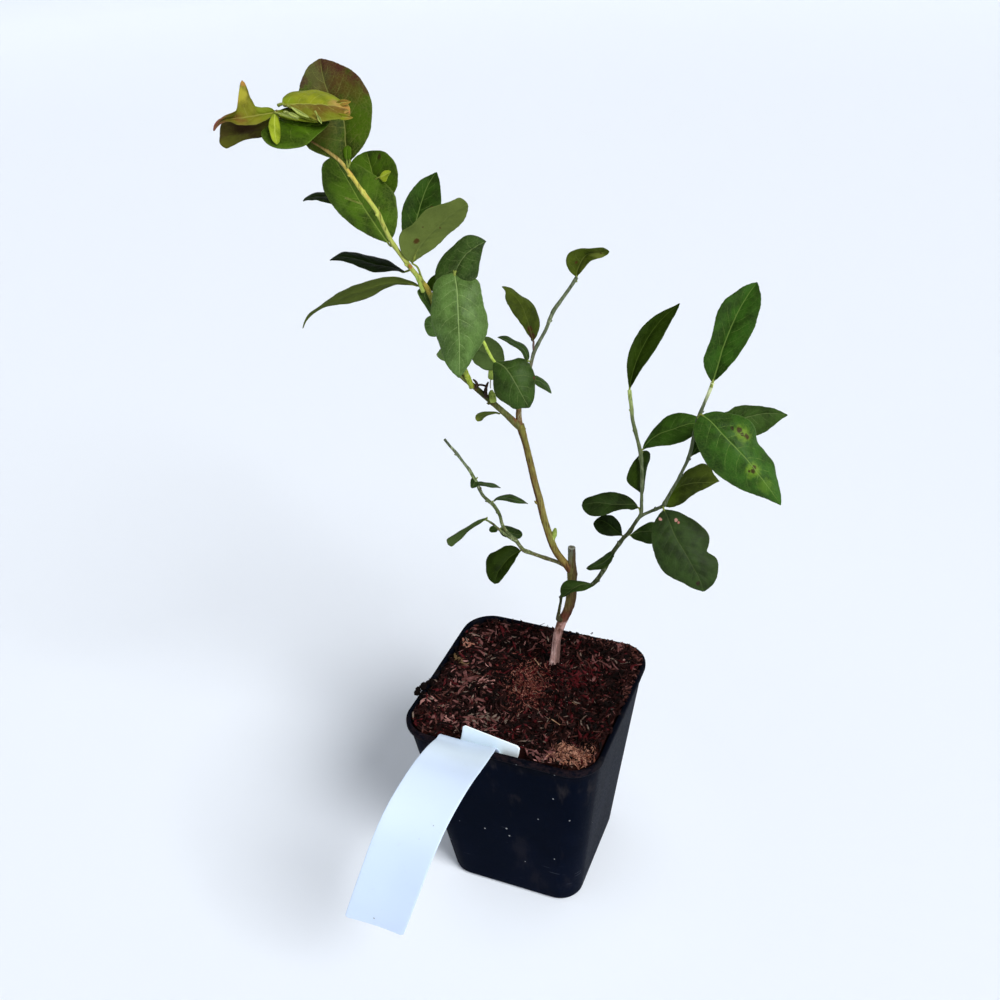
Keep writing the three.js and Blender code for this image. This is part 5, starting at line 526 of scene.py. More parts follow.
def leaf_material(name, tone, opt, spots_mm, patches_mm, seed, pairs):
    """Reads map Leaf (x: 0-1 along, +2 on the underside, +4 on the stalk; y: across, -1 to 1) and map LeafMM (mm along, mm across)."""
    bright = opt.get("k", 1.0)
    shaded = lambda c: tuple(bright * x for x in lin(c)[:3]) + (1.0,)
    base, dark, vein, under = (shaded(c) for c in TONES[tone])
    dark = tuple(0.78 * x for x in dark[:3]) + (1.0,)
    base = tuple(1.06 * x for x in base[:3]) + (1.0,)
    m = Mat("leaf_" + name, roughness=opt.get("rough", 0.55), specular=opt.get("spec", 0.04))
    x, v, _ = m.xyz(m.uv("Leaf"))
    lx, ly, _ = m.xyz(m.uv("LeafMM"))
    is_under = m.math("GREATER_THAN", x, 1.5)
    is_stalk = m.math("GREATER_THAN", x, 3.5)
    u = m.math("SUBTRACT", m.math("SUBTRACT", x, m.math("MULTIPLY", is_under, 2.0)), m.math("MULTIPLY", is_stalk, 2.0))
    av = m.math("ABSOLUTE", v)
    mm = m.vec(lx, ly, seed * 1.37)
    wob = m.noise(mm, 0.35, 2, 0.5)
    # side veins, arching forward to the margin
    w = m.math("SUBTRACT", u, m.math("ADD", m.math("MULTIPLY", av, VEIN_A), m.math("MULTIPLY", m.math("MULTIPLY", av, av), VEIN_B)))
    w = m.math("ADD", m.math("MULTIPLY", w, float(pairs)), m.math("MULTIPLY", m.math("GREATER_THAN", v, 0.0), 0.45))
    w = m.math("ADD", w, m.math("MULTIPLY", m.math("SUBTRACT", wob, 0.5), 0.22))
    near = m.math("SUBTRACT", 0.5, m.math("ABSOLUTE", m.math("SUBTRACT", m.math("FRACT", w), 0.5)))
    broken = m.smooth(m.noise(mm, 0.55, 2, 0.6), 0.36, 0.60, 0.25, 1.0)
    side = m.math("MULTIPLY", m.math("MULTIPLY", m.smooth(near, 0.048, 0.008), broken), m.smooth(av, 0.95, 0.30))
    side = m.math("MULTIPLY", side, m.math("MULTIPLY", m.smooth(u, 0.02, 0.12), m.smooth(u, 0.98, 0.8)))
    rib = m.math("MULTIPLY", m.smooth(m.math("ABSOLUTE", ly), m.linear(u, 0, 1, 0.42, 0.14), m.linear(u, 0, 1, 0.16, 0.03)), m.smooth(u, 1.0, 0.9))
    net = m.smooth(m.voronoi(mm, 0.9, "DISTANCE_TO_EDGE"), 0.14, 0.02)
    k = opt.get("veins", 1.0)
    lines = m.math("MAXIMUM", m.math("MULTIPLY", side, 0.36 * k), m.math("MULTIPLY", rib, 0.55 * k), clamp=True)
    fine = m.math("MULTIPLY", m.math("MULTIPLY", net, broken), 0.07 * k * opt.get("net", 1.0))
    # broad mottling
    patch = m.noise(mm, 0.16, 3, 0.55)
    col = m.mix(m.smooth(patch, 0.38, 0.68), base, dark)
    # painted shade: the blade darker towards the stalk and towards the margins (option rim)
    col = m.mix(m.math("MULTIPLY", m.smooth(u, 0.35, 0.0), 0.35), col, dark)
    col = m.mix(m.math("MULTIPLY", m.smooth(av, 0.45, 1.0), opt.get("rim", 0.28)), col, dark)
    for key, sign in (("left", -1.0), ("right", 1.0)):
        if key in opt:
            o_base, o_dark = lin(TONES[opt[key]][0]), lin(TONES[opt[key]][1])
            other = m.mix(m.smooth(patch, 0.38, 0.68), o_base, o_dark)
            col = m.mix(m.smooth(m.math("MULTIPLY", v, sign), -0.06, 0.12), col, other)
    speck = m.noise(mm, 1.6, 4, 0.65)
    col = m.mix(m.smooth(speck, 0.30, 0.75, 0.0, 0.28), col, m.mix(0.5, dark, vein))
    if "edge" in opt:
        c, wid, sd, a0, a1 = opt["edge"]
        pos = m.math("MULTIPLY", v, float(sd)) if sd else av
        rag = m.math("ADD", pos, m.math("MULTIPLY", m.math("SUBTRACT", m.noise(mm, 0.5, 3, 0.6), 0.5), 0.22))
        f = m.smooth(rag, 1 - 2.2 * wid, 1 - 0.4 * wid)
        f = m.math("MULTIPLY", f, m.math("MULTIPLY", m.smooth(u, a0 - 0.12, a0 + 0.05), m.smooth(u, a1 + 0.08, a1 - 0.08)))
        col = m.mix(m.math("MULTIPLY", f, 0.85), col, lin(c))
    else:
        col = m.mix(m.math("MULTIPLY", m.smooth(av, 0.93, 1.0), 0.18), col, vein)
    if "tip" in opt:
        c, a0 = opt["tip"]
        f = m.smooth(m.math("ADD", u, m.math("MULTIPLY", m.math("SUBTRACT", patch, 0.5), 0.25)), a0 - 0.08, a0 + 0.15)
        col = m.mix(f, col, lin(c))
    marks = []
    for sx, sy, sr, c, amount in patches_mm:
        dx, dy = m.math("SUBTRACT", lx, sx), m.math("SUBTRACT", ly, sy)
        d = m.math("SQRT", m.math("ADD", m.math("MULTIPLY", dx, dx), m.math("MULTIPLY", dy, dy)))
        d = m.math("ADD", d, m.math("MULTIPLY", m.math("SUBTRACT", m.noise(mm, 0.45, 3, 0.6), 0.5), 1.5 * sr))
        f = m.smooth(d, sr * 1.25, sr * 0.35, 0.0, amount)
        marks.append((f, 0.5, c))
        col = m.mix(f, col, lin(c))
    for sx, sy, sr, c in spots_mm:
        dx, dy = m.math("SUBTRACT", lx, sx), m.math("SUBTRACT", ly, sy)
        d = m.math("SQRT", m.math("ADD", m.math("MULTIPLY", dx, dx), m.math("MULTIPLY", dy, dy)))
        d = m.math("ADD", d, m.math("MULTIPLY", m.math("SUBTRACT", m.noise(mm, 1.1, 2, 0.6), 0.5), 1.1 * sr))
        f = m.smooth(d, sr * 1.15, sr * 0.55, 0.0, 0.9)
        marks.append((f, 0.95, c))
        col = m.mix(f, col, lin(c))
    top = m.mix(fine, m.mix(lines, col, vein), vein)
    low = m.mix(m.math("MAXIMUM", m.math("MULTIPLY", lines, 1.2), m.math("MULTIPLY", net, 0.22), clamp=True), m.mix(0.25, under, col), m.mix(0.6, vein, under))
    for f, amount, c in marks:
        low = m.mix(m.math("MULTIPLY", f, amount), low, lin(c))
    stalk = m.mix(m.smooth(m.noise(mm, 0.7, 3, 0.6), 0.35, 0.7), lin(opt.get("stalk", (124, 136, 62))), lin(opt.get("stalk_dark", (100, 108, 46))))
    m.colour(m.mix(is_stalk, m.mix(is_under, top, low), stalk))
    r = opt.get("rough", 0.55)
    m.rough(m.math("ADD", m.linear(speck, 0.3, 0.7, r - 0.07, r + 0.10), m.math("MULTIPLY", is_under, 0.18)))
    h = m.math("ADD", m.math("MULTIPLY", m.math("MAXIMUM", side, rib), -0.55), m.math("ADD", m.math("MULTIPLY", net, -0.22), m.math("MULTIPLY", speck, 0.22)))
    m.normal(m.bump(h, 0.45, 0.00025))
    return m.m


VEIN_A, VEIN_B = 0.13, 0.12


def leaf_piece(name, node, M, A, B, tone, opt, seed, stalk=None, fine=1.0):
    """One leaf: blade with veins pressed into it, margins, thickness, and its stalk."""
    rnd = random.Random(seed)
    M, A, B = (np.asarray(c, float) / 10 for c in (M, A, B))
    length = np.linalg.norm(np.diff(M, axis=0), axis=1).sum()
    half = max(np.linalg.norm(A - M, axis=1).max(), np.linalg.norm(B - M, axis=1).max())
    nu = int(np.clip(length / 0.62 * fine, 16, 64))
    nh = int(np.clip(half / 0.62 * fine, 5, 20))
    s = np.linspace(0, 1, nu)
    t = 0.72 * s + 0.28 * (0.5 - 0.5 * np.cos(np.pi * s))
    t[0], t[-1] = 0.006, 0.994
    m, a, b = spline(M, t), spline(A, t), spline(B, t)
    v = np.r_[-np.linspace(1, 0, nh + 1)[:-1], np.linspace(0, 1, nh + 1)]
    nv = len(v)
    av = np.abs(v)
    E = np.where((v > 0)[None, :, None], a[:, None], b[:, None])
    P = m[:, None] + av[None, :, None] * (E - m[:, None])
    wid = np.linalg.norm(E - m[:, None], axis=2)  # (nu, nv) half width of that side

    def normals(P):
        du, dv = np.gradient(P, axis=0), np.gradient(P, axis=1)
        return unit(np.cross(du, dv))

    N = normals(P)
    sign = 1.0 if (N.mean((0, 1))[2] >= 0) != bool(opt.get("flip")) else -1.0
    # one normal a row, blended with the local one so that the halves stay smooth across the midrib
    row = unit(N.mean(1))
    n = unit(0.45 * N + 0.55 * row[:, None]) * sign
    uu, vv = t[:, None] * np.ones(nv)[None], v[None] * np.ones(nu)[:, None]
    aa = np.abs(vv)
    env = np.sin(np.pi * np.clip(uu, 0, 1)) ** 0.6
    pairs = opt.get("pairs", int(np.clip(round(length / 4.2), 4, 9)))
    w = (uu - VEIN_A * aa - VEIN_B * aa**2) * pairs + 0.45 * (vv > 0)
    d = np.abs(w - np.round(w))
    dmm = d / pairs * length
    k = opt.get("relief", 0.72)
    puff = (1 - (2 * d) ** 2) * -1 + 1  # 0 on a vein, 1 half way between
    size = np.clip(half / 8, 0.35, 1.1)
    H = k * size * env * (0.22 * puff * (1 - aa**2) - 0.16 * np.exp(-((dmm / 0.5) ** 2)) * (1 - aa) ** 0.5)
    ymm = aa * wid
    H = H - k * 0.34 * size * np.exp(-((ymm / 0.55) ** 2)) * (1 - 0.6 * uu)
    H = H + opt.get("puff", 0.07) * wid * 4 * aa * (1 - aa) * env
    ph = rnd.uniform(0, 6.28)
    wave = opt.get("wave", 0.028) * half * aa**2.5 * env * (np.sin(uu * length * 0.42 + ph + 1.9 * (vv > 0)) + 0.5 * np.sin(uu * length * 1.1 + 2 * ph))
    H = H + wave + 0.05 * size * fbm(np.stack([uu * length * 0.35, vv * 3, 0 * uu + seed], -1), 2, seed)
    # short teeth and unevenness of the margin
    side_dir = unit(E - m[:, None])
    rag = 0.10 * size * aa**8 * (vnoise(np.stack([uu * length * 1.3, np.sign(vv) * 5, 0 * uu + seed], -1), seed + 3))
    P = P + side_dir * rag[..., None]
    top = P + n * H[..., None]
    thick = (0.20 + 0.10 * (1 - aa)) * np.clip(half / 6, 0.7, 1.15) + 0.34 * size * np.exp(-((ymm / 0.42) ** 2)) * (1 - 0.75 * uu)
    thick[0], thick[-1] = 0.25, 0.12
    low = top - n * thick[..., None]
    buf = Buf()
    verts = np.concatenate([top.reshape(-1, 3), low.reshape(-1, 3)])
    cnt = nu * nv
    # which winding makes the faces look along n
    Nt = normals(top)
    out = (Nt * n).sum(2).mean() > 0
    Ft = grid_faces(nu, nv, flip=out)
    Fl = [[i + cnt for i in f[::-1]] for f in Ft]
    c0 = [(i * nv, (i + 1) * nv) for i in range(nu - 1)]
    rim = []
    for i in range(nu - 1):
        p, q = i * nv, (i + 1) * nv
        rim.append([p, q, q + cnt, p + cnt] if not out else [p, p + cnt, q + cnt, q])
        p, q = i * nv + nv - 1, (i + 1) * nv + nv - 1
        rim.append([p, p + cnt, q + cnt, q] if not out else [p, q, q + cnt, p + cnt])
    for j in range(nv - 1):
        p, q = j, j + 1
        rim.append([p, p + cnt, q + cnt, q] if not out else [p, q, q + cnt, p + cnt])
        p, q = (nu - 1) * nv + j, (nu - 1) * nv + j + 1
        rim.append([p, q, q + cnt, p + cnt] if not out else [p, p + cnt, q + cnt, q])
    # the winding above is settled by volume below
    mmx = np.r_[0, np.cumsum(np.linalg.norm(np.diff(m, axis=0), axis=1))]
    X = np.concatenate([t[:, None] * np.ones(nv)[None], t[:, None] * np.ones(nv)[None] + 2]).reshape(-1)
    leaf_uv = np.stack([X, np.tile(v, 2 * nu)], -1)
    Y = np.tile((vv * wid).reshape(-1), 2)
    mm_uv = np.stack([np.tile(np.repeat(mmx, nv), 2), Y], -1)
    bake = np.stack([np.tile(0.02 + 0.96 * uu.reshape(-1), 2), np.concatenate([0.015 + 0.445 * (vv.reshape(-1) + 1) / 2, 0.475 + 0.445 * (vv.reshape(-1) + 1) / 2])], -1)
    faces = Ft + Fl + rim
    idx = np.array(faces)
    bk = bake[idx]
    nf = len(Ft) + len(Fl)
    for k_, f in enumerate(rim):  # thin strips beside the upper face's island
        base_uv = bake[[i % cnt for i in f]]
        off = np.array([0.006 if i >= cnt else 0.0 for i in f])
        bk[nf + k_] = base_uv
        if k_ < 2 * (nu - 1):
            bk[nf + k_, :, 1] += off * (-1 if k_ % 2 == 0 else 1)
        else:
            bk[nf + k_, :, 0] += off * (-1 if k_ % 2 == 0 else 1)
    lf = leaf_uv[idx]
    # a rim face reads the upper face's place
    for k_ in range(nf, len(faces)):
        lf[k_] = leaf_uv[[i % cnt for i in faces[k_]]]
    buf.add(verts, faces, {"OFBake": bk, "Leaf": lf, "LeafMM": mm_uv[idx]})
    # stalk, running on under the midrib
    r0 = 0.5 * opt.get("stalk_r", np.clip(half / 8, 0.55, 1.0))
    if stalk is None:
        dirn = unit(m[2] - m[0])
        pts = np.array([m[0] - dirn * 1.8 * 1.0 + [0, 0, -0.4], m[0] - dirn * 0.4, m[0] + dirn * 0.5])
        rr = np.array([r0 * 1.25, r0, r0])
    else:
        S = np.asarray(stalk, float) / 10
        pts, rr = S[:, :3], S[:, 3]
    inner = np.array([m[int(nu * f)] - n[int(nu * f), nh] * (0.34 * size * 0.7 + 0.1 + q * r0) for f, q in ((0.04, 0.75), (0.14, 0.55), (0.26, 0.25))])
    pts = np.vstack([pts, inner])
    rr = np.r_[rr, [r0 * 0.85, r0 * 0.6, r0 * 0.28]]
    total = np.linalg.norm(np.diff(pts, axis=0), axis=1).sum()
    ts = np.linspace(0, 1, int(np.clip(total / 0.5, 8, 60)))
    Q = spline(np.c_[pts, rr], ts)
    V, F, uv, tri = tube(Q[:, :3], np.maximum(Q[:, 3], 0.08), 8, uvbox=(0.02, 0.94, 0.98, 0.99))
    st = np.array([[(4 + 0.5, 0.0)] * 4] * len(F))
    smm = np.stack([uv[..., 0] * total, uv[..., 1] * 30], -1)
    buf.add(V, F, {"OFBake": uv, "Leaf": st, "LeafMM": smm})
    # caps as their own chunk of triangles
    cap_uv = np.array([[(0.985, 0.945), (0.99, 0.945), (0.99, 0.95)]] * len(tri))
    base = buf.n - len(V)
    buf.add(np.zeros((0, 3)), [[i - len(V) for i in f] for f in tri], {"OFBake": cap_uv, "Leaf": np.array([[(4.5, 0.0)] * 3] * len(tri)), "LeafMM": np.zeros((len(tri), 3, 2))})
    spots = []
    for (su, sv, sr, c) in opt.get("spots", []):
        i = int(np.argmin(np.abs(t - su)))
        wd = np.linalg.norm((a if sv > 0 else b)[i] - m[i])
        spots.append((float(mmx[i]), float(sv * wd), sr, c))
    patches = []
    for (su, sv, sr, c, amount) in opt.get("patches", []):
        i = int(np.argmin(np.abs(t - su)))
        wd = np.linalg.norm((a if sv > 0 else b)[i] - m[i])
        patches.append((float(mmx[i]), float(sv * wd), sr, c, amount))
    mat = leaf_material(name, tone, opt, spots, patches, seed, pairs)
    ob = buf.make("leaf_" + name, [mat])
    fix_faces(ob)
    return finish_piece(ob, "young_leaves" if node == "leaves_tip" else "leaves", node)


def fix_faces(ob):
    """Faces of each closed part look outwards."""
    import bmesh
    bm = bmesh.new()
    bm.from_mesh(ob.data)
    bmesh.ops.recalc_face_normals(bm, faces=bm.faces)
    bm.to_mesh(ob.data)
    bm.free()
    ob.data.update()


for i, (name, (mass, M, A, B)) in enumerate(LEAVES.items()):
    tone, opt = LOOK[name]
    leaf_piece(name, "leaves_" + mass, M, A, B, tone, opt, 11 + 7 * i, STALKS.get(name))

# ---------------------------------------------------------------- stems
def wood_material(name, bands, roughness=0.6, spec=0.10, red=0.0, pale=0.0, spots=(), relief=0.5, flakes=0.0, sides=()):
    """bands: (height mm, dark, middle, light), low to high. spots: (x, y, z, radius mm, colour, amount), all in mm."""
    m = Mat(name, roughness=roughness, specular=spec)
    p = m.coord("Object")
    px, py, pz = m.xyz(p)
    streaks = m.noise(m.mapping(p, scale=(1, 1, 0.16)), 1500, 4, 0.6)
    broad = m.noise(m.mapping(p, scale=(1, 1, 0.5)), 260, 3, 0.6)
    fine = m.noise(p, 2600, 3, 0.7)
    z0, z1 = bands[0][0] - 1.0, bands[-1][0] + 1.0
    zz = m.linear(m.math("ADD", pz, m.math("MULTIPLY", m.math("SUBTRACT", broad, 0.5), 0.012)), z0 / 1000, z1 / 1000)
    tone = [m.ramp(zz, [((z - z0) / (z1 - z0), lin(row[k])) for z, *row in bands]) for k in (0, 1, 2)]
    f = m.math("ADD", m.math("MULTIPLY", streaks, 0.65), m.math("MULTIPLY", broad, 0.35))
    col = m.mix(m.smooth(f, 0.36, 0.50), tone[0], tone[1])
    col = m.mix(m.smooth(f, 0.52, 0.66), col, tone[2])
    if red:
        r = m.smooth(m.noise(m.mapping(p, scale=(1, 1, 0.35)), 520, 3, 0.6), 0.54, 0.68)
        col = m.mix(m.math("MULTIPLY", r, red), col, lin((104, 56, 34)))
    if pale:
        r = m.smooth(m.noise(m.mapping(p, scale=(1, 1, 0.5)), 640, 3, 0.65), 0.58, 0.66)
        col = m.mix(m.math("MULTIPLY", r, pale), col, lin((178, 188, 150)))
    if flakes:
        r = m.smooth(m.noise(p, 1500, 3, 0.7), 0.62, 0.70)
        col = m.mix(m.math("MULTIPLY", r, m.smooth(pz, 0.128, 0.108, 0.0, flakes)), col, lin((206, 190, 184)))
    # Colour by which way the surface faces: each entry of sides mixes its colour into the faces turned its way; on the
    # main shoot this is painted shade on its shadow side.
    for direction, c, amount in sides:
        g = m.node("ShaderNodeVectorMath", {0: m.node("ShaderNodeNewGeometry").outputs["Normal"], 1: direction}, operation="DOT_PRODUCT").outputs["Value"]
        g = m.math("ADD", g, m.math("MULTIPLY", m.math("SUBTRACT", f, 0.5), 2.4))
        col = m.mix(m.smooth(g, 0.30, 0.95, 0.0, amount), col, lin(c))
    for sx, sy, sz, sr, c, amount in spots:
        d = m.node("ShaderNodeVectorMath", {0: p, 1: (sx / 1000, sy / 1000, sz / 1000)}, operation="DISTANCE").outputs["Value"]
        d = m.math("ADD", m.math("MULTIPLY", d, 1000.0), m.math("MULTIPLY", m.math("SUBTRACT", m.noise(p, 700, 2, 0.6), 0.5), 1.1 * sr))
        col = m.mix(m.smooth(d, sr * 1.2, sr * 0.5, 0.0, amount), col, lin(c))
    h = m.math("ADD", m.math("MULTIPLY", streaks, 0.8), m.math("MULTIPLY", fine, 0.3))
    m.normal(m.bump(h, relief, 0.0003))
    m.colour(col)
    m.rough(m.linear(fine, 0.3, 0.7, roughness - 0.1, roughness + 0.12))
    return m.m


WOOD_TRUNK = wood_material("bark_trunk", [
    (92, (92, 58, 52), (190, 150, 142), (236, 204, 198)), (112, (92, 58, 50), (184, 144, 136), (230, 196, 188)),
    (118, (72, 42, 34), (122, 84, 72), (160, 118, 104)), (125, (64, 38, 28), (100, 64, 48), (132, 92, 68)),
    (132, (58, 48, 22), (96, 84, 46), (126, 116, 78)), (148, (62, 54, 22), (106, 98, 54), (132, 124, 88)),
    (155, (66, 60, 36), (98, 94, 64), (128, 124, 100)), (161, (64, 70, 56), (92, 98, 84), (120, 122, 108))], 0.75, 0.04, relief=0.8, flakes=0.7,
    sides=[((0.9, -0.2, 0.0), (58, 34, 28), 0.8)],
    spots=[(9.6, 24.6, 118.5, 3.0, (196, 156, 148), 0.75), (8.6, 25.0, 124.0, 2.6, (96, 54, 40), 0.6), (10.4, 25.6, 152.0, 2.2, (88, 40, 36), 0.6)])
# lower main shoot: the sides entries darken the faces turned to -x in red-brown, partly the shoot's own red-brown edge
# and partly painted shade
WOOD_MAIN = wood_material("wood_main", [
    (146, (56, 20, 20), (96, 38, 36), (122, 70, 50)), (156, (68, 44, 24), (114, 98, 50), (146, 134, 72)),
    (170, (76, 62, 30), (122, 118, 56), (152, 146, 76)), (184, (74, 54, 32), (116, 106, 56), (146, 138, 78)), (200, (68, 50, 30), (104, 92, 46), (136, 126, 70)),
    (222, (62, 50, 26), (104, 100, 46), (134, 126, 66))], 0.6, 0.06, red=0.5, sides=[((-0.85, -0.45, 0.0), (84, 46, 28), 1.0), ((-0.97, -0.1, 0.0), (62, 38, 24), 0.8)])
# upper main shoot: the sides entry is painted shade, a darker olive on the faces turned left, forward and down
WOOD_UP = wood_material("wood_upper", [
    (220, (48, 42, 22), (84, 84, 44), (110, 108, 62)), (233, (50, 50, 24), (90, 94, 50), (118, 118, 68)),
    (240, (32, 32, 10), (54, 58, 18), (82, 86, 36)), (252, (58, 60, 24), (96, 102, 46), (128, 134, 68)),
    (285, (94, 98, 38), (142, 150, 68), (172, 178, 94)), (310, (104, 108, 42), (156, 164, 78), (182, 186, 102)),
    (318, (124, 126, 54), (172, 180, 82), (202, 206, 112)), (333, (128, 112, 48), (186, 170, 74), (208, 194, 104)),
    (338, (118, 98, 50), (168, 148, 80), (190, 170, 100)), (345, (54, 42, 16), (88, 70, 34), (118, 98, 54)),
    (372, (60, 48, 20), (96, 78, 42), (122, 104, 60))], 0.55, 0.08, red=0.35, sides=[((-0.8, -0.3, -0.3), (96, 92, 36), 0.6)],
    spots=[(-36.1, 2.0, 286.4, 3.0, (164, 142, 58), 0.8), (-40.4, -1.8, 296.4, 1.0, (140, 74, 36), 0.8), (-46.8, -7.4, 314.0, 1.8, (150, 90, 46), 0.7), (-54.0, -11.6, 334.5, 2.2, (150, 76, 44), 0.8), (-50.5, -9.6, 324.5, 1.4, (158, 120, 58), 0.6), (-9.5, 18.6, 226.5, 2.2, (116, 56, 42), 0.7)])
WOOD_SIDE = wood_material("wood_side", [
    (220, (58, 34, 20), (100, 72, 42), (130, 102, 66)), (240, (56, 44, 28), (92, 82, 54), (120, 112, 80)), (254, (50, 54, 38), (84, 92, 72), (116, 122, 100)), (266, (48, 56, 36), (80, 90, 64), (110, 118, 92)), (300, (64, 70, 56), (99, 106, 88), (132, 136, 116))], 0.6, 0.08, pale=0.35, red=0.2)
WOOD_TWIG = wood_material("wood_centre_twig", [(225, (84, 96, 30), (128, 140, 56), (160, 172, 86)), (300, (90, 104, 34), (134, 150, 62), (164, 178, 92))], 0.5, 0.12)
WOOD_LEFT = wood_material("wood_left", [(150, (64, 50, 32), (98, 88, 56), (132, 126, 84)), (160, (52, 60, 32), (88, 100, 62), (136, 148, 98)), (176, (50, 58, 32), (84, 94, 58), (136, 146, 94)), (184, (46, 52, 34), (78, 86, 62), (126, 134, 100)), (189, (66, 78, 40), (118, 134, 84), (158, 172, 118)), (194, (54, 62, 42), (92, 104, 76), (140, 150, 116)), (215, (60, 68, 52), (100, 110, 90), (146, 156, 128))], 0.6, 0.06, pale=0.5, red=0.3)
WOOD_RIGHT = wood_material("wood_right", [(118, (40, 30, 20), (66, 56, 38), (100, 92, 68)), (135, (32, 36, 18), (56, 62, 36), (88, 94, 66)), (185, (34, 38, 18), (58, 64, 38), (95, 100, 75))], 0.65, 0.06, pale=0.2)
WOOD_INNER = wood_material("wood_inner", [(180, (46, 54, 32), (76, 86, 56), (104, 112, 80)), (228, (54, 62, 34), (84, 94, 60), (112, 120, 86)), (238, (124, 140, 74), (168, 184, 112), (194, 206, 138)), (262, (130, 146, 80), (174, 188, 118), (198, 208, 144))], 0.55, 0.08, pale=0.15)
WOOD_OUTER = wood_material("wood_outer", [(180, (44, 52, 30), (74, 84, 56), (102, 110, 80)), (240, (50, 58, 36), (80, 90, 64), (108, 116, 88)), (248, (150, 160, 108), (196, 204, 156), (214, 218, 182)), (270, (150, 160, 108), (196, 204, 156), (214, 218, 182))], 0.55, 0.08, pale=0.15)
BUD = wood_material("bud_pale", [(100, (96, 116, 40), (142, 162, 74), (178, 190, 110)), (400, (96, 116, 40), (146, 164, 76), (180, 192, 112))], 0.5, 0.06)
LIME = wood_material("wood_lime", [(100, (96, 112, 30), (138, 152, 50), (168, 178, 80)), (400, (96, 112, 30), (138, 152, 50), (168, 178, 80))], 0.5, 0.10)
DEAD = wood_material("wood_dead", [(100, (30, 24, 20), (54, 42, 36), (84, 68, 60)), (400, (30, 24, 20), (54, 42, 36), (84, 68, 60))], 0.8, 0.04)
PALEWOOD = wood_material("wood_pale", [(100, (120, 118, 106), (170, 168, 156), (206, 204, 196)), (400, (120, 118, 106), (170, 168, 156), (206, 204, 196))], 0.7, 0.05)


CUT_AT = (0.0120, 0.0273, 0.1613)


def cut_material():
    m = Mat("cut_face", roughness=0.8, specular=0.05)
    p = m.coord("Object")
    n = m.noise(p, 1800, 3, 0.6)
    d = m.node("ShaderNodeVectorMath", {0: p, 1: CUT_AT}, operation="DISTANCE").outputs["Value"]
    d = m.math("ADD", m.math("MULTIPLY", d, 1000.0), m.math("MULTIPLY", m.math("SUBTRACT", n, 0.5), 0.8))
    col = m.ramp(n, [(0.3, lin((96, 98, 84))), (0.6, lin((136, 138, 124))), (0.8, lin((84, 80, 66)))])
    col = m.mix(m.smooth(d, 1.1, 0.5, 0.0, 0.8), col, lin((96, 78, 58)))
    m.colour(col)
    m.normal(m.bump(n, 0.6, 0.0002))
    return m.m


def stem_piece(name, key, slot, nodes, mat, step=0.5, sides=20, knots=(), rough=1.0, thicker=0.0, seed=1, joint=None):
    """A stem: tube with bark relief and swellings. knots: (place along 0-1, height as part of the radius, length mm)."""
    S = np.asarray(STEMS[key], float) / 10
    if joint is not None:  # start inside the parent limb
        S = np.vstack([np.r_[np.asarray(joint, float), S[0, 3]], S])
    total = np.linalg.norm(np.diff(S[:, :3], axis=0), axis=1).sum()
    n = int(total / step)
    t = np.linspace(0, 1, n)
    Q = spline(S, t)
    P, R = Q[:, :3], Q[:, 3] + thicker * t
    s = t * total
    for at, amp, ln in knots:
        R = R * (1 + amp * np.exp(-(((s - at * total) / ln) ** 2)))
    ang = np.linspace(0, 2 * np.pi, sides, endpoint=False)
    X = np.stack([np.cos(ang)[None] * R[:, None] * 1.1 + 0 * s[:, None], np.sin(ang)[None] * R[:, None] * 1.1, s[:, None] * 0.16 + 0 * ang[None]], -1)
    X2 = np.stack([np.cos(ang)[None] * R[:, None] * 2.4 + 0 * s[:, None], np.sin(ang)[None] * R[:, None] * 2.4, s[:, None] * 0.9 + 0 * ang[None]], -1)
    rel = rough * R[:, None] * (0.09 * fbm(X, 2, seed) + 0.05 * fbm(X2, 3, seed + 5))
    rel = rel + R[:, None] * 0.03 * np.cos(5 * ang[None] + 0.2 * s[:, None]) * rough
    buf = Buf()
    V, F, uv, tri = tube(P, R, sides, relief=rel)
    buf.add(V, F)
    buf.f += [[int(i) for i in f] for f in tri]
    buf.mat += [0] * len(tri)
    # small side buds at the knots
    rnd = random.Random(seed * 77 + 5)
    T, U, W = frames_along(P)
    for at, amp, ln in knots:
        if ln > 3:
            continue
        i = int(np.clip(at * (n - 1), 2, n - 3))
        a = rnd.uniform(0, 6.28)
        side = np.cos(a) * U[i] + np.sin(a) * W[i]
        add_bud(buf, P[i] + side * R[i] * 0.72, unit(0.6 * side + T[i]), R[i] * rnd.uniform(0.9, 1.4) + 0.3, R[i] * 0.34 + 0.16, rnd.randrange(999))
    ob = buf.make(name, [mat])
    fix_faces(ob)
    return finish_piece(ob, slot, *nodes)


def add_bud(buf, foot, direction, length, radius, seed, scales=3, mat=0):
    """A small pointed bud with overlapping scales, as one closed drop with ridges."""
    d = unit(np.asarray(direction, float))
    n, sides = 11, 10
    t = np.linspace(0, 1, n)
    prof = np.sin(np.pi * np.clip(t * 0.9 + 0.1, 0, 1)) ** 0.75 * (1 - 0.35 * t)
    rr = np.maximum(radius * prof, 0.03)
    rr = rr * (1 + 0.10 * np.abs(np.sin(t * np.pi * scales)))
    bend = unit(np.cross(d, [0.3, 0.2, 1.0]))
    P = np.asarray(foot, float)[None] + d[None] * (t * length)[:, None] + bend[None] * (0.06 * length * t**2)[:, None]
    V, F, uv, tri = tube(P, rr, sides)
    base = buf.n
    buf.add(V, F, None, mat)
    buf.f += [[int(i) + base for i in f] for f in tri]
    buf.mat += [mat] * len(tri)


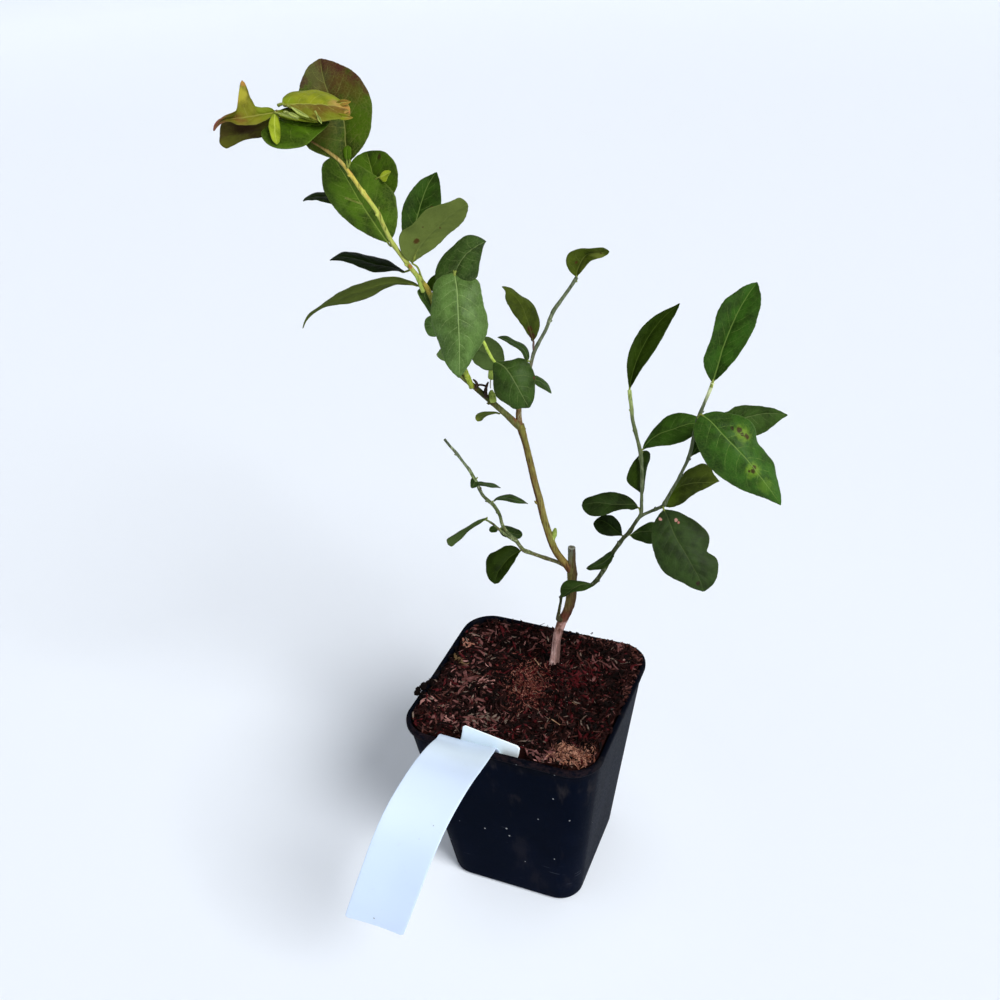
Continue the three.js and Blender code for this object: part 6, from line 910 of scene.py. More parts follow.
KN = lambda *at: tuple((a, 0.15, 1.5) for a in at)
stem_piece("trunk_bark", "trunk", "bark", ["trunk"], WOOD_TRUNK, 0.4, 40, ((0.36, 0.10, 5), (0.62, 0.12, 4), (0.78, 0.14, 3.2), (0.985, 0.04, 1.2)), 1.9, seed=3)
stem_piece("main_shoot_low", "main_low", "green_wood", ["main_shoot_lower"], WOOD_MAIN, 0.5, 24, ((0.02, 0.22, 4), (0.5, 0.06, 3), (0.97, 0.16, 3.4)), 1.0, seed=4, joint=(11.5, 27.0, 149.0))
stem_piece("main_shoot_up", "main_up", "green_wood", ["main_shoot_middle", "main_shoot_upper"], WOOD_UP, 0.5, 18, KN(0.12, 0.27, 0.42, 0.5, 0.545, 0.6, 0.68, 0.74, 0.79, 0.86), 0.9, thicker=-0.18, seed=5, joint=(-6.0, 19.6, 221.0))
stem_piece("side_shoot_wood", "side", "green_wood", ["side_shoot"], WOOD_SIDE, 0.5, 14, KN(0.2, 0.38, 0.52, 0.68, 0.8), 0.9, thicker=0.28, seed=6, joint=(-7.0, 19.2, 222.8))
stem_piece("centre_twig_wood", "twig", "green_wood", ["centre_twig"], WOOD_TWIG, 0.5, 14, KN(0.1, 0.35, 0.6), 0.8, seed=7)
stem_piece("left_twig_wood", "left", "green_wood", ["left_twig"], WOOD_LEFT, 0.45, 14, KN(0.14, 0.24, 0.33, 0.43, 0.52, 0.6, 0.68, 0.8, 0.9), 1.0, thicker=0.28, seed=8, joint=(11.6, 27.0, 150.4))
stem_piece("left_fork_wood", "left_fork", "green_wood", ["left_twig_fork"], WOOD_LEFT, 0.45, 12, KN(0.4, 0.75), 1.0, seed=9)
stem_piece("right_shoot_wood", "right_low", "green_wood", ["right_shoot"], WOOD_RIGHT, 0.5, 18, ((0.03, 0.3, 3.2),) + KN(0.22, 0.38, 0.5, 0.6, 0.7, 0.8, 0.9), 1.2, seed=10, joint=(7.9, 25.4, 121.5))
stem_piece("right_inner_wood", "right_in", "green_wood", ["right_fork_inner"], WOOD_INNER, 0.45, 12, KN(0.15, 0.3, 0.48, 0.7, 0.85), 0.9, thicker=0.36, seed=12, joint=(42.6, 25.8, 183.6))
stem_piece("right_outer_wood", "right_out", "green_wood", ["right_fork_outer"], WOOD_OUTER, 0.45, 12, KN(0.12, 0.24, 0.4, 0.52, 0.68, 0.82), 0.9, thicker=0.36, seed=13, joint=(42.6, 25.8, 183.6))


def cut_face():
    """The pale sawn top of the stub, a thin uneven disc."""
    x, y, z = (c * 1000 for c in CUT_AT)
    rings = []
    for r, h in ((1.5, -0.5), (1.66, -0.25), (1.62, 0.0), (1.45, 0.14), (1.0, 0.10), (0.55, 0.02)):
        a = np.linspace(0, 2 * np.pi, 24, endpoint=False)
        k = 1 + 0.05 * np.sin(3 * a + 1) + 0.03 * np.sin(7 * a)
        rings.append(np.stack([x + r * k * np.cos(a), y + r * k * np.sin(a), z + h + 0.12 * np.cos(a + 2.0) * r], -1))
    V = np.vstack([np.array(rings).reshape(-1, 3), [[x, y, z - 0.55]], [[x, y, z - 0.02]]])
    buf = Buf()
    buf.add(V, grid_faces(6, 24, wrap=True))
    buf.f += [[144, (j + 1) % 24, j] for j in range(24)] + [[145, 120 + j, 120 + (j + 1) % 24] for j in range(24)]
    buf.mat += [0] * 48
    ob = buf.make("trunk_cut", [cut_material()])
    fix_faces(ob)
    return finish_piece(ob, "bark", "trunk")


cut_face()


def twiglets(name, rows, mat, node, slot="green_wood", sides=8, rough=0.10):
    """Short curved bits of wood; rows of (points mm, radii mm)."""
    buf = Buf()
    for k, (pts, rad) in enumerate(rows):
        Q = np.c_[np.asarray(pts, float), np.asarray(rad, float)]
        total = np.linalg.norm(np.diff(Q[:, :3], axis=0), axis=1).sum()
        Q = spline(Q, np.linspace(0, 1, int(np.clip(total / 0.35, 6, 60))))
        rel = rough * Q[:, 3:4] * vnoise(np.stack([np.arange(len(Q))[:, None] * 0.45 + 0 * np.arange(sides)[None], np.arange(sides)[None] * 0.9 + 0 * Q[:, 3:4], 0 * Q[:, 3:4] + k + 0 * np.arange(sides)[None]], -1), 5 + k)
        V, F, uv, tri = tube(Q[:, :3], np.maximum(Q[:, 3], 0.05), sides, relief=rel)
        base = buf.n
        buf.add(V, F)
        buf.f += [[int(i) + base for i in f] for f in tri]
        buf.mat += [0] * len(tri)
    ob = buf.make(name, [mat])
    fix_faces(ob)
    return finish_piece(ob, slot, node)


twiglets("buds_pale", [
    ([(3.4, 23.2, 165.4), (4.5, 24.6, 167.6), (5.0, 26.4, 170.6)], [1.1, 1.5, 0.4]),
    ([(-15.4, 12.2, 236.4), (-16.4, 13.2, 238.6), (-16.8, 13.8, 240.8)], [1.3, 1.6, 0.6]),
    ([(-17.5, 15.6, 245.4), (-16.8, 15.5, 248.6), (-17.5, 16.3, 250.6)], [1.3, 1.5, 0.5]),
    ([(-37.6, 1.4, 285.4), (-38.6, 0.4, 289.6), (-40.0, -0.6, 294.6)], [0.9, 0.7, 0.7])], BUD, "main_shoot_upper")
twiglets("knob_lime", [([(-23.0, 9.6, 243.2), (-23.7, 8.7, 245.4), (-24.4, 8.3, 247.8), (-25.3, 7.7, 251.5)], [0.8, 1.15, 1.2, 1.1])], LIME, "centre_twig")
twiglets("twiglets_dead", [
    ([(-21.6, 9.4, 243.0), (-21.4, 9.8, 245.2), (-22.9, 9.9, 246.6)], [0.5, 0.6, 0.3]),
    ([(-21.3, 9.6, 244.2), (-20.0, 10.9, 244.1), (-18.5, 12.2, 243.2)], [0.5, 0.45, 0.4]),
    ([(-17.8, 10.4, 238.8), (-18.2, 10.9, 240.3), (-18.4, 12.4, 242.7), (-17.8, 13.4, 244.6)], [0.7, 0.8, 0.6, 0.3])], DEAD, "centre_twig")
twiglets("twiglet_grey", [([(-17.2, 13.8, 241.6), (-17.4, 14.6, 244.2), (-17.4, 15.2, 246.2)], [0.22, 0.26, 0.2])], PALEWOOD, "centre_twig")


# ---------------------------------------------------------------- pot
POT_TOP, POT_FOOT, POT_HEIGHT, LIP_OUT = 90.0, 64.4, 99.0, 0.9
RIM_WIDER = 0.02  # the walls bow a little to the sides at the rim


def pot_side(z):
    k = z / POT_HEIGHT
    return (POT_FOOT + (POT_TOP - 2 * LIP_OUT - POT_FOOT) * k) / 2, 11 + (14 - LIP_OUT - 11) * k


def square_ring(half, corner, z, arc=12, flat=14):
    pts = []
    for q in range(4):
        sx, sy = (1 if q in (0, 3) else -1), (1 if q < 2 else -1)
        cx, cy = sx * (half - corner), sy * (half - corner)
        for i in range(arc + 1):
            a = math.pi / 2 * (q + i / arc)
            pts.append((cx + corner * math.cos(a), cy + corner * math.sin(a), z))
        nx, ny = pts[-1][0], pts[-1][1]
        q2 = (q + 1) % 4
        sx2, sy2 = (1 if q2 in (0, 3) else -1), (1 if q2 < 2 else -1)
        ex, ey = sx2 * (half - corner) + corner * math.cos(math.pi / 2 * (q + 1)), sy2 * (half - corner) + corner * math.sin(math.pi / 2 * (q + 1))
        for i in range(1, flat):
            f = i / flat
            pts.append((nx + (ex - nx) * f, ny + (ey - ny) * f, z))
    return np.array(pts)


def pot_material():
    m = Mat("pot_plastic", roughness=0.5, specular=0.008)
    p = m.coord("Object")
    broad = m.noise(p, 22, 3, 0.55)
    fine = m.noise(p, 900, 3, 0.6)
    grain = m.noise(p, 3200, 2, 0.5)
    col = m.mix(m.smooth(broad, 0.35, 0.7), lin((2, 7, 20)), lin((5, 11, 26)))
    # dried smears of soil towards the rim and faint rubbed lines
    px, py, pz = m.xyz(p)
    smear = m.math("MULTIPLY", m.smooth(m.noise(m.mapping(p, scale=(1, 1, 0.35)), 75, 4, 0.65), 0.56, 0.72), m.smooth(pz, 0.035, 0.099, 0.25, 0.9))
    col = m.mix(m.math("MULTIPLY", smear, 0.22), col, lin((92, 84, 78)))
    rub = m.smooth(m.noise(m.mapping(p, scale=(0.10, 0.10, 1), rot=(0, 0.5, 0.3)), 900, 2, 0.5), 0.70, 0.76)
    rub = m.math("MULTIPLY", rub, m.smooth(m.noise(p, 40, 2, 0.5), 0.50, 0.64))
    col = m.mix(m.math("MULTIPLY", rub, 0.35), col, lin((96, 100, 110)))
    dust = m.voronoi(p, 190, "F1")
    size = m.noise(p, 130, 1, 0.5)
    dots = m.math("MULTIPLY", m.smooth(dust, 0.085, 0.04), m.smooth(size, 0.62, 0.68))
    col = m.mix(m.math("MULTIPLY", dots, 0.75), col, lin((196, 198, 200)))
    lip = m.math("MULTIPLY", m.smooth(pz, 0.0955, 0.0968), m.smooth(py, -0.034, -0.042))
    lip = m.math("MULTIPLY", lip, m.smooth(m.noise(p, 420, 4, 0.7), 0.38, 0.60))
    col = m.mix(m.math("MULTIPLY", lip, 0.3), col, lin((84, 60, 58)))
    col = m.mix(m.smooth(pz, 0.088, 0.096, 0.0, 0.6), col, lin((9, 10, 14)))
    for sx, sz, sr in ((1.6, 46.0, 0.55), (-9.5, 41.5, 0.45), (2.6, 41.0, 0.5), (18.0, 60.0, 0.35), (24.0, 33.0, 0.35), (-30.0, 22.0, 0.35), (9.0, 24.0, 0.3)):
        dx, dz = m.math("SUBTRACT", m.math("MULTIPLY", px, 1000.0), sx), m.math("SUBTRACT", m.math("MULTIPLY", pz, 1000.0), sz)
        d = m.math("SQRT", m.math("ADD", m.math("MULTIPLY", dx, dx), m.math("MULTIPLY", dz, dz)))
        col = m.mix(m.math("MULTIPLY", m.smooth(d, sr, sr * 0.5), m.smooth(py, -0.02, -0.025, 0.0, 0.8)), col, lin((186, 188, 190)))
    m.colour(col)
    m.rough(m.math("ADD", m.linear(fine, 0.3, 0.7, 0.42, 0.56), m.math("MULTIPLY", m.math("MAXIMUM", dots, smear), 0.25)))
    h = m.math("ADD", m.math("MULTIPLY", broad, 1.0), m.math("ADD", m.math("MULTIPLY", fine, 0.05), m.math("MULTIPLY", grain, 0.03)))
    m.normal(m.bump(h, 0.5, 0.0006))
    return m.m


def build_pot():
    wall, floor = 1.2, 1.6
    half = POT_TOP / 2
    rows = []
    h0, c0 = pot_side(0)
    # foot, with a rounded edge
    r = 1.9
    rows.append((h0 - 9, max(c0 - 4, 4), 0.0))
    for i in range(6):
        a = math.pi / 2 * i / 5
        z = r * (1 - math.cos(a))
        hz, cz = pot_side(z)
        off = r * (1 - math.sin(a))
        rows.append((hz - off, cz - off, z))
    for z in np.linspace(6, 94.6, 26):
        hz, cz = pot_side(z)
        rows.append((hz, cz, z))
    # lip: a small step outwards with rounded edges, then over the top and down the inside
    lz = POT_HEIGHT - 3.2
    hl, cl = pot_side(lz)
    for off, z in ((0.0, lz - 0.25), (0.12, lz - 0.02), (0.55, lz + 0.08), (0.9, lz + 0.3), (1.0, lz + 0.75)):
        rows.append((hl + off * (half - hl) / 1.0, cl + off * (14 - cl), z))
    rows += [(half, 14, POT_HEIGHT - 0.9), (half - 0.08, 13.92, POT_HEIGHT - 0.4), (half - 0.3, 13.7, POT_HEIGHT - 0.08), (half - 0.62, 13.4, POT_HEIGHT)]
    hi, ci = pot_side(POT_HEIGHT)
    rows += [(hi - wall + 0.35, ci - wall + 0.35, POT_HEIGHT - 0.02), (hi - wall + 0.08, ci - wall + 0.08, POT_HEIGHT - 0.3), (hi - wall, ci - wall, POT_HEIGHT - 0.8)]
    for z in np.linspace(POT_HEIGHT - 6, 6, 12):
        hz, cz = pot_side(z)
        rows.append((hz - wall, cz - wall, z))
    hz, cz = pot_side(floor)
    rows += [(hz - wall - 0.4, cz - wall - 0.3, floor + 0.5), (hz - wall - 1.2, cz - wall - 1, floor), (hz - 9 - wall, 4, floor)]
    rings = np.array([square_ring(*row) for row in rows])
    n = rings.shape[1]
    # thin walls bow a little, and the rim isn't quite straight
    ang = np.arctan2(rings[..., 1], rings[..., 0])
    zz = rings[..., 2]
    bow = 0.35 * np.sin(np.pi * np.clip(zz / POT_HEIGHT, 0, 1)) * (np.cos(2 * ang) ** 2) * -1
    bow = bow + 0.18 * (zz / POT_HEIGHT) ** 2 * np.sin(3 * ang + 0.8)
    rad = unit(np.stack([rings[..., 0], rings[..., 1], 0 * zz], -1))
    rings = rings + rad * bow[..., None] * np.clip(zz / 6, 0, 1)[..., None]
    rings[..., 0] *= 1 + RIM_WIDER * zz / POT_HEIGHT
    V = rings.reshape(-1, 3)
    k = len(rows)
    buf = Buf()
    V = np.vstack([V, [[0, 0, 0.0], [0, 0, floor]]])
    buf.add(V, grid_faces(k, n, wrap=True))
    c0i, c1i = len(V) - 2, len(V) - 1
    buf.f += [[c0i, (j + 1) % n, j] for j in range(n)] + [[c1i, (k - 1) * n + j, (k - 1) * n + (j + 1) % n] for j in range(n)]
    buf.mat += [0] * (2 * n)
    ob = buf.make("nursery_pot", [pot_material()])
    fix_faces(ob)
    # drainage holes, cut where the floor has them
    cutters = []
    for sx, sy in ((1, 1), (-1, 1), (-1, -1), (1, -1)):
        b = Buf()
        ring = lambda z: np.array([(sx * 17 + 3.6 * math.cos(2 * math.pi * i / 32), sy * 17 + 3.6 * math.sin(2 * math.pi * i / 32), z) for i in range(32)])
        vv = np.vstack([ring(-3), ring(4), [[sx * 17, sy * 17, -3]], [[sx * 17, sy * 17, 4]]])
        b.add(vv, grid_faces(2, 32, wrap=True))
        b.f += [[64, (j + 1) % 32, j] for j in range(32)] + [[65, 32 + j, 32 + (j + 1) % 32] for j in range(32)]
        b.mat += [0] * 64
        c = b.make("cutter", [])
        fix_faces(c)
        mod = ob.modifiers.new("hole", "BOOLEAN")
        mod.operation, mod.object, mod.solver = "DIFFERENCE", c, "EXACT"
        cutters.append(c)
    bpy.context.view_layer.update()
    deps = bpy.context.evaluated_depsgraph_get()
    me = bpy.data.meshes.new_from_object(ob.evaluated_get(deps))
    ob.modifiers.clear()
    ob.data = me
    for c in cutters:
        bpy.data.objects.remove(c, do_unlink=True)
    me.polygons.foreach_set("use_smooth", np.full(len(me.polygons), True))
    try:
        me.set_sharp_from_angle(angle=math.radians(50))
    except Exception:
        pass
    return finish_piece(ob, "pot", "pot")


build_pot()


# ---------------------------------------------------------------- potting soil
SOIL_BRIM = (29.0, 14.0, 98.5)  # the soil climbs to this height against the walls


def soil_height(x, y):
    """Broad form of the surface, the same as the solid's."""
    g = lambda bx, by, h, s: h * np.exp(-((x - bx) ** 2 + (y - by) ** 2) / (2 * s * s))
    e = np.clip((np.maximum(np.abs(x), np.abs(y)) - SOIL_BRIM[0]) / SOIL_BRIM[1], 0, 1)
    e = e * e * (3 - 2 * e)
    h = 94.2 + g(24, 26, 3.4, 17) + g(-6, 36, -2.2, 12) + g(-46, -10, 2.6, 20) + g(6, -38, 2.4, 20)
    return h + (SOIL_BRIM[2] - h) * e + 0.8 * (np.sin(0.31 * x + 1.3) * np.cos(0.27 * y) + 0.6 * np.sin(0.53 * y + 0.4 * x))


def soil_top(x, y):
    """Lumpy surface with its small relief."""
    P = np.stack([x * 0.09, y * 0.09, 0 * x], -1)
    h = soil_height(x, y) + 0.9 * fbm(P, 2, 31) + 0.8 * np.abs(fbm(P * 3.4, 3, 47)) + 0.5 * fbm(P * 9, 2, 53)
    # lower under the label, and a loose clump on top, front right
    low = np.clip((x + 30) / 4, 0, 1) * np.clip((17 - x) / 4, 0, 1) * np.clip((-36.5 - y) / 2.5, 0, 1)
    h = h - low * np.maximum(0, h - 95.6)
    return h + 2.4 * np.exp(-(((x - 28.6) / 5.0) ** 2 + ((y + 33) / 4.2) ** 2))


def soil_material(name, dark, mid, light, scale=1.0):
    m = Mat(name, roughness=0.95, specular=0.04)
    p = m.coord("Object")
    a = m.noise(p, 260 * scale, 5, 0.7)
    b = m.noise(p, 60 * scale, 3, 0.6)
    fib = m.noise(m.mapping(p, scale=(1, 0.18, 1), rot=(0, 0, 0.7)), 900, 3, 0.6)
    col = m.ramp(a, [(0.28, lin(dark)), (0.50, lin(mid)), (0.74, lin(light))])
    col = m.mix(m.math("MULTIPLY", m.smooth(b, 0.45, 0.7), 0.55), col, lin(dark))
    col = m.mix(m.math("MULTIPLY", m.smooth(fib, 0.60, 0.72), 0.35), col, lin(light))
    d = m.node("ShaderNodeVectorMath", {0: p, 1: (0.014, 0.002, 0.096)}, operation="DISTANCE").outputs["Value"]
    col = m.mix(m.smooth(d, 0.028, 0.010, 0.0, 0.6), col, lin((58, 9, 10)))
    for sx, sy, r, tone in ((-0.0019, 0.0053, 0.011, (82, 44, 36)), (0.032, -0.034, 0.0085, (86, 54, 44))):
        d = m.node("ShaderNodeVectorMath", {0: p, 1: (sx, sy, 0.096)}, operation="DISTANCE").outputs["Value"]
        col = m.mix(m.math("MULTIPLY", m.smooth(d, r, r * 0.45, 0.0, 0.85), m.smooth(a, 0.40, 0.55, 0.25, 1.0)), col, lin(tone))
    m.colour(col)
    m.normal(m.bump(m.math("ADD", a, m.math("MULTIPLY", fib, 0.5)), 0.9, 0.0008))
    return m.m


def inside(x, y, z=95.0, room=1.6):
    half, corner = pot_side(z)
    half, corner = half - room, corner - room
    dx, dy = abs(x) - (half - corner), abs(y) - (half - corner)
    if dx <= 0 or dy <= 0:
        return abs(x) <= half and abs(y) <= half
    return dx * dx + dy * dy <= corner * corner


def build_soil():
    rings, n = [], None
    K = 64
    h, c = pot_side(94)
    h, c = h - 1.35, c - 1.35
    for k in range(K):
        f = 1 - k / K
        rg = square_ring(h * f, min(c * (0.25 + 0.75 * f), h * f * 0.98), 0, arc=16, flat=34)
        rg[:, 2] = soil_top(rg[:, 0], rg[:, 1]) - (1.0 if k == 0 else 0.3 if k == 1 else 0)
        rings.append(rg)
    skirt = rings[0].copy()
    skirt[:, 2] = 84
    hs = (pot_side(84)[0] - 1.4) / h
    skirt[:, :2] *= hs
    rings = np.array([skirt] + rings)
    rings[..., 0] *= 1 + RIM_WIDER * 0.9
    n = rings.shape[1]
    k = rings.shape[0]
    V = np.vstack([rings.reshape(-1, 3), [[0, 0, 84]], [[0, 0, float(soil_top(np.array(0.0), np.array(0.0)))]]])
    buf = Buf()
    buf.add(V, grid_faces(k, n, wrap=True))
    a, b = len(V) - 2, len(V) - 1
    buf.f += [[a, (j + 1) % n, j] for j in range(n)] + [[b, (k - 1) * n + j, (k - 1) * n + (j + 1) % n] for j in range(n)]
    buf.mat += [0] * (2 * n)
    ob = buf.make("soil_bed", [soil_material("peat", (7, 3, 3), (30, 11, 9), (58, 26, 21))])
    fix_faces(ob)
    finish_piece(ob, "soil", "soil")


build_soil()


ICO = None


def ico():
    global ICO
    if ICO is None:
        g = (1 + 5**0.5) / 2
        v = unit(np.array([(-1, g, 0), (1, g, 0), (-1, -g, 0), (1, -g, 0), (0, -1, g), (0, 1, g), (0, -1, -g), (0, 1, -g), (g, 0, -1), (g, 0, 1), (-g, 0, -1), (-g, 0, 1)], float))
        f = [(0, 11, 5), (0, 5, 1), (0, 1, 7), (0, 7, 10), (0, 10, 11), (1, 5, 9), (5, 11, 4), (11, 10, 2), (10, 7, 6), (7, 1, 8), (3, 9, 4), (3, 4, 2), (3, 2, 6), (3, 6, 8), (3, 8, 9), (4, 9, 5), (2, 4, 11), (6, 2, 10), (8, 6, 7), (9, 8, 1)]
        ICO = (v, f)
    return ICO


def plain(name, rgb, var, rough=0.9, spec=0.05):
    m = Mat(name, roughness=rough, specular=spec)
    p = m.coord("Object")
    a = m.noise(p, 420, 3, 0.6)
    m.colour(m.ramp(a, [(0.3, lin([max(0, c - var) for c in rgb])), (0.7, lin([min(255, c + var) for c in rgb]))]))
    m.normal(m.bump(m.noise(p, 1400, 2, 0.6), 0.5, 0.0003))
    return m.m


def label_zone(x, y):
    return -27 < x < 14 and y < -38.5


def scatter_spots(rnd, count, zones=None, room=2.2):
    out = []
    while len(out) < count:
        if zones and rnd.random() < 0.999:
            zx, zy, zs = rnd.choice(zones)
            x, y = rnd.gauss(zx, zs), rnd.gauss(zy, zs)
        else:
            x, y = rnd.uniform(-43, 43), rnd.uniform(-43, 43)
        if not inside(x, y, 94, room) or label_zone(x, y) or (x - 4.2) ** 2 + (y - 24) ** 2 < 2.4**2:
            continue
        out.append((x, y))
    return out


def crumbs(name, count, size, mat, seed, zones=None, flat=(0.5, 1.0), sink=0.35, slot="soil", extra=()):
    rnd = random.Random(seed)
    v0, f0 = ico()
    spots = [(x, y, None) for x, y in scatter_spots(rnd, count, zones)] + list(extra)
    V, F = [], []
    xs = np.array([s[0] for s in spots])
    ys = np.array([s[1] for s in spots])
    zs = soil_top(xs, ys)
    for k, (x, y, zfix) in enumerate(spots):
        r = size[0] * (size[1] / size[0]) ** (rnd.random() ** 2.0)
        sc = np.array([r * rnd.uniform(0.6, 1.3), r * rnd.uniform(0.6, 1.3), r * rnd.uniform(*flat)])
        w = v0 * (1 + 0.34 * (np.array([rnd.random() for _ in range(12)]) - 0.5))[:, None] * sc
        a, b, c = rnd.uniform(0, 6.28), rnd.gauss(0, 0.4), rnd.gauss(0, 0.4)
        R = np.array(Matrix.Rotation(a, 3, "Z") @ Matrix.Rotation(b, 3, "X") @ Matrix.Rotation(c, 3, "Y"))
        z = (zs[k] if zfix is None else zfix) + r * (0.5 - sink)
        V.append(w @ R.T + [x, y, z])
        F += [[i + 12 * k for i in f] for f in f0]
    buf = Buf()
    buf.add(np.concatenate(V), F)
    ob = buf.make(name, [mat], smooth=False)
    return finish_piece(ob, slot, "soil")


def fibres(name, count, length, radius, mat, seed, zones=None, lift=0.5, slot="soil"):
    rnd = random.Random(seed)
    spots = scatter_spots(rnd, count, zones, room=3.0)
    VV, FF, base = [], [], 0
    for x, y in spots:
        L = rnd.uniform(*length)
        a = rnd.uniform(0, 6.28)
        n = 7
        bend = rnd.gauss(0, 0.8)
        t = np.linspace(-0.5, 0.5, n)
        ang = a + bend * t
        px = x + np.cumsum(np.cos(ang)) * L / n - np.cos(a) * L / 2
        py = y + np.cumsum(np.sin(ang)) * L / n - np.sin(a) * L / 2
        ok = [inside(p, q, 94, 2.2) and not label_zone(p, q) for p, q in zip(px, py)]
        if not all(ok):
            continue
        up = rnd.uniform(0, lift) * np.maximum(0, np.sin(np.pi * (t + 0.5) + rnd.uniform(-0.6, 0.6)))
        pz = soil_top(px, py) + rnd.uniform(0.0, 0.35) + up
        pz = 0.5 * pz + 0.5 * np.convolve(np.pad(pz, 2, mode="edge"), np.ones(5) / 5, "valid")
        P = np.stack([px, py, pz], -1)
        r = rnd.uniform(*radius)
        R = r * (1 - 0.75 * np.abs(2 * t) ** 2.5)
        V, F, uv, tri = tube(P, np.maximum(R, 0.03), 4)
        VV.append(V)
        FF += [[i + base for i in f] for f in F + tri]
        base += len(V)
    buf = Buf()
    buf.add(np.concatenate(VV), FF)
    ob = buf.make(name, [mat])
    return finish_piece(ob, slot, "soil")


def zone_points(rng, count, zones, room=2.4):
    """Places on the soil: anywhere, or about zones of (x, y, spread along, spread across, angle)."""
    out = []
    while len(out) < count:
        if zones is None:
            x, y = rng.uniform(-44.5, 44.5), rng.uniform(-44.5, 44.5)
        else:
            zx, zy, sa, sc, ang = zones[rng.integers(len(zones))]
            u, v = rng.normal(0, sa), rng.normal(0, sc)
            x, y = zx + u * math.cos(ang) - v * math.sin(ang), zy + u * math.sin(ang) + v * math.cos(ang)
        if inside(x, y, 98, room) and not label_zone(x, y) and (x - 4.2) ** 2 + (y - 24) ** 2 > 2.6**2:
            out.append((x, y))
    return np.array(out)


def rim_points(rng, count, runs, over=0.9, within=3.2):
    """Places heaped along the inside of the rim and a little over it: runs of (side, from, to), side +-1 for x, +-2 for y, 3 for the corner."""
    edge, corner = pot_side(99.0)
    edge, corner = edge - 1.4, corner - 1.4
    out = []
    for _ in range(count):
        side, a, b = runs[rng.integers(len(runs))]
        s, off = rng.uniform(a, b), rng.uniform(-over, within)
        r = (edge - off) * (1 if side > 0 else -1)
        if side == 3:  # round the corner at +x +y
            a2 = math.pi / 2 * (s - a) / (b - a)
            q = corner - off
        z = 98.4 + 1.2 * rng.random() if off > 0.3 else POT_HEIGHT + 0.1 + rng.uniform(0.0, 0.35)
        if side == 3:
            out.append(((edge - corner + q * math.cos(a2)) * (1 + RIM_WIDER * 0.9), edge - corner + q * math.sin(a2), z))
        else:
            out.append((r * (1 + RIM_WIDER * 0.9), s, z) if abs(side) == 1 else (s, r, z))
    return np.array(out)


def shreds(name, count, length, width, mat, seed, zones=None, lift=(-0.2, 0.7), tilt=0.25, flat=(0.35, 0.8), slot="soil", runs=None):
    """Torn, flat-sided splinters and fibres of peat, each a bent, tapering bar."""
    rng = np.random.default_rng(seed)
    C = zone_points(rng, count, zones, 0.9) if runs is None else rim_points(rng, count, runs)
    zc = C[:, 2] if runs is not None else None
    C = C[:, :2]
    a = rng.uniform(0, 2 * np.pi, count)
    L = length[0] * (length[1] / length[0]) ** (rng.random(count) ** 1.5)
    W = rng.uniform(*width, count)
    H = W * rng.uniform(*flat, count)
    bend = rng.normal(0, 0.32, count)
    t = np.array([-0.5, -0.2, 0.15, 0.5])
    tap = np.array([0.25, 1.0, 0.85, 0.12])
    ang = a[:, None] + bend[:, None] * t
    X = C[:, :1] + np.cos(ang) * L[:, None] * t
    Y = C[:, 1:] + np.sin(ang) * L[:, None] * t
    ok = np.array([all(inside(x, y, 98, 0.7) and not label_zone(x, y) for x, y in zip(xs, ys)) for xs, ys in zip(X, Y)])
    if runs is not None:
        ok = np.full(count, True)
    X, Y, ang, L, W, H, C = X[ok], Y[ok], ang[ok], L[ok], W[ok], H[ok], C[ok]
    n = len(X)
    Z = soil_top(X, Y) if runs is None else zc[:, None] + 0 * X
    Z = 0.45 * Z + 0.55 * Z.mean(1, keepdims=True) + rng.uniform(*lift, n)[:, None] + rng.normal(0, tilt, n)[:, None] * t * np.minimum(L, 4)[:, None]
    Z = Z + 0.12 * L[:, None] * rng.normal(0, 0.5, n)[:, None] * (0.25 - t**2)
    roll = rng.normal(0, 0.6, n)[:, None] + 0 * t
    T = unit(np.stack([np.gradient(X, axis=1), np.gradient(Y, axis=1), np.gradient(Z, axis=1)], -1))
    S = unit(np.cross(T, [0, 0, 1.0]))
    U = np.cross(S, T)
    S2 = S * np.cos(roll)[..., None] + U * np.sin(roll)[..., None]
    U2 = np.cross(S2, T)
    w = (W[:, None] * tap / 2)[..., None]
    h = (H[:, None] * tap / 2)[..., None]
    P = np.stack([X, Y, Z], -1)
    jit = lambda: 1 + 0.6 * (rng.random((n, 4, 1)) - 0.5)
    ring = np.stack([P + S2 * w * jit() + U2 * h * jit(), P - S2 * w * jit() + U2 * h * jit(), P - S2 * w * jit() - U2 * h * jit(), P + S2 * w * jit() - U2 * h * jit()], 2)
    V = ring.reshape(-1, 3)
    q = grid_faces(4, 4, wrap=True) + [[3, 2, 1, 0], [12, 13, 14, 15]]
    F = (np.array(q)[None] + 16 * np.arange(n)[:, None, None]).reshape(-1, 4)
    buf = Buf()
    buf.add(V, F.tolist())
    ob = buf.make(name, [mat], smooth=False)
    fix_faces(ob)
    return finish_piece(ob, slot, "soil")


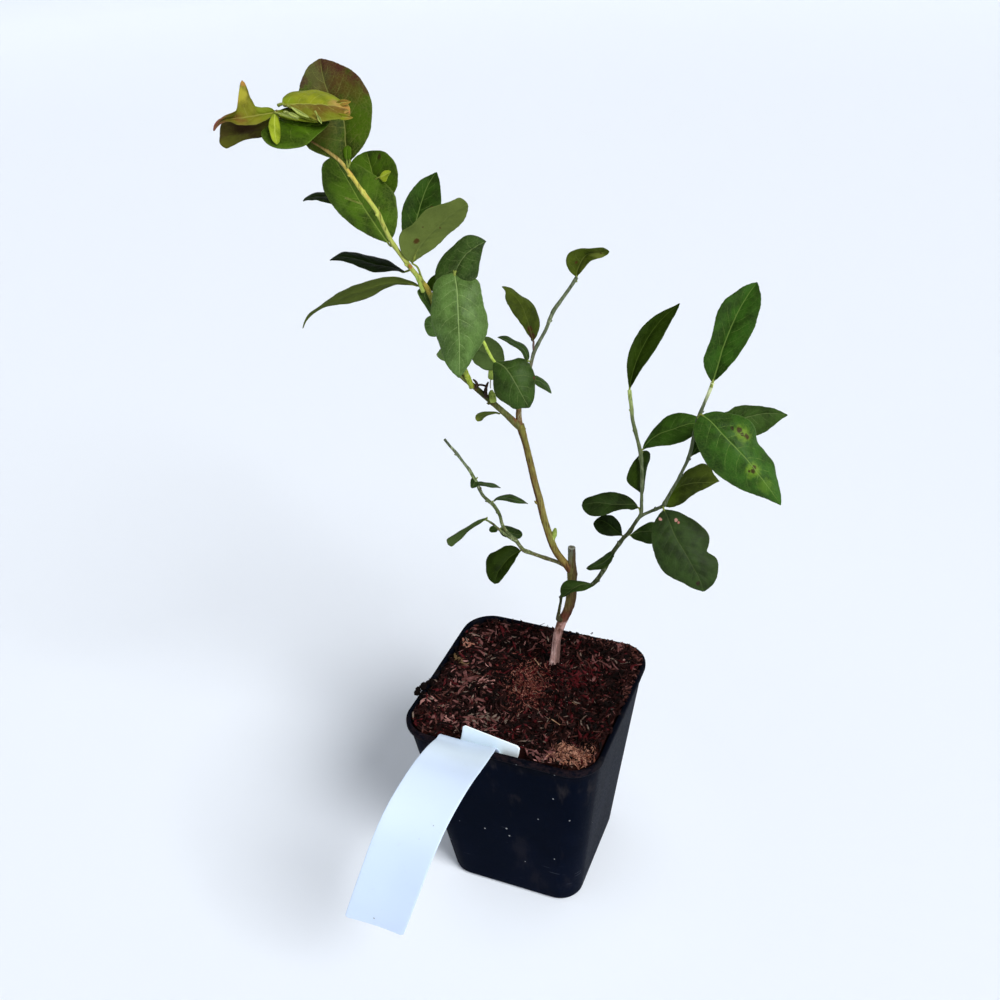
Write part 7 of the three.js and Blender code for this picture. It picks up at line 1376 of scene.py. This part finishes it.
BLACK = plain("crumb_black", (13, 8, 7), 6)
DARK = plain("crumb_dark", (36, 17, 14), 12)
DSHRED = plain("shred_dark", (30, 13, 12), 12)
BROWNS = plain("shred_brown", (72, 40, 34), 20)
MAROONS = plain("shred_maroon", (66, 15, 18), 16)
PINKB = plain("shred_pinkbrown", (98, 60, 57), 22)
PINK = plain("chip_pink", (148, 104, 98), 22)
GREYS = plain("shred_grey", (104, 88, 78), 20)
TANC = plain("flake_tan", (106, 58, 48), 24)
CLUMPC = plain("clump_tan", (112, 70, 56), 30)
TAN2 = plain("flake_pale", (146, 98, 82), 22)
CLUMP2 = plain("clump_pale", (160, 114, 92), 24)
STRAW = plain("fibre_straw", (164, 128, 100), 20)
OLIVES = plain("chip_olive", (96, 76, 52), 14)
REDST = plain("grit_red", (104, 40, 34), 16)
WHITE = plain("speck_white", (214, 204, 198), 14)
PATCH = [(-1.9, 5.3, 8.5, 4.6, math.atan2(0.93, -0.37))]
CLUMP = [(32.0, -34.0, 4.0, 3.0, 0.0)]
LEFT_SIDE = [(-30, -12, 8, 14, 0.0), (-18, -22, 9, 7, 0.0), (-32, 14, 6, 14, 0.0), (-12, -29, 10, 3.5, 0.0), (-8, 36, 14, 4, 0.0), (30, 30, 8, 9, 0.0), (20, -40, 9, 2, 0.0)]
crumbs("soil_crumbs_black", 1500, (0.35, 1.5), BLACK, 101, extra=[(-45.2, -13.5, 99.6), (-44.5, -15.5, 99.4), (-45.9, -16.5, 98.9), (-45.6, -18.5, 98.8), (15.4, 45.0, 99.9), (15.9, 45.0, 100.6)])
crumbs("soil_crumbs_dark", 1500, (0.3, 1.2), DARK, 102)
shreds("soil_shreds_black", 1500, (2.0, 8.0), (0.5, 1.5), BLACK, 110, lift=(-0.2, 1.2), tilt=0.4)
shreds("soil_shreds_dark", 2500, (2.2, 10.0), (0.35, 1.2), DSHRED, 111, lift=(-0.2, 1.3), tilt=0.45)
shreds("soil_shreds_brown", 460, (2.0, 9.0), (0.25, 0.85), BROWNS, 112, lift=(0.0, 1.4), tilt=0.45)
shreds("soil_shreds_maroon", 500, (2.0, 8.0), (0.45, 1.4), MAROONS, 113, lift=(-0.1, 1.2), tilt=0.4)
shreds("soil_shreds_red", 110, (1.8, 6.0), (0.4, 1.2), MAROONS, 114, zones=[(17.7, 15.0, 5.0, 4.0, 0.4)], lift=(0.2, 1.2))
shreds("soil_shreds_pinkbrown", 240, (2.2, 9.5), (0.45, 1.5), PINKB, 115, zones=LEFT_SIDE, lift=(0.2, 1.6), tilt=0.5)
shreds("soil_chips_pink", 84, (1.6, 6.5), (0.35, 1.0), PINK, 116, zones=LEFT_SIDE + [(-41, -22.7, 2.4, 2.0, 0), (-25.9, -29.8, 2.4, 2.0, 0), (-33.2, -9.9, 2.2, 2.0, 0), (-20.7, -0.4, 2.2, 1.8, 0)], lift=(0.4, 1.7), tilt=0.5)
shreds("soil_chips_thin", 120, (1.0, 3.4), (0.25, 0.6), PINKB, 127, lift=(0.4, 1.4), tilt=0.4)
shreds("soil_shreds_grey", 150, (1.8, 8.0), (0.3, 0.8), GREYS, 117, lift=(0.3, 1.4), tilt=0.5)
shreds("soil_shreds_grey_front", 30, (2.4, 6.0), (0.5, 1.0), GREYS, 118, zones=[(-12, -23.6, 3.4, 2.6, 0.3)], lift=(0.5, 1.4))
shreds("soil_chips_tan", 14, (2.0, 5.0), (0.5, 1.3), TAN2, 119, zones=[(-38.5, 19.3, 1.2, 1.0, 0)], lift=(0.6, 1.4))
shreds("soil_chips_olive", 22, (2.6, 6.0), (0.5, 1.2), OLIVES, 120, zones=[(-38, 8.8, 2.2, 2.4, 0)], lift=(0.5, 1.4))
crumbs("soil_grit_red", 16, (0.5, 1.2), REDST, 121, zones=[(-21.6, 14.4, 0.8), (-19.7, 9.6, 0.8)], sink=0.1)
shreds("soil_flakes_tan", 850, (0.6, 3.2), (0.16, 0.5), TANC, 122, zones=PATCH, lift=(0.8, 1.7), tilt=0.5)
shreds("soil_flakes_red", 260, (0.8, 3.2), (0.2, 0.6), MAROONS, 128, zones=PATCH, lift=(1.1, 1.8), tilt=0.5)
shreds("soil_clump_dark", 170, (1.0, 3.6), (0.3, 0.8), DSHRED, 129, zones=CLUMP, lift=(0.6, 1.6), tilt=0.5)
shreds("soil_flakes_pale", 170, (0.6, 2.8), (0.14, 0.36), TAN2, 123, zones=PATCH, lift=(1.2, 1.9), tilt=0.5)
shreds("soil_clump_tan", 1150, (0.8, 3.6), (0.25, 0.7), CLUMPC, 124, zones=CLUMP, lift=(0.1, 1.9), tilt=0.5)
shreds("soil_clump_pale", 330, (0.7, 3.0), (0.2, 0.6), CLUMP2, 125, zones=CLUMP, lift=(1.0, 2.2), tilt=0.5)
shreds("soil_clump_pink", 60, (1.4, 4.6), (0.35, 0.9), PINKB, 130, zones=[(25.0, -34.5, 3.6, 2.6, 0.0), (19.0, -38.0, 3.0, 1.6, 0.0)], lift=(0.4, 1.6), tilt=0.4)
crumbs("soil_specks_white", 46, (0.14, 0.32), WHITE, 126, sink=-1.6)
fibres("soil_fibres_brown", 420, (3, 12), (0.07, 0.18), BROWNS, 106)
fibres("soil_fibres_dark", 500, (2, 9), (0.07, 0.2), DSHRED, 107)
fibres("soil_fibres_straw", 46, (2, 7), (0.06, 0.14), STRAW, 108)
twiglets("soil_straws", [
    ([(-6.2, 23.5, 95.6), (-3.4, 20.6, 96.2), (-0.1, 16.4, 96.2)], [0.22, 0.26, 0.14]),
    ([(13.4, -12.7, 96.4), (17.2, -14.8, 96.9), (20.8, -16.2, 96.6)], [0.2, 0.26, 0.14])], STRAW, "soil", "soil", 6)
RIM_BACK = [(2, 8.0, 31.0), (2, 12.0, 31.0), (3, 0.0, 1.0), (1, 4.0, 31.0), (1, -20.0, 20.0), (2, -30.0, 10.0)]
shreds("soil_rim_dark", 210, (1.4, 4.2), (0.5, 1.4), DSHRED, 140, lift=(-0.1, 0.3), tilt=0.3, runs=RIM_BACK)
shreds("soil_rim_brown", 80, (1.4, 4.2), (0.4, 1.1), BROWNS, 141, lift=(0.0, 0.4), tilt=0.25, runs=[(2, 12.0, 31.0), (3, 0.0, 1.0), (1, 4.0, 31.0)])
shreds("soil_rim_pink", 26, (1.4, 3.6), (0.3, 0.7), PINKB, 142, lift=(0.1, 0.4), tilt=0.25, runs=[(2, 14.0, 31.0), (3, 0.0, 1.0), (1, 10.0, 31.0)])
shreds("soil_rim_left", 60, (1.4, 4.0), (0.4, 1.1), BLACK, 143, lift=(0.0, 0.4), tilt=0.3, runs=[(-1, -26.0, -6.0), (-1, -6.0, 30.0)])
crumbs("soil_clods_rim", 1, (1.2, 1.9), BLACK, 144, sink=0.5, flat=(0.7, 1.0), extra=[(-46.0, -14.5, 99.4), (-46.9, -16.2, 99.3), (-45.2, -17.0, 99.5), (-46.6, -18.6, 98.9), (-47.9, -17.3, 98.5), (-45.0, -12.6, 99.5), (-47.4, -19.6, 98.2), (-45.6, -15.4, 100.3), (-44.6, -10.6, 99.3), (-48.3, -18.6, 97.9), (-44.9, -20.4, 99.2)])

# ---------------------------------------------------------------- label strip
STRIP_W, STRIP_T = 26.5, 0.55
STRIP = [
    (-14.6, -40.6, 107.3, -4.6), (-16.2, -40.5, 99, -3.2), (-19, -39.95, 91.6, -1), (-20.4, -40.15, 90, -0.5),
    (-21.4, -40.95, 90, -0.3), (-22.4, -41.2, 91.6, -0.1), (-24, -42.1, 98.4, 0), (-24.4, -43.1, 100.7, 0),
    (-23, -50.5, 105.6, 0), (-20.4, -62, 113, 0), (-19, -72, 117.6, 0), (-19.2, -80, 118.6, 0), (-20.5, -88, 116.5, 0),
    (-23, -97, 110.5, 0), (-26, -105, 100.5, 0), (-29, -111, 89, 0), (-33.2, -114.6, 75, 0), (-38, -114.5, 61, 0),
]


LABEL_SPECKS = [(-2.0, -98.0, 110.0), (-13.0, -113.6, 84.0), (-24.0, -114.6, 66.0)]


def label_material():
    m = Mat("label_plastic", roughness=0.45, specular=0.2)
    p = m.coord("Object")
    broad = m.noise(p, 30, 2, 0.5)
    col = m.mix(m.smooth(broad, 0.3, 0.7), lin((212, 229, 249)), lin((205, 223, 246)))
    px, py, pz = m.xyz(p)
    # painted light and shade: lighter over the top of the arch and on the tab by the soil, darker out along the strip
    # beyond the pot and in a band from 60 to 112 mm high
    col = m.mix(m.smooth(pz, 0.096, 0.106, 0.0, 0.85), col, lin((226, 242, 255)))
    col = m.mix(m.smooth(py, -0.062, -0.078, 0.0, 0.9), col, lin((204, 220, 243)))
    col = m.mix(m.math("MULTIPLY", m.smooth(pz, 0.060, 0.090), m.smooth(pz, 0.112, 0.098, 0.0, 0.8)), col, lin((194, 211, 236)))
    col = m.mix(m.smooth(py, -0.0424, -0.0418), col, lin((238, 250, 255)))
    for sx, sy, sz in LABEL_SPECKS:
        d = m.node("ShaderNodeVectorMath", {0: p, 1: (sx / 1000, sy / 1000, sz / 1000)}, operation="DISTANCE").outputs["Value"]
        col = m.mix(m.smooth(d, 0.00055, 0.0003, 0.0, 0.75), col, lin((92, 96, 104)))
    grime = m.smooth(m.noise(p, 260, 4, 0.65), 0.60, 0.80)
    col = m.mix(m.math("MULTIPLY", grime, 0.10), col, lin((150, 140, 126)))
    dots = m.math("MULTIPLY", m.smooth(m.voronoi(p, 120, "F1"), 0.075, 0.03), m.smooth(m.noise(p, 61, 1, 0.5), 0.62, 0.68))
    col = m.mix(m.math("MULTIPLY", dots, 0.3), col, lin((60, 48, 38)))
    m.colour(col)
    m.rough(m.linear(m.noise(p, 900, 2, 0.5), 0.3, 0.7, 0.36, 0.48))
    m.normal(m.bump(m.math("ADD", m.noise(p, 60, 2, 0.5), m.math("MULTIPLY", m.noise(p, 1500, 2, 0.5), 0.03)), 0.25, 0.0006))
    return m.m


def build_label():
    S = np.array(STRIP, float)
    n = 150
    Q = spline(S, np.linspace(0, 1, n))
    yz = Q[:, 1:3]
    d = np.gradient(yz, axis=0)
    d = d / np.linalg.norm(d, axis=1)[:, None]
    nn = np.stack([0 * d[:, 0], -d[:, 1], d[:, 0]], -1)
    across = np.array([0, 0.006, 0.02, 0.05, 0.12, 0.25, 0.4, 0.5, 0.6, 0.75, 0.88, 0.95, 0.98, 0.994, 1.0])
    s = np.r_[0, np.cumsum(np.linalg.norm(np.diff(Q[:, :3], axis=0), axis=1))]
    left, right = Q[:, :3].copy(), Q[:, :3].copy()
    right[:, 0] += np.sqrt(STRIP_W**2 - Q[:, 3] ** 2)
    right[:, 2] += Q[:, 3]
    # corners of both ends are slightly rounded
    rc = 0.9
    inset = np.zeros(n)
    for e in (s, s[-1] - s):
        inset = np.maximum(inset, np.where(e < rc, rc - np.sqrt(np.maximum(0, rc**2 - (rc - e) ** 2)), 0))
    C = (left + right) / 2
    w = unit(right - left)
    half = STRIP_W / 2 - inset
    cup = 0.5 * np.sin(np.pi * across)  # the strip bows a little across its width outside the pot
    out = np.clip((s - 26) / 12, 0, 1)
    P = C[:, None] + w[:, None] * ((2 * across - 1)[None] * half[:, None])[..., None] + nn[:, None] * (out[:, None] * cup[None])[..., None]
    P = P + nn[:, None] * (0.25 * out[:, None] * vnoise(np.stack([s[:, None] * 0.05 + 0 * across, 0 * s[:, None] + across * 2, 0 * s[:, None] + 0 * across], -1), 5))[..., None]
    th = np.full(len(across), STRIP_T / 2)
    th[0] = th[-1] = 0.12
    th[1] = th[-2] = 0.22
    up, lo = P + nn[:, None] * th[None, :, None], P - nn[:, None] * th[None, :, None]
    nv = len(across)
    cnt = n * nv
    F = grid_faces(n, nv)
    F2 = [[i + cnt for i in f[::-1]] for f in F]
    rim = []
    for i in range(n - 1):
        p, q = i * nv, (i + 1) * nv
        rim.append([p, q, q + cnt, p + cnt])
        p, q = p + nv - 1, q + nv - 1
        rim.append([p, p + cnt, q + cnt, q])
    for j in range(nv - 1):
        rim.append([j, j + cnt, j + 1 + cnt, j + 1])
        a = (n - 1) * nv + j
        rim.append([a, a + 1, a + 1 + cnt, a + cnt])
    buf = Buf()
    buf.add(np.concatenate([up.reshape(-1, 3), lo.reshape(-1, 3)]), F + F2 + rim)
    ob = buf.make("plant_label", [label_material()])
    fix_faces(ob)
    ob.data.set_sharp_from_angle(angle=math.radians(60))
    return finish_piece(ob, "label", "label")


build_label()


# ---------------------------------------------------------------- studio
def build_studio():
    # floor running up into a backdrop all round, as a wide shallow bowl
    m = Mat("studio_floor", roughness=0.9, specular=0.1)
    p = m.coord("Object")
    px, py, _ = m.xyz(p)
    r = m.math("SQRT", m.math("ADD", m.math("MULTIPLY", px, px), m.math("MULTIPLY", py, py)))
    tint = lambda k: (k, k * 1.055, k * 1.135, 1)
    share = m.node("ShaderNodeAttribute", attribute_name="KeyShare").outputs["Fac"]
    more = m.math("MULTIPLY", m.math("SUBTRACT", share, 1.01, clamp=True), 0.75)
    m.colour(m.mix(more, m.ramp(m.math("DIVIDE", r, 4.4), [(0.015, tint(0.845)), (0.026, tint(0.798)), (0.038, tint(0.782)), (0.102, tint(0.760)), (0.164, tint(0.754)), (0.41, tint(0.732)), (0.68, tint(0.730)), (0.86, tint(0.71))]), (0, 0, 0, 1)))
    # where the backdrop turns from the key light, or stands in its way, the floor gives off what it lacks there
    m.b.inputs["Emission Color"].default_value = (0.94, 0.97, 1.0, 1)
    m.put(m.b.inputs["Emission Strength"], m.math("MULTIPLY", m.math("SUBTRACT", 1.0, share, clamp=True), 0.47))
    prof = [(0, 0), (1.2, 0), (1.7, 0), (2.0, 0), (2.2, 0), (2.4, 0), (2.6, 0), (2.8, 0), (3.0, 0.002), (3.15, 0.005), (3.3, 0.01), (3.45, 0.03), (3.6, 0.057), (3.8, 0.12), (4.0, 0.24), (4.15, 0.4), (4.27, 0.62), (4.35, 0.9), (4.39, 1.2), (4.4, 1.5), (4.4, 1.85), (4.4, 2.2)]
    n = 96
    V = [(0.0, 0.0, -0.0004)]
    for r, z in prof[1:]:
        V += [(r * math.cos(2 * math.pi * i / n), r * math.sin(2 * math.pi * i / n), z - 0.0004) for i in range(n)]
    F = [(0, 1 + i, 1 + (i + 1) % n) for i in range(n)]
    for k in range(len(prof) - 2):
        a = 1 + k * n
        F += [(a + i, a + n + i, a + n + (i + 1) % n, a + (i + 1) % n) for i in range(n)]
    me = bpy.data.meshes.new("studio_floor")
    me.from_pydata(V, [], F)
    me.polygons.foreach_set("use_smooth", np.full(len(me.polygons), True))
    me.materials.append(m.m)
    # share of the key light that reaches each point over the rim of the backdrop, against the middle of the floor
    key = unit(-np.array(KEY_DIR))
    e1 = unit(np.cross(key, [0.0, 0.0, 1.0]))
    e2 = np.cross(key, e1)
    disc = [(math.sqrt((i + 0.5) / 60) * math.tan(KEY_ANGLE / 2), 2.399963 * i) for i in range(60)]
    rays = np.array([unit(key + q * math.cos(w) * e1 + q * math.sin(w) * e2) for q, w in disc])
    pr = np.array(prof, float)
    d = np.gradient(pr, axis=0)
    d[0] = (1, 0)
    P = np.array(V)
    rad = np.hypot(P[:, 0], P[:, 1])
    k = np.r_[0, np.repeat(np.arange(1, len(prof)), n)]
    out = P[:, :2] / np.maximum(rad, 1e-6)[:, None]
    N = unit(np.c_[-out * d[k, 1:2], d[k, :1]])
    top = (2.2 - P[:, 2])[:, None] / rays[None, :, 2]
    clear = np.hypot(P[:, None, 0] + rays[None, :, 0] * top, P[:, None, 1] + rays[None, :, 1] * top) < 4.4
    got = (np.maximum(N @ rays.T, 0) * clear).mean(1) / rays[:, 2].mean()
    att = me.attributes.new("KeyShare", "FLOAT", "POINT")
    att.data.foreach_set("value", got.astype(np.float32))
    floor = bpy.data.objects.new("studio_floor", me)
    bpy.context.scene.collection.objects.link(floor)
    sub = floor.modifiers.new("smooth", "SUBSURF")
    sub.levels = sub.render_levels = 2

    world = bpy.data.worlds.new("studio")
    bpy.context.scene.world = world
    world.use_nodes = True
    bg = world.node_tree.nodes["Background"]
    bg.inputs[0].default_value = (1, 1, 1, 1)
    bg.inputs[1].default_value = SKY

    sun = bpy.data.lights.new("key", "SUN")
    sun.energy, sun.angle, sun.color = KEY, KEY_ANGLE, (1, 1, 1)
    o = bpy.data.objects.new("key", sun)
    o.rotation_euler = Vector(KEY_DIR).to_track_quat("-Z", "Y").to_euler()
    bpy.context.scene.collection.objects.link(o)


SKY, KEY, KEY_ANGLE, KEY_DIR = 0.358, 3.12, 0.50, (-0.66, 0.32, -0.68)
build_studio()

# ---------------------------------------------------------------- camera
cam_data = bpy.data.cameras.new("camera")
cam_data.sensor_fit = "HORIZONTAL"
cam_data.sensor_width = 36.0
cam_data.lens = 36.0 * 1115.563 / 1000
cam_data.clip_start, cam_data.clip_end = 0.01, 30
cam = bpy.data.objects.new("camera", cam_data)
YAW, PITCH, ROLL = -0.409, 0.553, -0.051
fwd = Vector((math.sin(YAW) * math.cos(PITCH), math.cos(YAW) * math.cos(PITCH), -math.sin(PITCH)))
rgt = fwd.cross(Vector((0, 0, 1))).normalized()
upv = rgt.cross(fwd)
c_, s_ = math.cos(ROLL), math.sin(ROLL)
rgt, upv = c_ * rgt + s_ * upv, -s_ * rgt + c_ * upv
rot = Matrix((rgt, upv, -fwd)).transposed()
cam.matrix_world = Matrix.Translation((0.146663, -0.360354, 0.440384)) @ rot.to_4x4()
bpy.context.scene.collection.objects.link(cam)
bpy.context.scene.camera = cam

scene = bpy.context.scene
scene.view_settings.view_transform = "Standard"
scene.view_settings.look = "None"
scene.view_settings.exposure = 0.0
